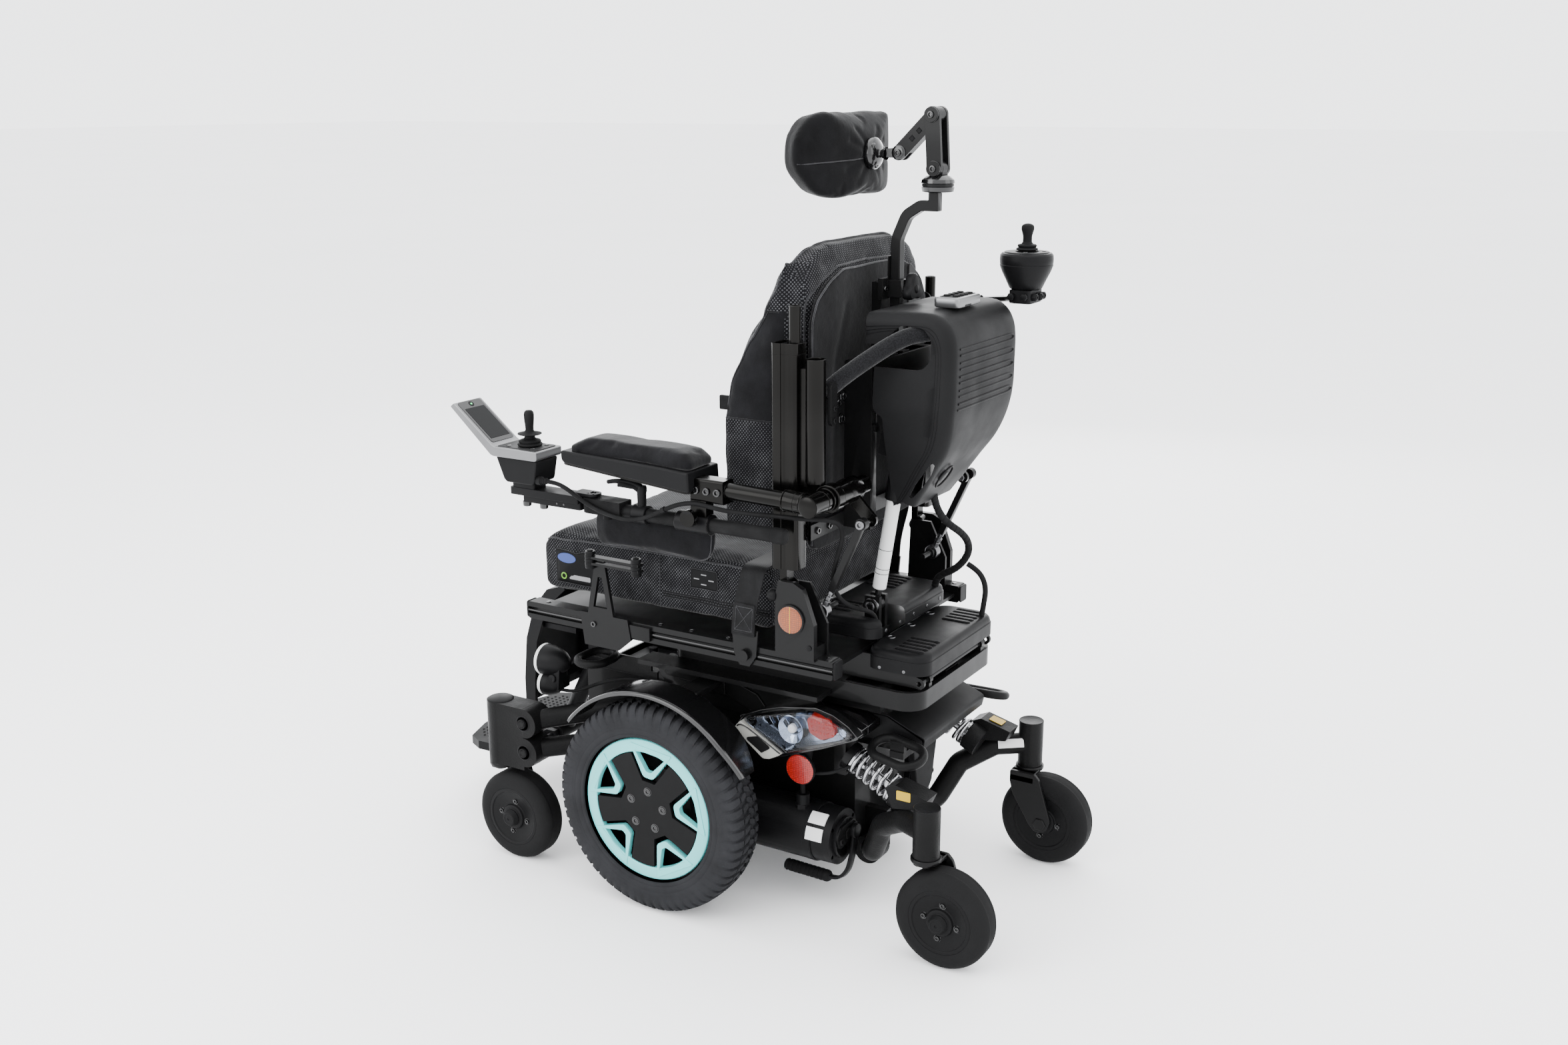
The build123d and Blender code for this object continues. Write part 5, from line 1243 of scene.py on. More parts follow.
def freewheel_lever(side, sign):
    z, y = 133, 287
    body = f"freewheel_lever_{side}"
    path = smooth_line([(126, y, z + 14), (128, y + 0.5, z - 8), (136, y, z - 34), (143, y - 4, z - 56),
                        (146, y - 18, z - 71), (146, y - 40, z - 74)], 6)
    work = bmesh.new()
    rings = []
    for i, spot in enumerate(path):
        along = (path[min(i + 1, len(path) - 1)] - path[max(i - 1, 0)]).normalized()
        across = Vector((1, 0, 0.25)).normalized()
        across = (across - along * across.dot(along)).normalized()
        deep = along.cross(across)
        width = 9.5 - 3 * i / len(path)
        rings.append([work.verts.new(spot + across * a * width + deep * b * 2.6)
                      for a, b in ((-1, -0.6), (-0.85, -1), (0.85, -1), (1, -0.6), (1, 0.6), (0.85, 1),
                                   (-0.85, 1),
                                   (-1, 0.6))])
    for low, high in zip(rings, rings[1:]):
        for j in range(8):
            k = (j + 1) % 8
            work.faces.new((low[j], low[k], high[k], high[j]))
    work.faces.new(rings[0])
    work.faces.new(rings[-1][::-1])
    rod(work, (126, y - 4, z + 8), (126, y + 5, z + 8), 12, 36, 1.2)
    if sign < 0:
        flip_x(work)
    mesh_piece(f"lever_strap_{side}", to_mesh("lever_strap", work), body, "satin", 0.5, 2, sharp=45,
               replaces=(f"freewheel_lever_{side}",))
    grip = bmesh.new()
    profile = [(0, 0), (0, 6.5), (3, 9)]
    for i in range(9):
        profile += [(6 + 8 * i, 10), (10.4 + 8 * i, 10), (11.4 + 8 * i, 8.9), (13 + 8 * i, 8.9)]
    profile += [(80, 10), (83, 8.6), (85, 5), (85, 0)]
    lathe(grip, (146, y - 33, z - 74), (0.02, -1, 0.03), profile, 36)
    if sign < 0:
        flip_x(grip)
    mesh_piece(f"lever_grip_{side}", to_mesh("lever_grip", grip), body, "rubber")


def rear_spring(side, sign):
    """Bright coil between its two seats."""
    top, foot = Vector((135, 290, 270)), Vector((135, 364, 232))
    along = (foot - top).normalized()
    a, b, _ = axes_of(along)
    length = (foot - top).length
    work = bmesh.new()
    turns, radius, wire = 6.2, 20.5, 3.3
    samples = int(turns * 30)
    rings = []
    for i in range(samples + 1):
        t = i / samples
        angle = 2 * math.pi * turns * t
        rise = 8 + (length - 16) * min(1, max(0, (t * turns - 0.7) / (turns - 1.4)))
        out = a * math.cos(angle) + b * math.sin(angle)
        spot = top + along * rise + out * radius
        rings.append([work.verts.new(spot + out * wire * math.cos(2 * math.pi * k / 10)
                                     + along * wire * math.sin(2 * math.pi * k / 10)) for k in range(10)])
    for low, high in zip(rings, rings[1:]):
        for j in range(10):
            k = (j + 1) % 10
            work.faces.new((low[j], low[k], high[k], high[j]))
    work.faces.new(rings[0])
    work.faces.new(rings[-1][::-1])
    rod(work, top + along * 2, foot - along * 2, 7, 24, 0.5)
    for end, way in ((top, 1), (foot, -1)):
        lathe(work, end + along * way * 1.5, along * way,
              [(0, 20), (0, 23), (3.4, 23), (4.6, 21.8), (4.6, 9)], 40)
    if sign < 0:
        flip_x(work)
        top.x, foot.x = -top.x, -foot.x
    piece = bpy.data.objects.new(f"rear_spring_{side}", to_mesh("rear_spring", work))
    bpy.context.scene.collection.objects.link(piece)
    piece.data.materials.append(MAT["spring"])
    piece.data.shade_smooth()
    piece.data.set_sharp_from_angle(angle=math.radians(40))
    if sign > 0:
        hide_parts("rear_springs")
    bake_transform(piece)


def make_base_looks():
    back_shroud()
    base_covers()
    for side, sign in SIDES.items():
        tail_lamp(side, sign)
        head_lamp(side, sign)
        motor_details(side, sign)
        freewheel_lever(side, sign)
        rear_spring(side, sign)


# ---------------------------------------------------------------- frame, arms, controls and cables
def added(work, sign):
    return work if sign > 0 else flip_x(work)


def trimmed(node, material, keep, bevel=0.8):
    """The refined CAD node with only the faces whose centre passes a test, in millimetres."""
    piece = refined(node, material, bevel)
    work = bmesh.new()
    work.from_mesh(piece.data)
    gone = [f for f in work.faces if not keep(f.calc_center_median() / MM)]
    bmesh.ops.delete(work, geom=gone, context="FACES")
    work.to_mesh(piece.data)
    work.free()
    return piece


def hollow_post(work, start, end, radius, wall):
    """Adds a round tube whose far end is open."""
    start, end = Vector(start), Vector(end)
    length = (end - start).length
    lathe(work, start, end - start, [(0, 0), (0, radius), (length - 0.6, radius), (length, radius - 0.6),
                                     (length, radius - wall + 0.4), (length - 0.5, radius - wall),
                                     (length - 22, radius - wall), (length - 22, 0)], 48)


def cane(side, sign):
    """Upright: a two-chamber profile with grooves, a post in it and a round tube behind it."""
    x = 221
    groove = [(x + 21, 218), (x + 18.5, 218), (x + 18.5, 221), (x + 17, 224), (x + 17, 243), (x - 17, 243),
              (x - 17, 224),
              (x - 18.5, 221), (x - 18.5, 218), (x - 21, 218)]
    outline = ([(x - 21, 205), (x - 16, 200), (x + 16, 200), (x + 21, 205)] + groove)
    outline = round_corners(outline, [3, 3, 3, 3, 1, 1, 1, 2, 7, 7, 2, 1, 1, 1], 5)
    chamber = round_corners([(x - 17, 204), (x + 17, 204), (x + 17, 216), (x - 17, 216)], 3, 4)
    slot = round_corners([(x - 13, 222), (x + 13, 222), (x + 13, 239), (x - 13, 239)], 4, 4)
    work = bmesh.new()
    prism(work, "XY", outline, 925, 941, [chamber, slot])
    prism(work, "XY", outline, 600, 925)
    mesh_piece(f"cane_profile_{side}", to_mesh("cane", added(work, sign)), "backrest", "anodised", 0.5, 2)
    tubes = bmesh.new()
    hollow_post(tubes, (x, 231, 905), (x, 231, 995), 9, 2.4)
    hollow_post(tubes, (x, 266, 736), (x, 266, 920), 15, 2.6)
    brick(tubes, (x - 7, 242, 730), (x + 7, 256, 905))
    mesh_piece(f"cane_tubes_{side}", to_mesh("tubes", added(tubes, sign)), "backrest", "anodised", 0.4, 2)
    foot = bmesh.new()
    prism(foot, "YZ", round_corners([(209.8, 566), (222, 566), (222, 610), (209.8, 610)], 2, 3), x - 11.5,
          x + 10)
    lathe(foot, (x - 11.5, 222, 568), (1, 0, 0),
          [(0, 7.3), (0, 11.4), (1, 12.4), (20.5, 12.4), (21.5, 11.4), (21.5, 7.3)], 40)
    brick(foot, (x - 13, 240, 700), (x + 3, 276, 742))
    lathe(foot, (x - 15, 288, 714), (1, 0, 0),
          [(0, 12.1), (0, 21), (1.2, 22), (18.8, 22), (20, 21), (20, 12.1)], 48)
    mesh_piece(f"cane_foot_{side}", to_mesh("foot", added(foot, sign)), "backrest", "anodised_x", 0.8, 2)


def back_frame_details():
    """Bracket plates with their bolts, the head support's clamp and the three-lobed knob."""
    trimmed("back_frame", "powder",
            lambda c: abs(c.x) < 199 and not (c.y > 295.5 and abs(c.x) < 40 and c.z > 950))
    paddle = bmesh.new()
    prism(paddle, "YZ", round_corners([(216, 930), (242, 930), (242, 971), (216, 971)], [2, 2, 12.9, 12.9],
                                      8), -205, -201)
    mesh_piece("paddle_plate", to_mesh("paddle_plate", paddle), "backrest", "powder", 0.8, 3)
    bolts = bmesh.new()
    for sign in (1, -1):
        for bx, bz in ((-2, 846), (14, 838), (2, 812)):
            screw_head(bolts, Vector((sign * (112 + bx), 249, bz)), (0, 1, 0), 6.5, 4.5, 0.5)
            lathe(bolts, Vector((sign * (112 + bx), 248.5, bz)), (0, 1, 0),
                  [(0, 9), (1.6, 9), (2, 8.4), (2, 0)], 24)
        for bx in (150, 185):
            screw_head(bolts, Vector((sign * bx, 249, 652)), (0, 1, 0), 5.5, 3.5, 0.5)
    screw_head(bolts, Vector((-22, 273, 1001)), (0, 1, 0), 4.5, 3, 0.5)
    screw_head(bolts, Vector((22, 273, 1001)), (0, 1, 0), 4.5, 3, 0.5)
    for z in (1030, 1042):
        screw_head(bolts, Vector((-8.2, 282, z)), (-1, 0, 0), 2.2, 0.8, 0.55, 16)
    mesh_piece("back_bolts", to_mesh("back_bolts", bolts), "backrest", "gloss")
    knob = bmesh.new()
    count = 72
    rings = []
    for y, size in ((300, 0.78), (301, 0.9), (303, 0.97), (311, 1), (314, 0.96), (316, 0.86), (316.4, 0.5)):
        ring = []
        for i in range(count):
            a = 2 * math.pi * i / count
            r = 14.5 + 9.5 * (0.5 + 0.5 * math.cos(3 * (a - math.radians(90)))) ** 1.3
            ring.append(knob.verts.new((r * size * math.cos(a), y, 1001 + r * size * math.sin(a))))
        rings.append(ring)
    for low, high in zip(rings, rings[1:]):
        for i in range(count):
            j = (i + 1) % count
            knob.faces.new((low[i], low[j], high[j], high[i]))
    knob.faces.new(rings[0][::-1])
    knob.faces.new(rings[-1])
    rod(knob, (0, 295.5, 1001), (0, 301, 1001), 6, 24)
    lathe(knob, (0, 316, 1001), (0, 1, 0), [(0, 6.5), (1, 6.2), (1.6, 5), (1.7, 0)], 32)
    mesh_piece("head_knob", to_mesh("head_knob", knob), "backrest", "satin")
    slider = bmesh.new()
    prism(slider, "XZ", round_corners([(-14, 1014), (14, 1014), (14, 1050), (-14, 1050)], 2, 3), 272.6,
          273.9)
    mesh_piece("clamp_strap", to_mesh("clamp_strap", slider), "backrest", "powder")


def push_handle():
    """Foam sleeve over the bar, with an oval ear on each upright."""
    half = [(199, 268, 866), (188, 276, 878), (160, 305, 906), (128, 345, 938), (116, 366, 948),
            (100, 384, 951),
            (60, 391, 951)]
    line = half + [(-x, y, z) for x, y, z in reversed(half)]
    tube("push_foam", line, 13, "backrest", "foam")
    ears = bmesh.new()
    for sign in (1, -1):
        oval = round_corners([(sign * 195, 820), (sign * 213, 820), (sign * 213, 886),
                              (sign * 195, 886)][::sign], 8.9, 8)
        prism(ears, "XZ", oval, 281.4, 287.6)
        for z in (828, 846):
            screw_head(ears, Vector((sign * 204, 287.6, z)), (0, 1, 0), 4.2, 2.4, 0.5)
        lathe(ears, (sign * 203, 270, 866), Vector((-sign * 11, 8, 12)),
              [(0, 15), (7, 15), (8, 14.4), (8, 13)], 32)
    mesh_piece("push_ears", to_mesh("push_ears", ears), "backrest", "cast", 1.0, 3,
               replaces=("push_handle",))


def switch_box():
    """Silver box on the shroud, with rows of black rocker keys."""
    work = bmesh.new()
    rings = []
    for z, grow in ((983, -1.5), (984.5, 0), (995, 0), (997.3, -0.8), (998.2, -2.6)):
        outline = round_corners([(-26 - grow, 371 - grow), (56 + grow, 371 - grow), (56 + grow, 413 + grow),
                                 (-26 - grow, 413 + grow)], 7, 6)
        rings.append([work.verts.new((x, y, z)) for x, y in outline])
    for low, high in zip(rings, rings[1:]):
        for i in range(len(low)):
            j = (i + 1) % len(low)
            work.faces.new((low[i], low[j], high[j], high[i]))
    work.faces.new(rings[0][::-1])
    work.faces.new(rings[-1])
    mesh_piece("switch_body", to_mesh("switch_body", work), "backrest", "silver",
               sharp=60)
    keys = bmesh.new()
    prism(keys, "XY", round_corners([(-20, 377), (50, 377), (50, 407), (-20, 407)], 5, 6), 998.0, 998.8)
    for x in (-9, 6, 21, 36):
        for y in (384.5, 399.5):
            pad = round_corners([(x - 5.4, y - 4.6), (x + 5.4, y - 4.6), (x + 5.4, y + 4.6),
                                 (x - 5.4, y + 4.6)], 3, 4)
            prism(keys, "XY", pad, 998.6, 1000.8)
    mesh_piece("switch_keys", to_mesh("switch_keys", keys), "backrest", "rubber", 0.5, 3)
    gap = bmesh.new()
    brick(gap, (12, 412.4, 984), (32, 413.6, 986.4))
    mesh_piece("switch_latch", to_mesh("switch_latch", gap), "backrest", "satin", 0.3, 2)


def attendant():
    """Helper's pod: tapered body with a screen plate, its bracket, bent arm and clamp."""
    x, y = -150, 432
    trimmed("attendant_control", "powder", lambda c: c.z < 972 and not (371 < c.y < 414 and c.x > -60), 0.6)
    pod = bmesh.new()
    lathe(pod, (x, y, 0), (0, 0, 1), [(992, 0), (992, 22), (995, 26), (1008, 32), (1020, 38), (1029, 41.4),
                                      (1031, 41.8),
                                      (1032, 41), (1033, 41.6), (1040, 42), (1046, 41.4), (1049, 39),
                                      (1050.2, 34),
                                      (1050.4, 18), (1049, 17.6), (1044, 17.4), (1044, 0)], 64)
    mesh_piece("attendant_pod", to_mesh("attendant_pod", pod), "backrest", "satin")
    plate = bmesh.new()
    lathe(plate, (x, y, 0), (0, 0, 1), [(1050.0, 35), (1050.9, 35), (1051.2, 34.4), (1051.2, 19),
                                        (1050.0, 19)], 64)
    mesh_piece("attendant_plate", to_mesh("attendant_plate", plate), "backrest", "grey_plastic")
    for i, (dx, dy) in enumerate(((-24, 10), (-27, -4), (25, 8), (-14, 23))):
        key = bmesh.new()
        lathe(key, (x + dx, y + dy, 1051), (0, 0, 1), [(0, 3.6), (1, 3.6), (1.5, 3), (1.6, 0)], 24)
        mesh_piece(f"attendant_key_{i}", to_mesh("key", key), "backrest", "gloss" if i else "label_silver")
    mount = bmesh.new()
    prism(mount, "XY",
          round_corners([(x - 26, y - 18), (x + 26, y - 18), (x + 26, y + 18), (x - 26, y + 18)], 5, 4),
          973, 992.5)
    for k, reach in ((-18, 8), (-2, 10), (14, 8)):
        rod(mount, (x + k, y + 17, 982), (x + k, y + 17 + reach, 982), 6.5, 6, 0.8)
        screw_head(mount, Vector((x + k, y + 16 + reach, 982)), (0, 1, 0), 4.5, 2.5, 0.5)
    for k in (-12, 10):
        rod(mount, (x + 26, y + k, 983), (x + 33, y + k, 983), 6, 6, 0.8)
    mesh_piece("attendant_mount", to_mesh("attendant_mount", mount), "backrest", "satin", 0.8, 2)
    stick = bmesh.new()
    lathe(stick, (x, y, 0), (0, 0, 1), [(1046, 0), (1046, 7), (1052, 10), (1053.5, 16.5), (1055, 17.3),
                                        (1056.5, 16), (1057.5, 13.4),
                                        (1059, 14.8), (1060.4, 15.2), (1062, 14), (1063, 9.5), (1066, 7.2),
                                        (1074, 7.0),
                                        (1080, 8.4), (1085, 10), (1089, 10), (1092, 8.4), (1094, 4.6),
                                        (1094.6, 0)], 48)
    mesh_piece("attendant_knob", to_mesh("attendant_knob", stick), "attendant_stick", "rubber",
               replaces=("attendant_stick",))
    fork = bmesh.new()
    lathe(fork, (-221, 266, 892), (0, 0, 1), [(0, 15.1), (0, 19), (1, 20), (17, 20), (18, 19), (18, 15.1)],
          48)
    mesh_piece("attendant_collar", to_mesh("attendant_collar", fork), "backrest", "satin")


def joystick_pod():
    """User's pod: dark tapered body and silver rim that runs up round the screen."""
    x = 272
    body = bmesh.new()
    foot = [(-207, 688), (-199, 728), (-283, 728), (-268, 692), (-262, 688)]
    prism(body, "YZ", round_corners(foot, [8, 2, 2, 12, 6], 6), x - 26.5, x + 26.5)
    piece = mesh_piece("pod_body", to_mesh("pod_body", body), "joystick_housing", "satin", 5, 5,
                       sharp=50)
    piece.modifiers["bevel"].use_clamp_overlap = True
    rim = bmesh.new()
    profile = [(-195, 729), (-195, 744.5), (-280, 745), (-286, 747.6), (-362, 808), (-369, 803),
               (-370, 801), (-290, 730.5),
               (-284, 728.8)]
    prism(rim, "YZ", round_corners(profile, [5, 3, 4, 4, 4, 2, 2, 8, 4], 5), x - 32, x + 32)
    silver = mesh_piece("pod_rim", to_mesh("pod_rim", rim), "joystick_housing", "silver", 3.2, 5,
                        sharp=50,
                        replaces=("joystick_housing",))
    silver.modifiers["bevel"].use_clamp_overlap = True
    deck = bmesh.new()
    outline = round_corners([(x - 27, -199.5), (x + 27, -199.5), (x + 27, -279), (x - 27, -279)],
                            [7, 7, 3, 3], 6)
    prism(deck, "XY", outline, 744, 745.9)
    mesh_piece("pod_deck", to_mesh("pod_deck", deck), "joystick_housing", "grey_plastic", 0.6, 2)
    along = Vector((0, -76, 60.4)).normalized()
    up = Vector((0, 60.4, 76)).normalized()
    start = Vector((x, -287, 748.2))
    for name, low, high, half, lift, key in (("pod_bezel", 2, 94, 27, 1.0, "gloss"),
                                             ("pod_screen", 10, 78, 22.5, 1.5, "screen")):
        sheet = bmesh.new()
        corners = round_corners([(-half, low), (half, low), (half, high), (-half, high)],
                                5 if key == "gloss" else 1, 6)
        for height in (-1.5, lift):
            ring = [sheet.verts.new(start + Vector((a, 0, 0)) + along * b + up * height) for a,
                    b in corners]
            sheet.faces.new(ring)
            if height < 0:
                first = ring
        for i in range(len(ring)):
            j = (i + 1) % len(ring)
            sheet.faces.new((first[i], first[j], ring[j], ring[i]))
        mesh_piece(name, to_mesh(name, sheet), "joystick_housing", key, 0.3, 2)
    lamp = bmesh.new()
    lathe(lamp, start + along * 86 + up * 0.9, up, [(0, 1.6), (0.7, 1.5), (1, 0)], 20)
    mesh_piece("pod_led", to_mesh("pod_led", lamp), "joystick_housing", "green_led")
    oval = bmesh.new()
    lathe(oval, start + along * 86 + up * 0.6, up, [(0, 5.4), (0.8, 5.2), (1, 4.2), (0.6, 3.4), (0.5, 0)],
          32)
    mesh_piece("pod_button", to_mesh("pod_button", oval), "joystick_housing", "satin")
    keys = bmesh.new()
    for dx in (-18, 18):
        for dy in (-262, -214):
            lathe(keys, (x + dx, dy, 745.6), (0, 0, 1), [(0, 4), (1, 4), (1.5, 3.3), (1.6, 0)], 24)
    mesh_piece("pod_keys", to_mesh("pod_keys", keys), "joystick_housing", "gloss")
    links = bmesh.new()
    prism(links, "XY", round_corners([(x - 17, -266), (x + 17, -266), (x + 17, -127), (x - 17, -127)],
                                     [5, 5, 2, 2], 4), 666.2, 678.4)
    prism(links, "XY", round_corners([(x - 11, -244), (x + 11, -244), (x + 11, -127), (x - 11, -127)], 3,
                                     4), 654.4, 667)
    prism(links, "XY", round_corners([(x - 16, -261), (x + 16, -261), (x + 16, -215), (x - 16, -215)], 4,
                                     4), 678, 689)
    prism(links, "XY", round_corners([(x - 13, -140), (x + 13, -140), (x + 13, -96), (x - 13, -96)],
                                     [2, 2, 12, 12], 6), 679.2, 684)
    brick(links, (x - 13, -138, 666), (x + 13, -127.3, 680))
    rod(links, (x, -108, 655), (x, -108, 684), 6, 32, 0.6)
    mesh_piece("pod_links", to_mesh("pod_links", links), "joystick_housing", "satin", 1.4, 3)
    bolts = bmesh.new()
    for dx, dy, z in ((4, -241, 654.5), (4, -206, 654.5)):
        screw_head(bolts, Vector((x + dx, dy, z)), (0, 0, -1), 7, 8, 0.5)
    for dx, dy in ((-6, -104), (6, -104), (-6, -114), (6, -114), (0, -119)):
        screw_head(bolts, Vector((x + dx, dy, 684)), (0, 0, 1), 1.6, 0.8, 0.5, 12)
    for dy in (-160, -174):
        lathe(bolts, (x + 11, dy, 660), (1, 0, 0), [(0, 1.8), (0.3, 1.6), (0.3, 0)], 12)
    mesh_piece("pod_bolts", to_mesh("pod_bolts", bolts), "joystick_housing", "gloss")
    stick = bmesh.new()
    y = -233
    lathe(stick, (x, y, 0), (0, 0, 1), [(738, 0), (738, 9), (746, 13.5), (747.2, 19.5), (748.8, 20.3),
                                        (750.4, 19.4), (751.4, 16.8),
                                        (753, 17.8), (754.6, 17.9), (756, 16.4), (757, 12.4), (759, 9),
                                        (762.4, 8.2),
                                        (763.4, 12), (765, 18.4), (765.8, 19.6), (766.6, 19.2), (768, 12),
                                        (769.4, 8),
                                        (772, 6.6), (778, 6.7), (790, 8.0), (797, 8.2), (801, 7.3),
                                        (803.4, 5), (804.2, 0)], 48)
    mesh_piece("stick_knob", to_mesh("stick_knob", stick), "joystick_stick", "rubber",
               replaces=("joystick_stick",))


def joystick_arm():
    """Lever clamp and hex knob on the joystick's tube."""
    x = 272
    refined("joystick_mount", "rubber", 0.8)
    clamp = bmesh.new()
    lathe(clamp, (x, -27, 662), (0, 1, 0), [(0, 11.2), (0, 14), (1, 15), (25, 15), (26, 14), (26, 11.2)],
          48)
    lathe(clamp, (x, -14, 672), (0, 0, 1), [(0, 8), (4, 8), (5, 7), (24, 7.4), (27, 8.2), (33, 8.2),
                                            (35.5, 7), (36.5, 0)], 32)
    mesh_piece("lever_clamp", to_mesh("lever_clamp", clamp), "joystick_mount", "satin")
    grip = bmesh.new()
    path = smooth_line([(x, -14, 704), (x + 5, -21, 709), (x + 14, -32, 714), (x + 25, -45, 716),
                        (x + 34, -55, 715)], 6)
    rings = []
    for i, p in enumerate(path):
        p = Vector(p)
        ahead = Vector(path[min(i + 1, len(path) - 1)]) - Vector(path[max(i - 1, 0)])
        side = ahead.cross(Vector((0, 0, 1))).normalized()
        rise = side.cross(ahead).normalized()
        share = i / (len(path) - 1)
        wide, tall = 7 - 3.2 * math.sin(share * math.pi * 0.7), 5.5 - 2.4 * share
        if i in (0, len(path) - 1):
            wide, tall = wide * 0.5, tall * 0.5
        rings.append([grip.verts.new(p + side * wide * math.cos(a) + rise * tall * math.sin(a))
                      for a in np.linspace(0, 2 * math.pi, 17)[:-1]])
    for low, high in zip(rings, rings[1:]):
        for i in range(16):
            grip.faces.new((low[i], low[(i + 1) % 16], high[(i + 1) % 16], high[i]))
    grip.faces.new(rings[0][::-1])
    grip.faces.new(rings[-1])
    mesh_piece("lever_grip", to_mesh("lever_grip", grip), "joystick_mount", "satin",
               sharp=60)
    caps = bmesh.new()
    lathe(caps, (x, 239, 662), (0, 1, 0), [(-14, 11.2), (-13, 12.2), (3, 12.2), (6, 11), (8, 7.5),
                                           (8.4, 0)], 48)
    mesh_piece("joystick_tube_cap", to_mesh("joystick_tube_cap", caps), "joystick_mount", "rubber")


def armrest_details(side, sign):
    """Tapered tray, tube with its rings, clamp block with three socket screws and the end of the elbow."""
    body = f"armrest_{side}"
    refined(f"armrest_{side}", "anodised_y", 0.8)
    bolts = bmesh.new()
    for y in (94, 113, 132):
        screw_head(bolts, Vector((281.5, y, 716)), (1, 0, 0), 6, 3.6, 0.55)
    screw_head(bolts, Vector((266, 113, 698)), (0, 0, -1), 5, 3, 0.5)
    mesh_piece(f"arm_screws_{side}", to_mesh("arm_screws", added(bolts, sign)), body, "gloss")
    rings = bmesh.new()
    for y, r, wide in ((243, 16.6, 3), (262, 16.4, 2), (143, 13.8, 5), (272, 16.4, 3)):
        z = 714.6 + (278 - y) * 0.021
        lathe(rings, (266, y, z), (0, -1, 0.02), [(0, r - 1.2), (0.6, r), (wide - 0.6, r), (wide, r - 1.2)],
              48)
    lathe(rings, (282, 288, 714), (1, 0, 0), [(-1, 15.6), (0.8, 15.2), (1.6, 13.5), (1.8, 0)], 48)
    mesh_piece(f"arm_rings_{side}", to_mesh("arm_rings", added(rings, sign)), body, "anodised_y")
    tray = bmesh.new()
    outline = [(92, 713), (90, 744), (40, 747), (-150, 752.5), (-150, 733)]
    outline = round_corners(outline, [3, 3, 4, 3, 10], 5)
    prism(tray, "YZ", outline, 213.4, 298.6)
    piece = mesh_piece(f"arm_tray_{side}", to_mesh("arm_tray", added(tray, sign)), body, "satin", 7, 5,
                       sharp=60)
    piece.modifiers["bevel"].use_clamp_overlap = True
    if sign > 0:
        holder = bmesh.new()
        lathe(holder, (272, 55, 662), (0, 1, 0),
              [(0, 11.2), (0, 15), (1.4, 16.4), (60, 16.4), (61.4, 15), (61.4, 11.2)], 48)
        lathe(holder, (286, 92, 678), (1, 0, -0.2),
              [(0, 6), (5, 6), (6, 9), (7, 13.5), (8.5, 14), (15, 14), (16.5, 13), (17, 0)], 6)
        mesh_piece("tube_holder", to_mesh("tube_holder", holder), body, "satin", 0.8, 2)


def arm_axis(side, sign):
    """Glossy cross shaft: stepped cone, ring and the crank's bolts."""
    work = bmesh.new()
    lathe(work, (112, 288, 714), (1, 0, 0), [(0, 12), (1, 14.4), (26, 14.6), (30, 19), (31, 19.6),
                                             (60, 19.8), (84, 17), (86, 16.6),
                                             (88, 16.4), (89, 12.2), (92, 12.2), (92, 0)], 64)
    mesh_piece(f"arm_cone_{side}", to_mesh("arm_cone", added(work, sign)), "arm_crank", "anodised_x")
    ring = bmesh.new()
    lathe(ring, (227.5, 288, 714), (1, 0, 0),
          [(0, 12.1), (0, 17.4), (0.8, 18.2), (4.4, 18.2), (5.2, 17.4), (5.2, 12.1)], 64)
    lathe(ring, (236, 288, 714), (1, 0, 0), [(0, 12.1), (0, 15.4), (0.8, 16), (7.4, 16), (8, 15.4),
                                             (8, 12.1)], 64)
    mesh_piece(f"arm_ring_{side}", to_mesh("arm_ring", added(ring, sign)), "arm_crank", "anodised_x")
    head = Vector((196, 262 + 288 - 222, 528 + 714 - 568))
    bolts = bmesh.new()
    screw_head(bolts, head, (1, 0, 0), 7, 4, 0.5)
    lathe(bolts, head - Vector((39, 0, 0)), (-1, 0, 0), [(0, 4), (0, 6.5), (4, 6.5), (4.6, 5.8), (4.6, 0)],
          6)
    mesh_piece(f"crank_bolts_{side}", to_mesh("crank_bolts", added(bolts, sign)), "arm_crank", "steel")
    rods = bmesh.new()
    foot = Vector((190, 262, 528))
    along = (head - Vector((196 - 190, 0, 0)) - foot).normalized()
    lathe(rods, foot + along * 10, along, [(0, 4.2), (1, 5.4), (9, 5.4), (10, 4.2), (11, 4.2), (12, 6.4),
                                           (18, 6.4), (19, 4.6), (22, 4.6),
                                           (23, 5.6), (33, 5.6), (34, 4.2)], 6)
    lathe(rods, foot - Vector((7, 0, 0)), (1, 0, 0),
          [(0, 8.2), (0, 11), (1, 12), (13, 12), (14, 11), (14, 8.2)], 40)
    mesh_piece(f"rod_nuts_{side}", to_mesh("rod_nuts", added(rods, sign)), "arm_rods", "steel")


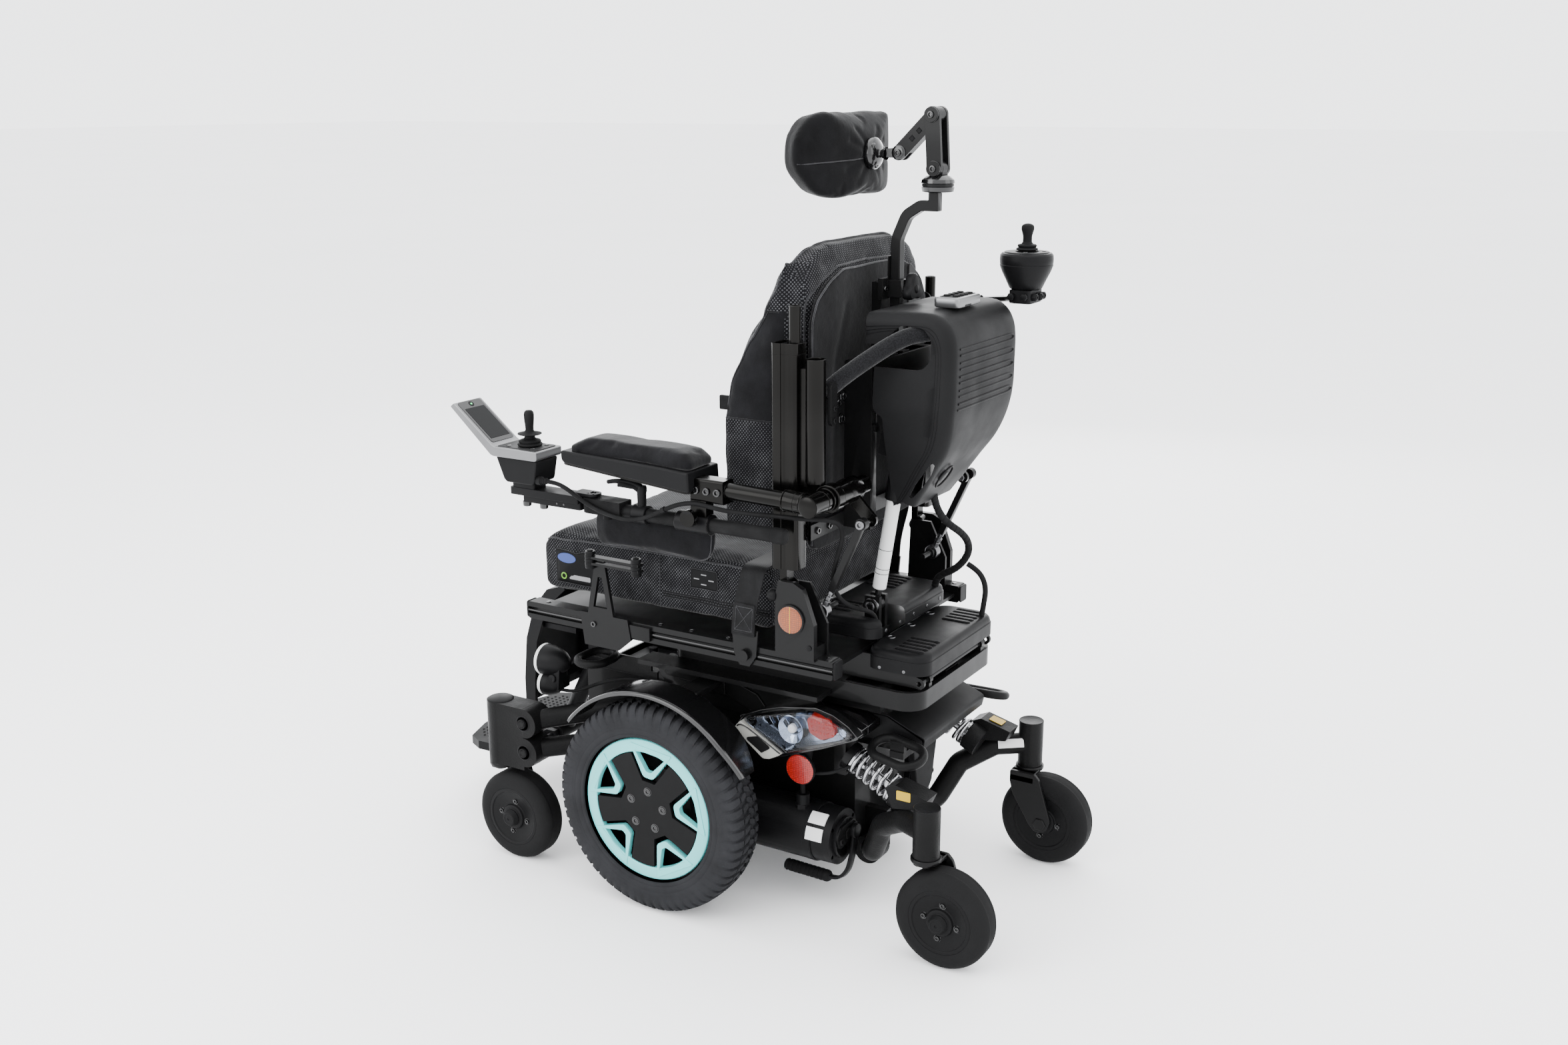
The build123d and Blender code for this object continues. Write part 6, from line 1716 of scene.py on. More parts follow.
def headrest_details():
    """Bolts with washers at each pivot, and the stacked collars."""
    refined("headrest_post", "powder", 1.2)
    refined("headrest_lower_link", "powder", 1.0)
    refined("headrest_upper_link", "powder", 1.2)
    for name, body, x, y, z in (("base", "headrest_lower_link", 16, 348, 1182),
                                ("elbow", "headrest_lower_link", 16, 343, 1260),
                                ("tip", "headrest_upper_link", 9, 286, 1204)):
        for way in (1, -1):
            work = bmesh.new()
            place = Vector((way * x, y, z))
            lathe(work, place, (way, 0, 0), [(0, 11.6), (1.4, 11.4), (2, 10.6), (2.4, 8.8), (3.0, 8.6),
                                             (3.2, 7.4), (3.2, 0)], 40)
            screw_head(work, place + Vector((way * 3, 0, 0)), (way, 0, 0), 5.4, 3.4, 0.55)
            mesh_piece(f"head_bolt_{name}_{'right' if way > 0 else 'left'}", to_mesh("head_bolt", work),
                       body, "gloss")
    collar = bmesh.new()
    lathe(collar, (0, 348, 0), (0, 0, 1), [(1147, 8), (1147, 20), (1149, 24), (1155, 25.4), (1156, 24),
                                           (1156, 15), (1160, 15),
                                           (1160, 24), (1161, 25.6), (1166, 24.6), (1171, 19), (1174, 12),
                                           (1174, 8)], 56)
    for turn in (20, 140, 260):
        a = math.radians(turn)
        rod(collar, (21 * math.cos(a), 348 + 21 * math.sin(a), 1153),
            (21 * math.cos(a), 348 + 21 * math.sin(a), 1163), 2.6, 12)
    mesh_piece("head_collar", to_mesh("head_collar", collar), "headrest_post", "gloss")
    pads = bmesh.new()
    for share in (0.42, 0.62):
        middle = Vector((9.0, 343 - 57 * share, 1260 - 56 * share))
        for way in (1, -1):
            lathe(pads, Vector((way * 9.0, middle.y, middle.z)), (way, 0, 0),
                  [(0, 5.2), (0.8, 5.0), (1.0, 4.4), (0.4, 3.6), (0.4, 0)], 4)
    mesh_piece("link_pads", to_mesh("link_pads", pads), "headrest_upper_link", "satin")


def amber_side(side, sign):
    """Round reflector with a painted highlight streak down its face, the ball knob and the bracket's bolts
    beside the cane.
    """
    disc = bmesh.new()
    place = Vector((242, 236, 524))
    lathe(disc, place, (1, 0, 0), [(0, 24), (2.4, 24), (3.2, 23.2), (2.6, 22), (2.0, 21.8), (2.0, 0)], 64)
    mesh_piece(f"amber_rim_{side}", to_mesh("amber_rim", added(disc, sign)), "seat", "satin")
    face = bmesh.new()
    lathe(face, place + Vector((1.9, 0, 0)), (1, 0, 0),
          [(0, 21.6), (0.8, 21.5), (1.3, 20.6), (1.5, 14), (1.6, 0)], 64)
    mesh_piece(f"amber_face_{side}", to_mesh("amber_face", added(face, sign)), "seat", "amber_reflector")
    # A thin yellow strip down the reflector's face: a painted highlight, not a part of the reflector.
    line = bmesh.new()
    brick(line, (245.3, 235.6, 503), (245.7, 236.4, 545))
    mesh_piece(f"amber_painted_highlight_{side}", to_mesh("amber_painted_highlight", added(line, sign)), "seat", "label_yellow")
    knob = bmesh.new()
    lathe(knob, (238, 216, 557), (0, -1, 0), [(0, 4), (6, 4), (6.6, 6.6), (9, 9), (14, 10), (18.4, 9),
                                              (21.6, 6), (23, 0)], 40)
    lathe(knob, (242, 268, 484), (1, 0, 0), [(0, 4.4), (1.4, 4.2), (1.8, 3.4), (1.8, 0)], 20)
    mesh_piece(f"ball_knob_{side}", to_mesh("ball_knob", added(knob, sign)), "seat", "satin")


def thigh_bracket(side, sign):
    """Knuckles of the two-bar linkage, the rail's clamp bolts and the belt anchor's bolt."""
    work = bmesh.new()
    for y in (-140, -48):
        lathe(work, (246, y, 548), (0, 0, 1),
              [(0, 0), (0, 5), (1, 8), (5, 8.6), (6, 7.6), (7, 8.8), (11, 8.8), (12, 7.6), (13, 8.8),
                                               (17, 8.8), (18, 7.6), (19, 8.8), (23, 8.8), (24, 7.6),
                                               (25, 8.4), (29, 8), (30, 5),
                                               (32, 4.6), (33, 0)], 32)
    mesh_piece(f"thigh_knuckles_{side}", to_mesh("thigh_knuckles", added(work, sign)), "seat", "satin")
    bolts = bmesh.new()
    for y, z, r in ((-140, 452, 5), (152, 452, 7)):
        screw_head(bolts, Vector((241.5, y, z)), (1, 0, 0), r, 3.2, 0.5)
    for y in (-250, -20, 40, 110, 200, 290):
        lathe(bolts, (222, y, 465.4), (0, 0, 1), [(0, 4.4), (1.2, 4.2), (1.6, 3.4), (1.6, 0)], 20)
    mesh_piece(f"rail_bolts_{side}", to_mesh("rail_bolts", added(bolts, sign)), "seat", "gloss")
    groove = bmesh.new()
    brick(groove, (233.4, -284, 450), (235.4, 304, 452.4))
    mesh_piece(f"rail_line_{side}", to_mesh("rail_line", added(groove, sign)), "seat", "gloss")
    cap = bmesh.new()
    prism(cap, "XZ", round_corners([(209.5, 436.5), (234.5, 436.5), (234.5, 465.5), (209.5, 465.5)], 4, 4),
          -288.5, -285)
    prism(cap, "XZ", round_corners([(209.5, 436.5), (234.5, 436.5), (234.5, 465.5), (209.5, 465.5)], 4, 4),
          305, 308)
    mesh_piece(f"rail_caps_{side}", to_mesh("rail_caps", added(cap, sign)), "seat", "satin", 0.8, 2)


def rear_lid(half, y, z, radius, ribs):
    """Moulded lid: rounded top edge, a stepped lip and raised ribs across the top."""
    work = bmesh.new()
    rings = []
    for height, grow in ((z[0], 0), (z[1] - 13, 0), (z[1] - 12.4, -1.2), (z[1] - 9, -1.2), (z[1] - 5, -2.2),
                         (z[1] - 2, -4.4),
                         (z[1] - 0.6, -7.5), (z[1] - 0.2, -10.5)):
        outline = round_corners([(-half - grow, y[0] - grow), (half + grow, y[0] - grow),
                                 (half + grow, y[1] + grow),
                                 (-half - grow, y[1] + grow)], radius, 8)
        rings.append([work.verts.new((a, b, height)) for a, b in outline])
    for low, high in zip(rings, rings[1:]):
        for i in range(len(low)):
            j = (i + 1) % len(low)
            work.faces.new((low[i], low[j], high[j], high[i]))
    work.faces.new(rings[-1])
    for a, b in ribs:
        for low, high, half in ((-1, 0.9, 5.6), (0.8, 1.7, 4.4), (1.6, 2.2, 2.8)):
            outline = [(a - half, b[0] + 5.6 - half), (a + half, b[0] + 5.6 - half),
                       (a + half, b[1] - 5.6 + half),
                       (a - half, b[1] - 5.6 + half)]
            prism(work, "XY", round_corners(outline, half * 0.95, 4), z[1] + low, z[1] + high)
    return work


def seat_lids():
    ribs = [(a, (208, 262)) for a in (-108, -94, -80, -66, -52)] + [(a, (208, 258)) for a in (52, 66, 80,
        94)]
    upper = rear_lid(129, (196, 322), (470.5, 500), 24, ribs)
    piece = mesh_piece("seat_lid_upper", to_mesh("seat_lid_upper", upper), "seat", "satin", 0.5, 2,
                       replaces=("seat_rear_covers",))
    opening = bmesh.new()
    brick(opening, (30, 264, 460), (107, 336, 510))
    cut_away(piece, opening)
    ribs = [(a, (346, 396)) for a in (-112, -98, -84, -70, -56, 56, 70, 84, 98, 112)]
    lower = rear_lid(132, (302, 409), (426, 460), 26, ribs)
    mesh_piece("seat_lid_lower", to_mesh("seat_lid_lower", lower), "seat", "satin", 0.5, 2)
    screws = bmesh.new()
    for a in (-96, -48, 0, 48, 96):
        screw_head(screws, Vector((a, 321.4, 479)), (0, 1, 0), 3, 1.4, 0.5)
    for a, b in ((0, 318), (-70, 318), (70, 318)):
        lathe(screws, Vector((a, b, 459.6)), (0, 0, 1), [(0, 7), (1, 6.6), (1.2, 4.6), (0.5, 4), (0.5, 0)],
              32)
    for b in (330, 372):
        for sign in (1, -1):
            screw_head(screws, Vector((sign * 131.6, b, 431)), (sign, 0, 0), 2.6, 1.2, 0.5)
    mesh_piece("lid_screws", to_mesh("lid_screws", screws), "seat", "steel")


def lap_belt(side, sign):
    """Webbing from its anchor over the cushion's edge, lying on the seat, with a stitched box."""
    edge = [(242.3, 150, 484), (242.8, 151, 500), (243, 153, 520), (242.5, 158, 545), (242.3, 165, 572),
            (241.6, 168, 586),
            (236, 169, 593), (226, 169, 595.4), (205, 169, 595.6), (180, 168, 595.4), (150, 166, 595.2),
            (104, 164, 595)]
    edge = smooth_line(edge, 5)
    work = bmesh.new()
    rows = []
    for i, p in enumerate(edge):
        p = Vector(p)
        ahead = Vector(edge[min(i + 1, len(edge) - 1)]) - Vector(edge[max(i - 1, 0)])
        thick = ahead.cross(Vector((0, 1, 0))).normalized() * 1.2
        share = i / (len(edge) - 1)
        half = 20.5
        cup = 1.6 * math.sin(share * 9)
        row = []
        for k in range(9):
            t = k / 4 - 1
            row.append(p + Vector((0, t * half, 0)) + thick * (cup * (1 - t * t) * 0.5))
        rows.append((row, thick))
    top = [[work.verts.new(v + n) for v in row] for row, n in rows]
    low = [[work.verts.new(v - n) for v in row] for row, n in rows]
    for i in range(len(rows) - 1):
        for k in range(8):
            work.faces.new((top[i][k], top[i][k + 1], top[i + 1][k + 1], top[i + 1][k]))
            work.faces.new((low[i][k + 1], low[i][k], low[i + 1][k], low[i + 1][k + 1]))
        work.faces.new((top[i][0], top[i + 1][0], low[i + 1][0], low[i][0]))
        work.faces.new((top[i + 1][8], top[i][8], low[i][8], low[i + 1][8]))
    for i in (0, len(rows) - 1):
        for k in range(8):
            work.faces.new((top[i][k], top[i][k + 1], low[i][k + 1], low[i][k]))
    mesh_piece(f"belt_{side}", to_mesh("belt", added(work, sign)), "seat", "web",
               replaces=("lap_belt",) if sign > 0 else (), sharp=60)
    patch_work = bmesh.new()
    outline = round_corners([(133, 489), (171, 489), (174, 536), (136, 536)], 1.5, 3)
    prism(patch_work, "YZ", outline, 243.0, 245.6)
    mesh_piece(f"belt_fold_{side}", to_mesh("belt_fold", added(patch_work, sign)), "seat", "web", 0.7, 2)
    for name, line in (("box", [(137, 493), (168, 493), (170, 531), (140, 531), (137, 493)]),
                       ("cross", [(137, 493), (170, 531)]), ("back", [(168, 493), (140, 531)])):
        points = [(sign * 245.8, y, z) for y, z in spaced_flat(line, 4)]
        tube(f"belt_{name}_{side}", points, 0.45, "seat", "thread", resolution=3)


def curve_line(points):
    """The smooth line of a cable, in metres, read from a bare curve through its control points."""
    data = bpy.data.curves.new("cable_line", "CURVE")
    data.dimensions = "3D"
    data.resolution_u = 6
    spline = data.splines.new("NURBS")
    spline.points.add(len(points) - 1)
    for point, where in zip(spline.points, points):
        point.co = (*mm(*where), 1)
    spline.order_u = 3
    spline.use_endpoint_u = True
    line = bpy.data.objects.new("cable_line", data)
    bpy.context.scene.collection.objects.link(line)
    bpy.context.view_layer.update()
    graph = bpy.context.evaluated_depsgraph_get()
    mesh = bpy.data.meshes.new_from_object(line.evaluated_get(graph), depsgraph=graph)
    path = [v.co.copy() for v in mesh.vertices]
    bpy.data.objects.remove(line)
    return path


def cable_mesh(name, path, radius, material, spiral=0.0):
    """A round tube of mesh along a path in metres. A spiral gives it a wrap of that pitch."""
    work = bmesh.new()
    rings = []
    side = (path[1] - path[0]).orthogonal().normalized()
    run = 0.0
    count = 18
    for i, p in enumerate(path):
        ahead = (path[min(i + 1, len(path) - 1)] - path[max(i - 1, 0)]).normalized()
        side = (side - ahead * side.dot(ahead)).normalized()
        over = ahead.cross(side)
        if i:
            run += (p - path[i - 1]).length / MM
        ring = []
        for k in range(count):
            a = 2 * math.pi * k / count
            r = radius
            if spiral:
                phase = (run / spiral - a / (2 * math.pi)) % 1
                r = radius if phase > 0.16 else radius * 0.86
            ring.append(work.verts.new((p + (side * math.cos(a) + over * math.sin(a)) * r * MM) / MM))
        rings.append(ring)
    for low, high in zip(rings, rings[1:]):
        for k in range(count):
            work.faces.new((low[k], low[(k + 1) % count], high[(k + 1) % count], high[k]))
    work.faces.new(rings[0][::-1])
    work.faces.new(rings[-1])
    return mesh_piece(name, to_mesh(name, work), None, material, sharp=50)


def dense(path, step):
    """The same line with its points this far apart, in metres."""
    done = [path[0]]
    for a, b in zip(path, path[1:]):
        count = max(1, round((b - a).length / step))
        done += [a.lerp(b, k / count) for k in range(1, count + 1)]
    return done


JOYSTICK_LINE = [(290, -196, 696), (290, -172, 697), (291, -148, 691), (292, -124, 679), (292, -98, 667),
                 (292, -68, 659), (292, -38, 655), (292, -10, 658), (292, 16, 667), (290, 40, 680),
                 (288, 64, 691),
                 (287, 90, 697), (286.5, 116, 695), (280, 142, 690), (271, 168, 688), (264, 196, 687),
                 (261, 222, 688),
                 (258, 244, 688)]
SEAT_LINE = [(258, 244, 688), (255.5, 262.3, 688), (244, 280, 687), (228, 294, 684), (212, 302, 676),
             (204, 304, 658),
             (200, 297, 636), (194, 287, 614), (186, 278, 593), (176, 271, 571), (166, 272, 549),
             (152, 279, 532),
             (135, 289, 521), (117, 297, 514), (102, 303, 505), (96, 306, 490), (95, 306, 475),
             (94.5, 305, 462)]
HARNESS_LINE = [(0, 352, 688), (-3, 354, 666), (-14, 360, 644), (-32, 368, 626), (-56, 374, 611),
                (-78, 378, 592),
                (-90, 376, 570), (-94, 364, 549), (-96, 346, 532), (-98, 326, 522), (-98, 312, 508),
                (-98, 311, 490)]
BRANCH_LINE = [(-95, 371, 546.5), (-97, 386, 539), (-100, 398, 524), (-102, 402, 504), (-101, 400, 484),
               (-100, 397, 461)]


def cables():
    """Joystick lead in two lengths, and the wrapped harness with its branch."""
    joystick = curve_line(JOYSTICK_LINE)
    first = cable_mesh("joystick_lead", joystick, 3.5, "rubber")
    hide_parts("joystick_cable")
    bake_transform(first)
    seat = curve_line(SEAT_LINE)
    second = cable_mesh("seat_lead", seat, 3.5, "rubber")
    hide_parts("seat_cable")
    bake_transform(second)
    trunk = dense(curve_line(HARNESS_LINE), 0.0012)
    third = cable_mesh("harness_trunk", trunk, 6, "rubber", 11)
    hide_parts("rear_harness")
    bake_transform(third)
    branch = curve_line(BRANCH_LINE)
    fourth = cable_mesh("harness_branch", branch, 4.5, "rubber")
    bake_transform(fourth)
    plug = bmesh.new()
    along = Vector((0, 24, 1)).normalized()
    lathe(plug, Vector((290, -206, 695.6)), along,
          [(0, 6.4), (1, 7), (9, 7), (10, 5.4), (11.6, 5.4), (12.2, 4.6), (13.4, 4.6), (14, 5.2),
                                                     (15.4, 5.2), (16, 4.4), (17.2, 4.4), (17.8, 4.9),
                                                     (19, 4.9), (20, 4.2), (21, 3.7)], 24)
    mesh_piece("pod_plug", to_mesh("pod_plug", plug), "joystick_housing", "rubber")
    clip = bmesh.new()
    lathe(clip, Vector((290, 36, 678)), Vector((0, 24, 12)), [(0, 3.7), (0, 5), (7, 5), (7, 3.7)], 24)
    mesh_piece("cable_clip", to_mesh("cable_clip", clip), "armrest_left", "satin", 0.4, 2)


def recline_details():
    """White tube with its thin bands and clevis, and the stiffener bar beside it."""
    foot, head = Vector((64, 288, 510)), Vector((64, 335, 800))
    along = (head - foot).normalized()
    work = bmesh.new()
    lathe(work, foot, along, [(26, 0), (26, 10), (27.5, 11), (214, 11), (214, 0)], 48)
    mesh_piece("recline_tube", to_mesh("recline_tube", work), "recline_rod", "white")
    bands = bmesh.new()
    for place in (52, 60, 92):
        lathe(bands, foot + along * place, along, [(0, 11), (0, 11.15), (1, 11.15), (1, 11)], 48)
    mesh_piece("recline_bands", to_mesh("recline_bands", bands), "recline_rod", "gloss")
    trimmed("recline_rod", "powder", lambda c: c.z < 536)
    bolt = bmesh.new()
    screw_head(bolt, Vector((84, 288, 510)), (1, 0, 0), 9, 5, 0.5)
    lathe(bolt, Vector((79, 288, 510)), (1, 0, 0), [(0, 12), (4, 12.4), (5, 11.4), (5, 0)], 40)
    mesh_piece("recline_bolt", to_mesh("recline_bolt", bolt), "recline_rod", "steel")


def flat_label(name, body, centre, across, up, size, key, lift=0.5):
    """A thin sticker with rounded corners, on a plane given by two directions."""
    across, up = Vector(across).normalized(), Vector(up).normalized()
    out = across.cross(up)
    outline = round_corners([(-size[0] / 2, -size[1] / 2), (size[0] / 2, -size[1] / 2),
                             (size[0] / 2, size[1] / 2),
                             (-size[0] / 2, size[1] / 2)], 1.6, 4)
    work = bmesh.new()
    rings = [[work.verts.new(Vector(centre) + across * a + up * b + out * h) for a,
              b in outline] for h in (-0.4, lift)]
    for i in range(len(outline)):
        j = (i + 1) % len(outline)
        work.faces.new((rings[0][i], rings[0][j], rings[1][j], rings[1][i]))
    work.faces.new(rings[0][::-1])
    work.faces.new(rings[1])
    return mesh_piece(name, to_mesh(name, work), body, key)


def tube_label(name, body, start, end, radius, toward, half_angle, key):
    """A sticker that wraps part of a round tube, on the side that faces a direction."""
    start, end = Vector(start), Vector(end)
    along = (end - start).normalized()
    out = (Vector(toward) - along * Vector(toward).dot(along)).normalized()
    side = along.cross(out)
    work = bmesh.new()
    rings = []
    for k in range(9):
        a = half_angle * (k / 4 - 1)
        lift = (out * math.cos(a) + side * math.sin(a)) * radius
        rings.append([work.verts.new(end_point + lift) for end_point in (start, end)])
    for low, high in zip(rings, rings[1:]):
        work.faces.new((low[0], low[1], high[1], high[0]))
    return mesh_piece(name, to_mesh(name, work), body, key)


def labels():
    """Blank labels: one on each rear arm's spring seat, and a long one on the right arm's tube."""
    flat_label("arm_label_left", "rear_arm_left", (176.5, 398, 247), (0, 1, 0), (0, 0, 1), (24, 15),
               "label_yellow")
    flat_label("arm_label_right", "rear_arm_right", (-158, 407, 257.2), (1, 0, 0), (0, 54, -14), (20, 24),
               "label_yellow")
    tube_label("arm_serial", "rear_arm_right", (-174, 401.6, 206.3), (-195, 439.6, 209.5), 18.5,
               (0.85, 0.35, 0.39), 0.42,
               "label_white")


def leg_details():
    """Soft-edged calf panel, grid of small studs on the footplate, and the hinge's ends."""
    refined("legrest", "satin", 1.4)
    refined("footplate", "satin", 1.4)
    studs = bmesh.new()
    for i in range(-12, 13):
        for j in range(12):
            x, y = i * 10.5, -424 - j * 10.5
            if abs(x) > 130 - max(0, (-y - 490)) * 0.75 or y < -543 + abs(x) * 0.12:
                continue
            lathe(studs, (x, y, 131.6), (0, 0, 1), [(0, 2.6), (1.0, 2.2), (1.3, 1.4), (1.4, 0)], 8)
    mesh_piece("foot_studs", to_mesh("foot_studs", studs), "footplate", "rubber")
    ends = bmesh.new()
    for sign in (1, -1):
        screw_head(ends, Vector((sign * 63, -405, 128)), (sign, 0, 0), 8, 4, 0.5)
        screw_head(ends, Vector((sign * 63, -303, 440)), (sign, 0, 0), 8, 4, 0.5)
    mesh_piece("foot_hinge_ends", to_mesh("foot_hinge_ends", ends), "footplate", "gloss")


def front_arm_details(side, sign):
    """Recessed socket bolts on the head of the front arm, and the stem's cap."""
    work = bmesh.new()
    for z in (258, 205):
        lathe(work, (271.6, -277, z), (1, 0, 0), [(0, 15), (1, 14), (1.4, 12.4), (0.4, 11.6), (0.4, 0)], 40)
        screw_head(work, Vector((272, -277, z)), (1, 0, 0), 8, 4, 0.55)
    lathe(work, (250, -343, 283.4), (0, 0, 1), [(0, 23), (1.4, 22.6), (3, 20), (3.6, 0)], 40)
    mesh_piece(f"front_head_bolts_{side}", to_mesh("front_head_bolts", added(work, sign)),
               f"front_arm_{side}", "satin")
    cap = bmesh.new()
    lathe(cap, (202, 451, 249.4), (0, 0, 1), [(0, 21.2), (1.6, 21.2), (2.4, 20.4), (1.8, 18.6), (1.4, 0)],
          48)
    mesh_piece(f"rear_stem_cap_{side}", to_mesh("rear_stem_cap", added(cap, sign)), f"rear_arm_{side}",
               "cast")


def make_details():
    back_frame_details()
    push_handle()
    switch_box()
    attendant()
    joystick_pod()
    joystick_arm()
    headrest_details()
    seat_lids()
    recline_details()
    cables()
    labels()
    leg_details()
    for side, sign in SIDES.items():
        cane(side, sign)
        armrest_details(side, sign)
        arm_axis(side, sign)
        amber_side(side, sign)
        thigh_bracket(side, sign)
        lap_belt(side, sign)
        front_arm_details(side, sign)


# ---------------------------------------------------------------- soft goods
def baked(piece):
    """The piece with its modifiers applied."""
    graph = bpy.context.evaluated_depsgraph_get()
    mesh = bpy.data.meshes.new_from_object(piece.evaluated_get(graph), depsgraph=graph)
    piece.modifiers.clear()
    piece.data = mesh
    return piece


def positions(mesh):
    flat = np.empty(len(mesh.vertices) * 3, np.float32)
    mesh.vertices.foreach_get("co", flat)
    return flat.reshape(-1, 3)


def set_positions(mesh, points):
    mesh.vertices.foreach_set("co", np.ascontiguousarray(points, np.float32).ravel())
    mesh.update()


def normals(mesh):
    flat = np.empty(len(mesh.vertices) * 3, np.float32)
    mesh.vertices.foreach_get("normal", flat)
    return flat.reshape(-1, 3)


def voxelled(name, work, size, smooth):
    """Closed shapes in millimetres as one evenly meshed, softened object, left without a body."""
    piece = bpy.data.objects.new(name, to_mesh(name, work))
    bpy.context.scene.collection.objects.link(piece)
    remesh = piece.modifiers.new("remesh", "REMESH")
    remesh.mode = "VOXEL"
    remesh.voxel_size = size * MM
    soften = piece.modifiers.new("soften", "SMOOTH")
    soften.factor = 0.5
    soften.iterations = smooth
    return baked(piece)


def inflate(piece, cap, pressure=4.0):
    """Swells the piece as cloth under pressure, each point by no more than the cap in millimetres."""
    before = positions(piece.data)
    cloth = piece.modifiers.new("cloth", "CLOTH")
    cloth.settings.quality = 5
    cloth.settings.mass = 0.3
    cloth.settings.tension_stiffness = 15
    cloth.settings.compression_stiffness = 15
    cloth.settings.bending_stiffness = 0.5
    cloth.settings.use_pressure = True
    cloth.settings.uniform_pressure_force = pressure
    cloth.settings.effector_weights.gravity = 0
    cloth.point_cache.frame_start = 1
    cloth.point_cache.frame_end = 20
    for number in range(1, 21):
        bpy.context.scene.frame_set(number)
    baked(piece)
    move = positions(piece.data) - before
    length = np.linalg.norm(move, axis=1, keepdims=True) + 1e-9
    set_positions(piece.data, before + move * np.minimum(1, cap * MM / length))
    bpy.context.scene.frame_set(1)
    return piece


def limit(piece, low, high):
    """Keeps the piece inside a box in millimetres."""
    set_positions(piece.data, np.clip(positions(piece.data), np.array(low) * MM, np.array(high) * MM))


def crease(piece, line, depth, width):
    """Draws the surface in along a line, in millimetres. A negative depth raises it."""
    points = positions(piece.data)
    line = np.array(line, np.float32) * MM
    nearest = np.full(len(points), 1e9, np.float32)
    for a, b in zip(line, line[1:]):
        span = b - a
        t = np.clip(((points - a) @ span) / (span @ span), 0, 1)
        nearest = np.minimum(nearest, np.linalg.norm(points - (a + t[:, None] * span), axis=1))
    share = np.exp(-((nearest / (width * MM)) ** 2))
    set_positions(piece.data, points - normals(piece.data) * (share * depth * MM)[:, None])


def folds(piece, seed, height, size, stretch=(1, 1, 1)):
    """Slack wrinkles in the cover, by height and size in millimetres."""
    points = positions(piece.data)
    outward = normals(piece.data)
    moved = points.copy()
    for i, p in enumerate(points):
        where = Vector((p[0] * stretch[0], p[1] * stretch[1],
                        p[2] * stretch[2])) / (size * MM) + Vector((seed, 0, 0))
        moved[i] += outward[i] * (noise.noise(where) * height * MM)
    set_positions(piece.data, moved)


def dressed(piece, rule, body, node, subdivide=1):
    """Gives faces their cloth by a rule on (centre in mm, normal), and puts the piece in its node's place."""
    mesh = piece.data
    keys = []
    mesh.materials.clear()
    for polygon in mesh.polygons:
        key = rule(polygon.center / MM, polygon.normal)
        if key not in keys:
            keys.append(key)
            mesh.materials.append(MAT[key])
        polygon.material_index = keys.index(key)
    mesh.shade_smooth()
    if subdivide:
        modifier = piece.modifiers.new("subdivide", "SUBSURF")
        modifier.levels = modifier.render_levels = subdivide
    if node:
        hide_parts(*([node] if isinstance(node, str) else node))
    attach(piece, body)
    return piece


def on_surface(piece, points, lift=0.4):
    """Points in millimetres brought to the nearest place on a piece, a little above it."""
    inverse = piece.matrix_world.inverted()
    found = []
    for point in points:
        _, place, normal, _ = piece.closest_point_on_mesh(inverse @ (Vector(point) * MM))
        found.append(tuple((piece.matrix_world @ (place + normal * lift * MM)) / MM))
    return found


def spaced(points, step):
    """Points every step along a broken line."""
    done = [Vector(points[0])]
    for a, b in zip(points, points[1:]):
        a, b = Vector(a), Vector(b)
        count = max(1, round((b - a).length / step))
        done += [a.lerp(b, k / count) for k in range(1, count + 1)]
    return [tuple(p) for p in done]


def piping(name, piece, line, radius, body, material="thread", lift=0.3, step=9):
    return tube(name, on_surface(piece, spaced(line, step), lift), radius, body, material,
                resolution=4)


def weave_by_side(centre, normal):
    if abs(normal.x) > 0.6:
        return "mesh"
    return "mesh_top" if abs(normal.z) > 0.72 else "mesh_front"


BACK_EDGE = ([640, 756, 814, 877, 937, 979, 1012, 1046, 1072, 1090],
             [85, 83, 85, 98, 125, 152, 171, 184, 193, 210])


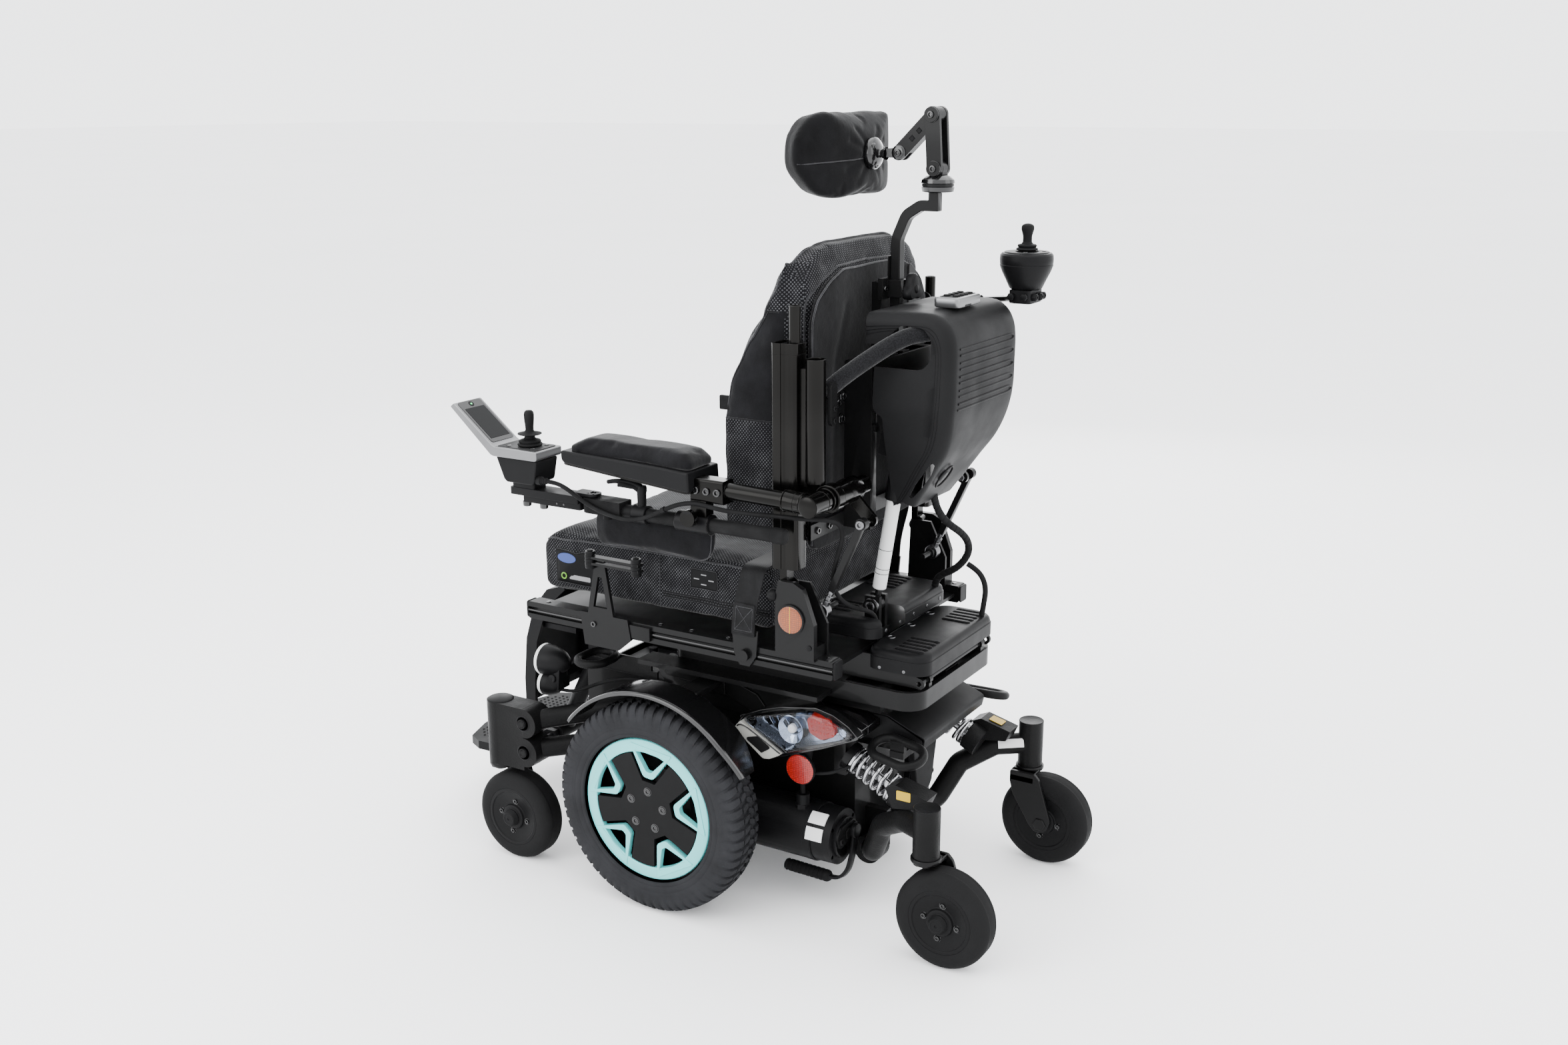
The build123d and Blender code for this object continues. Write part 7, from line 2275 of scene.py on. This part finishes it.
def back_cushion():
    side = [(203, 622), (203, 940), (198, 992), (186, 1032), (168, 1058), (138, 1074), (100, 1081)]
    work = bmesh.new()
    prism(work, "XZ", round_corners(side + [(-x, z) for x, z in reversed(side)], 20, 4), 158, 196)
    side = [(184, 622), (184, 985), (193, 1006), (184, 1034), (166, 1056), (136, 1072), (100, 1079)]
    prism(work, "XZ", round_corners(side + [(-x, z) for x, z in reversed(side)], 10, 4), 172, 224)
    edge = [(y + 7, z) for z, y in zip(*BACK_EDGE)][:-2] + [(200, 1060), (190, 1000), (190, 640)]
    for sign in SIDES.values():
        wing = bmesh.new()
        prism(wing, "YZ", edge, 160, 203)
        if sign < 0:
            flip_x(wing)
        mesh = bpy.data.meshes.new("wing")
        wing.to_mesh(mesh)
        wing.free()
        work.from_mesh(mesh)
    piece = voxelled("back_cushion_body", work, 5.5, 7)
    points = positions(piece.data) / MM
    points[:, 1] = np.maximum(points[:, 1], np.interp(points[:, 2], *BACK_EDGE) + 5)
    set_positions(piece.data, points * MM)
    inflate(piece, 6)
    seam = [(212, 92, 650), (212, 90, 756), (212, 93, 814), (212, 106, 877), (211, 133, 937),
            (207, 160, 979),
            (198, 181, 1012), (184, 192, 1044), (158, 200, 1070), (100, 208, 1084), (0, 210, 1086)]
    pocket = [(815, 90, 192), (981, 168, 195)]
    arch = [(193, 230, 640), (193, 230, 970), (176, 230, 1000), (140, 230, 1022), (92, 230, 1040),
            (0, 230, 1043)]
    for side in SIDES.values():
        crease(piece, [(side * x, y, z) for x, y, z in seam], 2.0, 4)
        crease(piece, [(side * x, y, z) for x, y, z in arch], 2.4, 5)
        for z, low, high in pocket:
            crease(piece, [(side * 212, low, z), (side * 212, high, z)], 1.8, 3)
    folds(piece, 3.1, 2.2, 55)
    limit(piece, (-218, 84, 605), (218, 234, 1092))

    def rule(centre, normal):
        front = np.interp(centre.z, [815, 877, 937, 981], [91, 107, 137, 170])
        if abs(centre.x) > 150 and centre.y < 198 and 815 < centre.z < 981 and centre.y > front:
            return "pad"
        return weave_by_side(centre, normal)
    dressed(piece, rule, "backrest", "back_cushion")
    for side, sign in SIDES.items():
        piping(f"back_seam_{side}", piece, [(sign * x, y, z) for x, y, z in seam], 1.3, "backrest")
        for z, low, high in pocket:
            piping(f"pocket_{z}_{side}", piece, [(sign * 212, low, z), (sign * 212, high, z)], 1.3,
                   "backrest", "pad")
        flap = [(sign * 212, 92, 815), (sign * 212, 108, 877), (sign * 212, 138, 937),
                (sign * 210, 171, 981)]
        piping(f"flap_seam_{side}", piece, flap, 0.9, "backrest", "pad")
        piping(f"back_arch_{side}", piece, [(sign * x, y, z) for x, y, z in arch], 1.5, "backrest")
    tab = bmesh.new()
    prism(tab, "YZ", round_corners([(87, 826), (112, 826), (112, 848), (87, 848)], 2, 3), 200, 205)
    mesh_piece("back_tab", to_mesh("back_tab", tab), "backrest", "web", 0.6, 2)


def back_panel():
    """Fleece panel over the rigid shell, and the bare plastic beside the head support's bar."""
    side = [(187, 616), (187, 962), (172, 996), (138, 1019), (92, 1037)]
    work = bmesh.new()
    prism(work, "XZ", round_corners(side + [(-x, z) for x, z in reversed(side)], 20, 6), 230.5, 240)
    piece = voxelled("back_panel", work, 4, 3)
    for x in (-120, 120):
        crease(piece, [(x, 240, 640), (x * 0.95, 240, 900), (x * 0.7, 240, 980)], 1.2, 9)
    folds(piece, 8.4, 2.0, 70, (1, 1, 0.6))
    limit(piece, (-194, 228, 612), (194, 243.2, 1046))
    dressed(piece, lambda c, n: "panel_cloth", "backrest", "back_shell")
    strip = bmesh.new()
    shape = [(-118, 700), (-162, 700), (-163, 952), (-157, 990), (-141, 1014), (-118, 1030)]
    prism(strip, "XZ", round_corners(shape, [4, 20, 30, 20, 14, 5], 6), 240.4, 243.2)
    mesh_piece("back_plastic", to_mesh("back_plastic", strip), "backrest", "grey_plastic", 0.8, 2)
    line = [(190, 620), (190, 966), (174, 1000), (139, 1023), (92, 1041), (0, 1043)]
    hem = [(x, 242, z) for x, z in line] + [(-x, 242, z) for x, z in reversed(line[:-1])]
    piping("panel_hem", piece, hem, 1.4, "backrest", "thread", 0.2, 12)


def seat_cushion():
    outline = round_corners([(-286, 482), (180, 482), (180, 582), (90, 582), (-230, 583), (-270, 578),
                             (-287, 556)],
                            [16, 8, 22, 60, 60, 26, 24], 7)
    work = bmesh.new()
    prism(work, "YZ", outline, -200, 200)
    hollow = bmesh.new()
    rod(hollow, (0, 40, 646), (0, 260, 646), 68, 48)
    piece = voxelled("seat_cushion_body", work, 6, 6)
    points = positions(piece.data) / MM
    reach = 68 - np.hypot(points[:, 0], points[:, 2] - 646)
    share = np.clip((points[:, 1] - 50) / 40, 0, 1)
    points[:, 2] -= np.where((reach > 0) & (points[:, 2] > 560), reach * share, 0)
    dip = np.clip((points[:, 2] - 560) / 25, 0, 1) * np.exp(-((np.abs(points[:, 0]) - 95) / 62) ** 2)
    points[:, 2] -= dip * 7 * np.clip((260 + points[:, 1]) / 140, 0, 1)
    set_positions(piece.data, points * MM)
    hollow.free()
    inflate(piece, 8, 5)
    for side in (1, -1):
        crease(piece, [(side * 210, -288, 574), (side * 210, 185, 580)], 2.4, 4)
        crease(piece, [(side * 210, -40, 480), (side * 210, -40, 575)], 1.6, 3)
        crease(piece, [(side * 212, -34, 508), (side * 212, 180, 506)], 2.6, 5)
    crease(piece, [(-205, -292, 560), (205, -292, 560)], 2.0, 4)
    folds(piece, 5.7, 2.0, 60)
    limit(piece, (-213, -296, 474.5), (213, 188, 594))
    dressed(piece, weave_by_side, "seat", "seat_cushion")
    for side, sign in SIDES.items():
        piping(f"seat_seam_{side}", piece, [(sign * 212, -284, 574), (sign * 212, 182, 580)], 1.3, "seat")
        piping(f"seat_join_{side}", piece, [(sign * 212, -40, 484), (sign * 212, -40, 574)], 0.9, "seat")
        for name, z in (("low", 503), ("high", 511)):
            piping(f"zip_{name}_{side}", piece, [(sign * 212, -34, z + 2), (sign * 212, 178, z)], 1.5,
                   "seat", "pad")
        piping(f"zip_teeth_{side}", piece, [(sign * 212, -34, 509), (sign * 212, 178, 507)], 1.1, "seat",
               "satin", lift=0.1)
    for name, sign, low, high, key in (("front_label", 1, (-252, 494), (-170, 556), "label_black"),
                                       ("rear_label", 1, (20, 528), (72, 560), "label_black"),
                                       ("front_label_right", -1, (-252, 494), (-170, 556), "label_black")):
        patch(name, piece, sign, low, high, key)
    logo = [(-246 + 20 + 19 * math.cos(a), 541 + 8.5 * math.sin(a)) for a in np.linspace(0, 2 * math.pi,
        33)[:-1]]
    decal("label_oval", piece, logo, 1.9, "badge")
    decal("label_bar", piece, round_corners([(-226, 503), (-182, 503), (-182, 511), (-226, 511)], 2, 3),
          1.9, "label_grey")
    ring = [(-236 + 6 * math.cos(a), 508 + 6 * math.sin(a)) for a in np.linspace(0, 2 * math.pi, 25)[:-1]]
    hole = [(-236 + 3.8 * math.cos(a), 508 + 3.8 * math.sin(a)) for a in np.linspace(0, 2 * math.pi,
        25)[:-1]]
    decal("label_ring", piece, ring, 1.9, "label_green", [hole])
    for name, dy, dz in (("up", 0, 8), ("down", 0, -8), ("ahead", -14, 0), ("back", 14, 0)):
        bar = [(46 + dx * 1.0 + dy, 544 + dh + dz) for dx,
               dh in ((-5, -0.8), (5, -0.8), (5, 0.8), (-5, 0.8))]
        decal(f"label_mark_{name}", piece, bar, 1.9, "label_grey")


def patch(name, cushion, sign, low, high, key):
    """A sewn label that lies on the cushion's side."""
    grid = bmesh.new()
    rows, columns = 8, 12
    verts = []
    for i in range(rows + 1):
        row = []
        for j in range(columns + 1):
            y = low[0] + (high[0] - low[0]) * j / columns
            z = low[1] + (high[1] - low[1]) * i / rows
            place = on_surface(cushion, [(sign * 216, y, z)], 0.9)[0]
            row.append(grid.verts.new(place))
        verts.append(row)
    for i in range(rows):
        for j in range(columns):
            grid.faces.new((verts[i][j], verts[i][j + 1], verts[i + 1][j + 1], verts[i + 1][j]))
    piece = mesh_piece(name, to_mesh(name, grid), "seat", key)
    solid = piece.modifiers.new("thick", "SOLIDIFY")
    solid.thickness = 1.0 * MM
    solid.offset = 0
    edge = [(sign * 216, y, z) for y, z in ((low[0], low[1]), (high[0], low[1]), (high[0], high[1]),
                                            (low[0], high[1]),
                                            (low[0], low[1]))]
    piping(f"{name}_stitch", cushion, edge, 0.5, "seat", lift=1.2, step=8)


def decal(name, cushion, outline, lift, key, holes=()):
    """A flat printed shape on the left side of the cushion, given as (y, z) points."""
    work = bmesh.new()
    middle = Vector((216, sum(p[0] for p in outline) / len(outline),
                     sum(p[1] for p in outline) / len(outline)))
    x = on_surface(cushion, [middle], lift)[0][0]
    prism(work, "YZ", outline, x - 0.8, x, holes)
    mesh_piece(name, to_mesh(name, work), "seat", key)


def thigh_pads():
    for side, sign in SIDES.items():
        work = bmesh.new()
        outline = round_corners([(-137, 585), (92, 585), (92, 646), (-137, 646)], [18, 30, 12, 16], 8)
        prism(work, "YZ", outline, 220.5, 233.5)
        if sign < 0:
            flip_x(work)
        piece = voxelled(f"thigh_pad_{side}", work, 4, 4)
        inflate(piece, 4)
        folds(piece, 2.2 + sign, 2.4, 45, (1, 0.5, 1))
        crease(piece, [(sign * 228, -141, 580), (sign * 228, 96, 580)], 1.2, 4)
        low, high = sorted((sign * 215.5, sign * 238))
        limit(piece, (low, -144, 578), (high, 100, 654))
        dressed(piece, lambda c, n: "pad", f"seat", "thigh_pads" if sign > 0 else None)
        rim = [(sign * 236, -134, 588), (sign * 236, 88, 588), (sign * 236, 90, 640),
               (sign * 236, -134, 642)]
        piping(f"thigh_seam_{side}", piece, rim + rim[:1], 0.9, "seat")


def arm_pads():
    for side, sign in SIDES.items():
        work = bmesh.new()
        base = round_corners([(221, -142), (292, -142), (292, 90), (221, 90)], 11, 6)
        top = round_corners([(230, -112), (283, -112), (283, 76), (230, 76)], 9, 6)
        rings = []
        for outline, heights in ((base, (748.5, 760)), (top, (771.5,))):
            for z in heights:
                slope = 4.5 if z < 770 else 3
                rings.append([work.verts.new((x, y, z - slope * (y + 140) / 230)) for x, y in outline])
        for low, high in zip(rings, rings[1:]):
            for i in range(len(low)):
                j = (i + 1) % len(low)
                work.faces.new((low[i], low[j], high[j], high[i]))
        work.faces.new(rings[0][::-1])
        work.faces.new(rings[-1])
        if sign < 0:
            flip_x(work)
        piece = voxelled(f"arm_pad_{side}_body", work, 4, 5)
        inflate(piece, 4)
        folds(piece, 7.7 + sign, 1.2, 50)
        low, high = sorted((sign * 214, sign * 298))
        limit(piece, (low, -149, 742), (high, 99, 777))
        dressed(piece, lambda c, n: "pad", f"armrest_{side}", f"arm_pad_{side}")


HEAD_CENTRE_Y = -15


def head_point(s, z, radius):
    """A point of the head support's arc, from its distance round the middle of the thickness."""
    return radius * math.sin(s / 218), HEAD_CENTRE_Y + radius * math.cos(s / 218), z


def headrest_pad():
    """Curved pad in a stretched cover that is gathered round the flange."""
    outline = [(-112, 1264), (112, 1264), (137, 1226), (137, 1184), (104, 1142), (60, 1137), (-60, 1137),
               (-104, 1142),
               (-137, 1184), (-137, 1226)]
    outline = round_corners(outline, [40, 40, 50, 50, 40, 30, 30, 40, 50, 50], 9)
    work = bmesh.new()
    layers = []
    for radius, shrink in ((196, 0.93), (203, 1), (237, 1), (245, 0.93)):
        layers.append([work.verts.new(head_point(s * shrink, 1200 + (z - 1200) * shrink, radius)) for s,
                       z in outline])
    for radius, ring in ((196, layers[0]), (245, layers[-1])):
        rows = [ring]
        for share in (0.7, 0.47, 0.23):
            rows.append([work.verts.new(head_point(s * share, 1200 + (z - 1200) * share, radius)) for s,
                         z in outline])
        hub = work.verts.new(head_point(0, 1200, radius))
        for low, high in zip(rows, rows[1:]):
            for i in range(len(low)):
                j = (i + 1) % len(low)
                work.faces.new((low[i], low[j], high[j], high[i]))
        for i in range(len(outline)):
            work.faces.new((rows[-1][i], rows[-1][(i + 1) % len(outline)], hub))
    for low, high in zip(layers, layers[1:]):
        for i in range(len(low)):
            j = (i + 1) % len(low)
            work.faces.new((low[i], low[j], high[j], high[i]))
    piece = voxelled("headrest_pad_body", work, 4, 8)
    inflate(piece, 6)
    seam = [(x, HEAD_CENTRE_Y + math.sqrt(248 ** 2 - x * x), 1196 - 0.05 * abs(x)) for x in range(-145, 146,
        10)]
    crease(piece, seam, 2.2, 3.5)
    for x, z, reach in ((34, 1238, 1), (52, 1222, 1), (58, 1180, 1), (36, 1160, 1), (-34, 1238, 1),
                        (-52, 1222, 1),
                        (-58, 1180, 1), (-36, 1160, 1)):
        crease(piece, [(x * 0.42, 232, 1202 + (z - 1202) * 0.42), (x, 226, z)], 2.6, 5)
    folds(piece, 1.3, 2.6, 42, (1, 1, 0.8))
    limit(piece, (-158, 132, 1128), (158, 236.5, 1275))
    dressed(piece, lambda c, n: "knit", "headrest_pad", "headrest_pad")
    piping("headrest_seam", piece, seam, 0.8, "headrest_pad", lift=0.1)
    flange = bmesh.new()
    lathe(flange, (0, 233.5, 1202), (0, 1, 0),
          [(0, 24), (2.5, 24.6), (8, 24), (11.5, 21), (14.5, 15), (16.5, 10.5),
                                               (17, 0)], 48)
    for turn in (40, 160, 280):
        a = math.radians(turn)
        where = (16.5 * math.cos(a), 243, 1202 + 16.5 * math.sin(a))
        lathe(flange, where, (0, 1, 0), [(-4, 5.6), (3.2, 5.6), (4, 4.6), (4, 2.6), (1.5, 2.6), (1.5, 0)],
              20)
    lathe(flange, (0, 249, 1202), (0, 1, 0), [(0, 7), (4, 6), (9, 9), (12, 9.5)], 32)
    rod(flange, (-4.8, 286, 1204), (4.8, 286, 1204), 9, 32, 0.8)
    prism(flange, "YZ", [(257, 1196.5), (286, 1196), (286, 1212), (257, 1209)], -4.8, 4.8)
    mesh_piece("headrest_flange", to_mesh("headrest_flange", flange), "headrest_pad", "gloss", 0.5, 2)


def make_soft_goods():
    back_cushion()
    back_panel()
    seat_cushion()
    thigh_pads()
    arm_pads()
    headrest_pad()


# ---------------------------------------------------------------- build
def plain_nodes():
    looks = {
        "chassis_frame": "powder", "tilt_carriage": "powder", "seat_frame": "powder",
        "batteries": "battery",
        "drive_motors": "satin", "legrest": "satin", "footplate": "satin", "headrest_post": "powder",
        "headrest_lower_link": "powder", "headrest_upper_link": "powder", "arm_rods": "powder",
        "arm_crank": "anodised_x", "back_frame": "anodised", "back_shell": "panel_cloth",
        "recline_rod": "white",
        "recline_actuator": "satin", "tie_down_loops": "cast", "lamps": "satin", "base_covers": "shroud",
        "back_shroud": "shroud", "push_handle": "foam", "seat_rear_covers": "satin", "seat_cushion": "mesh",
        "back_cushion": "mesh", "thigh_pads": "pad", "headrest_pad": "knit", "lap_belt": "web",
        "joystick_mount": "anodised_y", "joystick_housing": "satin", "joystick_stick": "rubber",
        "attendant_control": "satin", "attendant_stick": "rubber", "rear_springs": "spring",
        "joystick_cable": "rubber", "seat_cable": "rubber", "rear_harness": "rubber",
    }
    for side in SIDES:
        looks |= {f"drive_tyre_{side}": "tyre", f"drive_rim_{side}": "rim", f"rim_cover_{side}": "mint",
                  f"rear_arm_{side}": "cast", f"front_arm_{side}": "cast",
                  f"freewheel_lever_{side}": "rubber",
                  f"armrest_{side}": "anodised_y", f"arm_pad_{side}": "pad"}
        for end in ("front", "rear"):
            looks |= {f"caster_wheel_{end}_{side}": "caster_tyre", f"caster_fork_{end}_{side}": "powder"}
    for node, material in looks.items():
        if not frame["nodes"][node].hide_render:
            refined(node, material)


make_materials()
make_camera()
make_stage()
make_wheels()
make_base_looks()
make_soft_goods()
make_details()
plain_nodes()
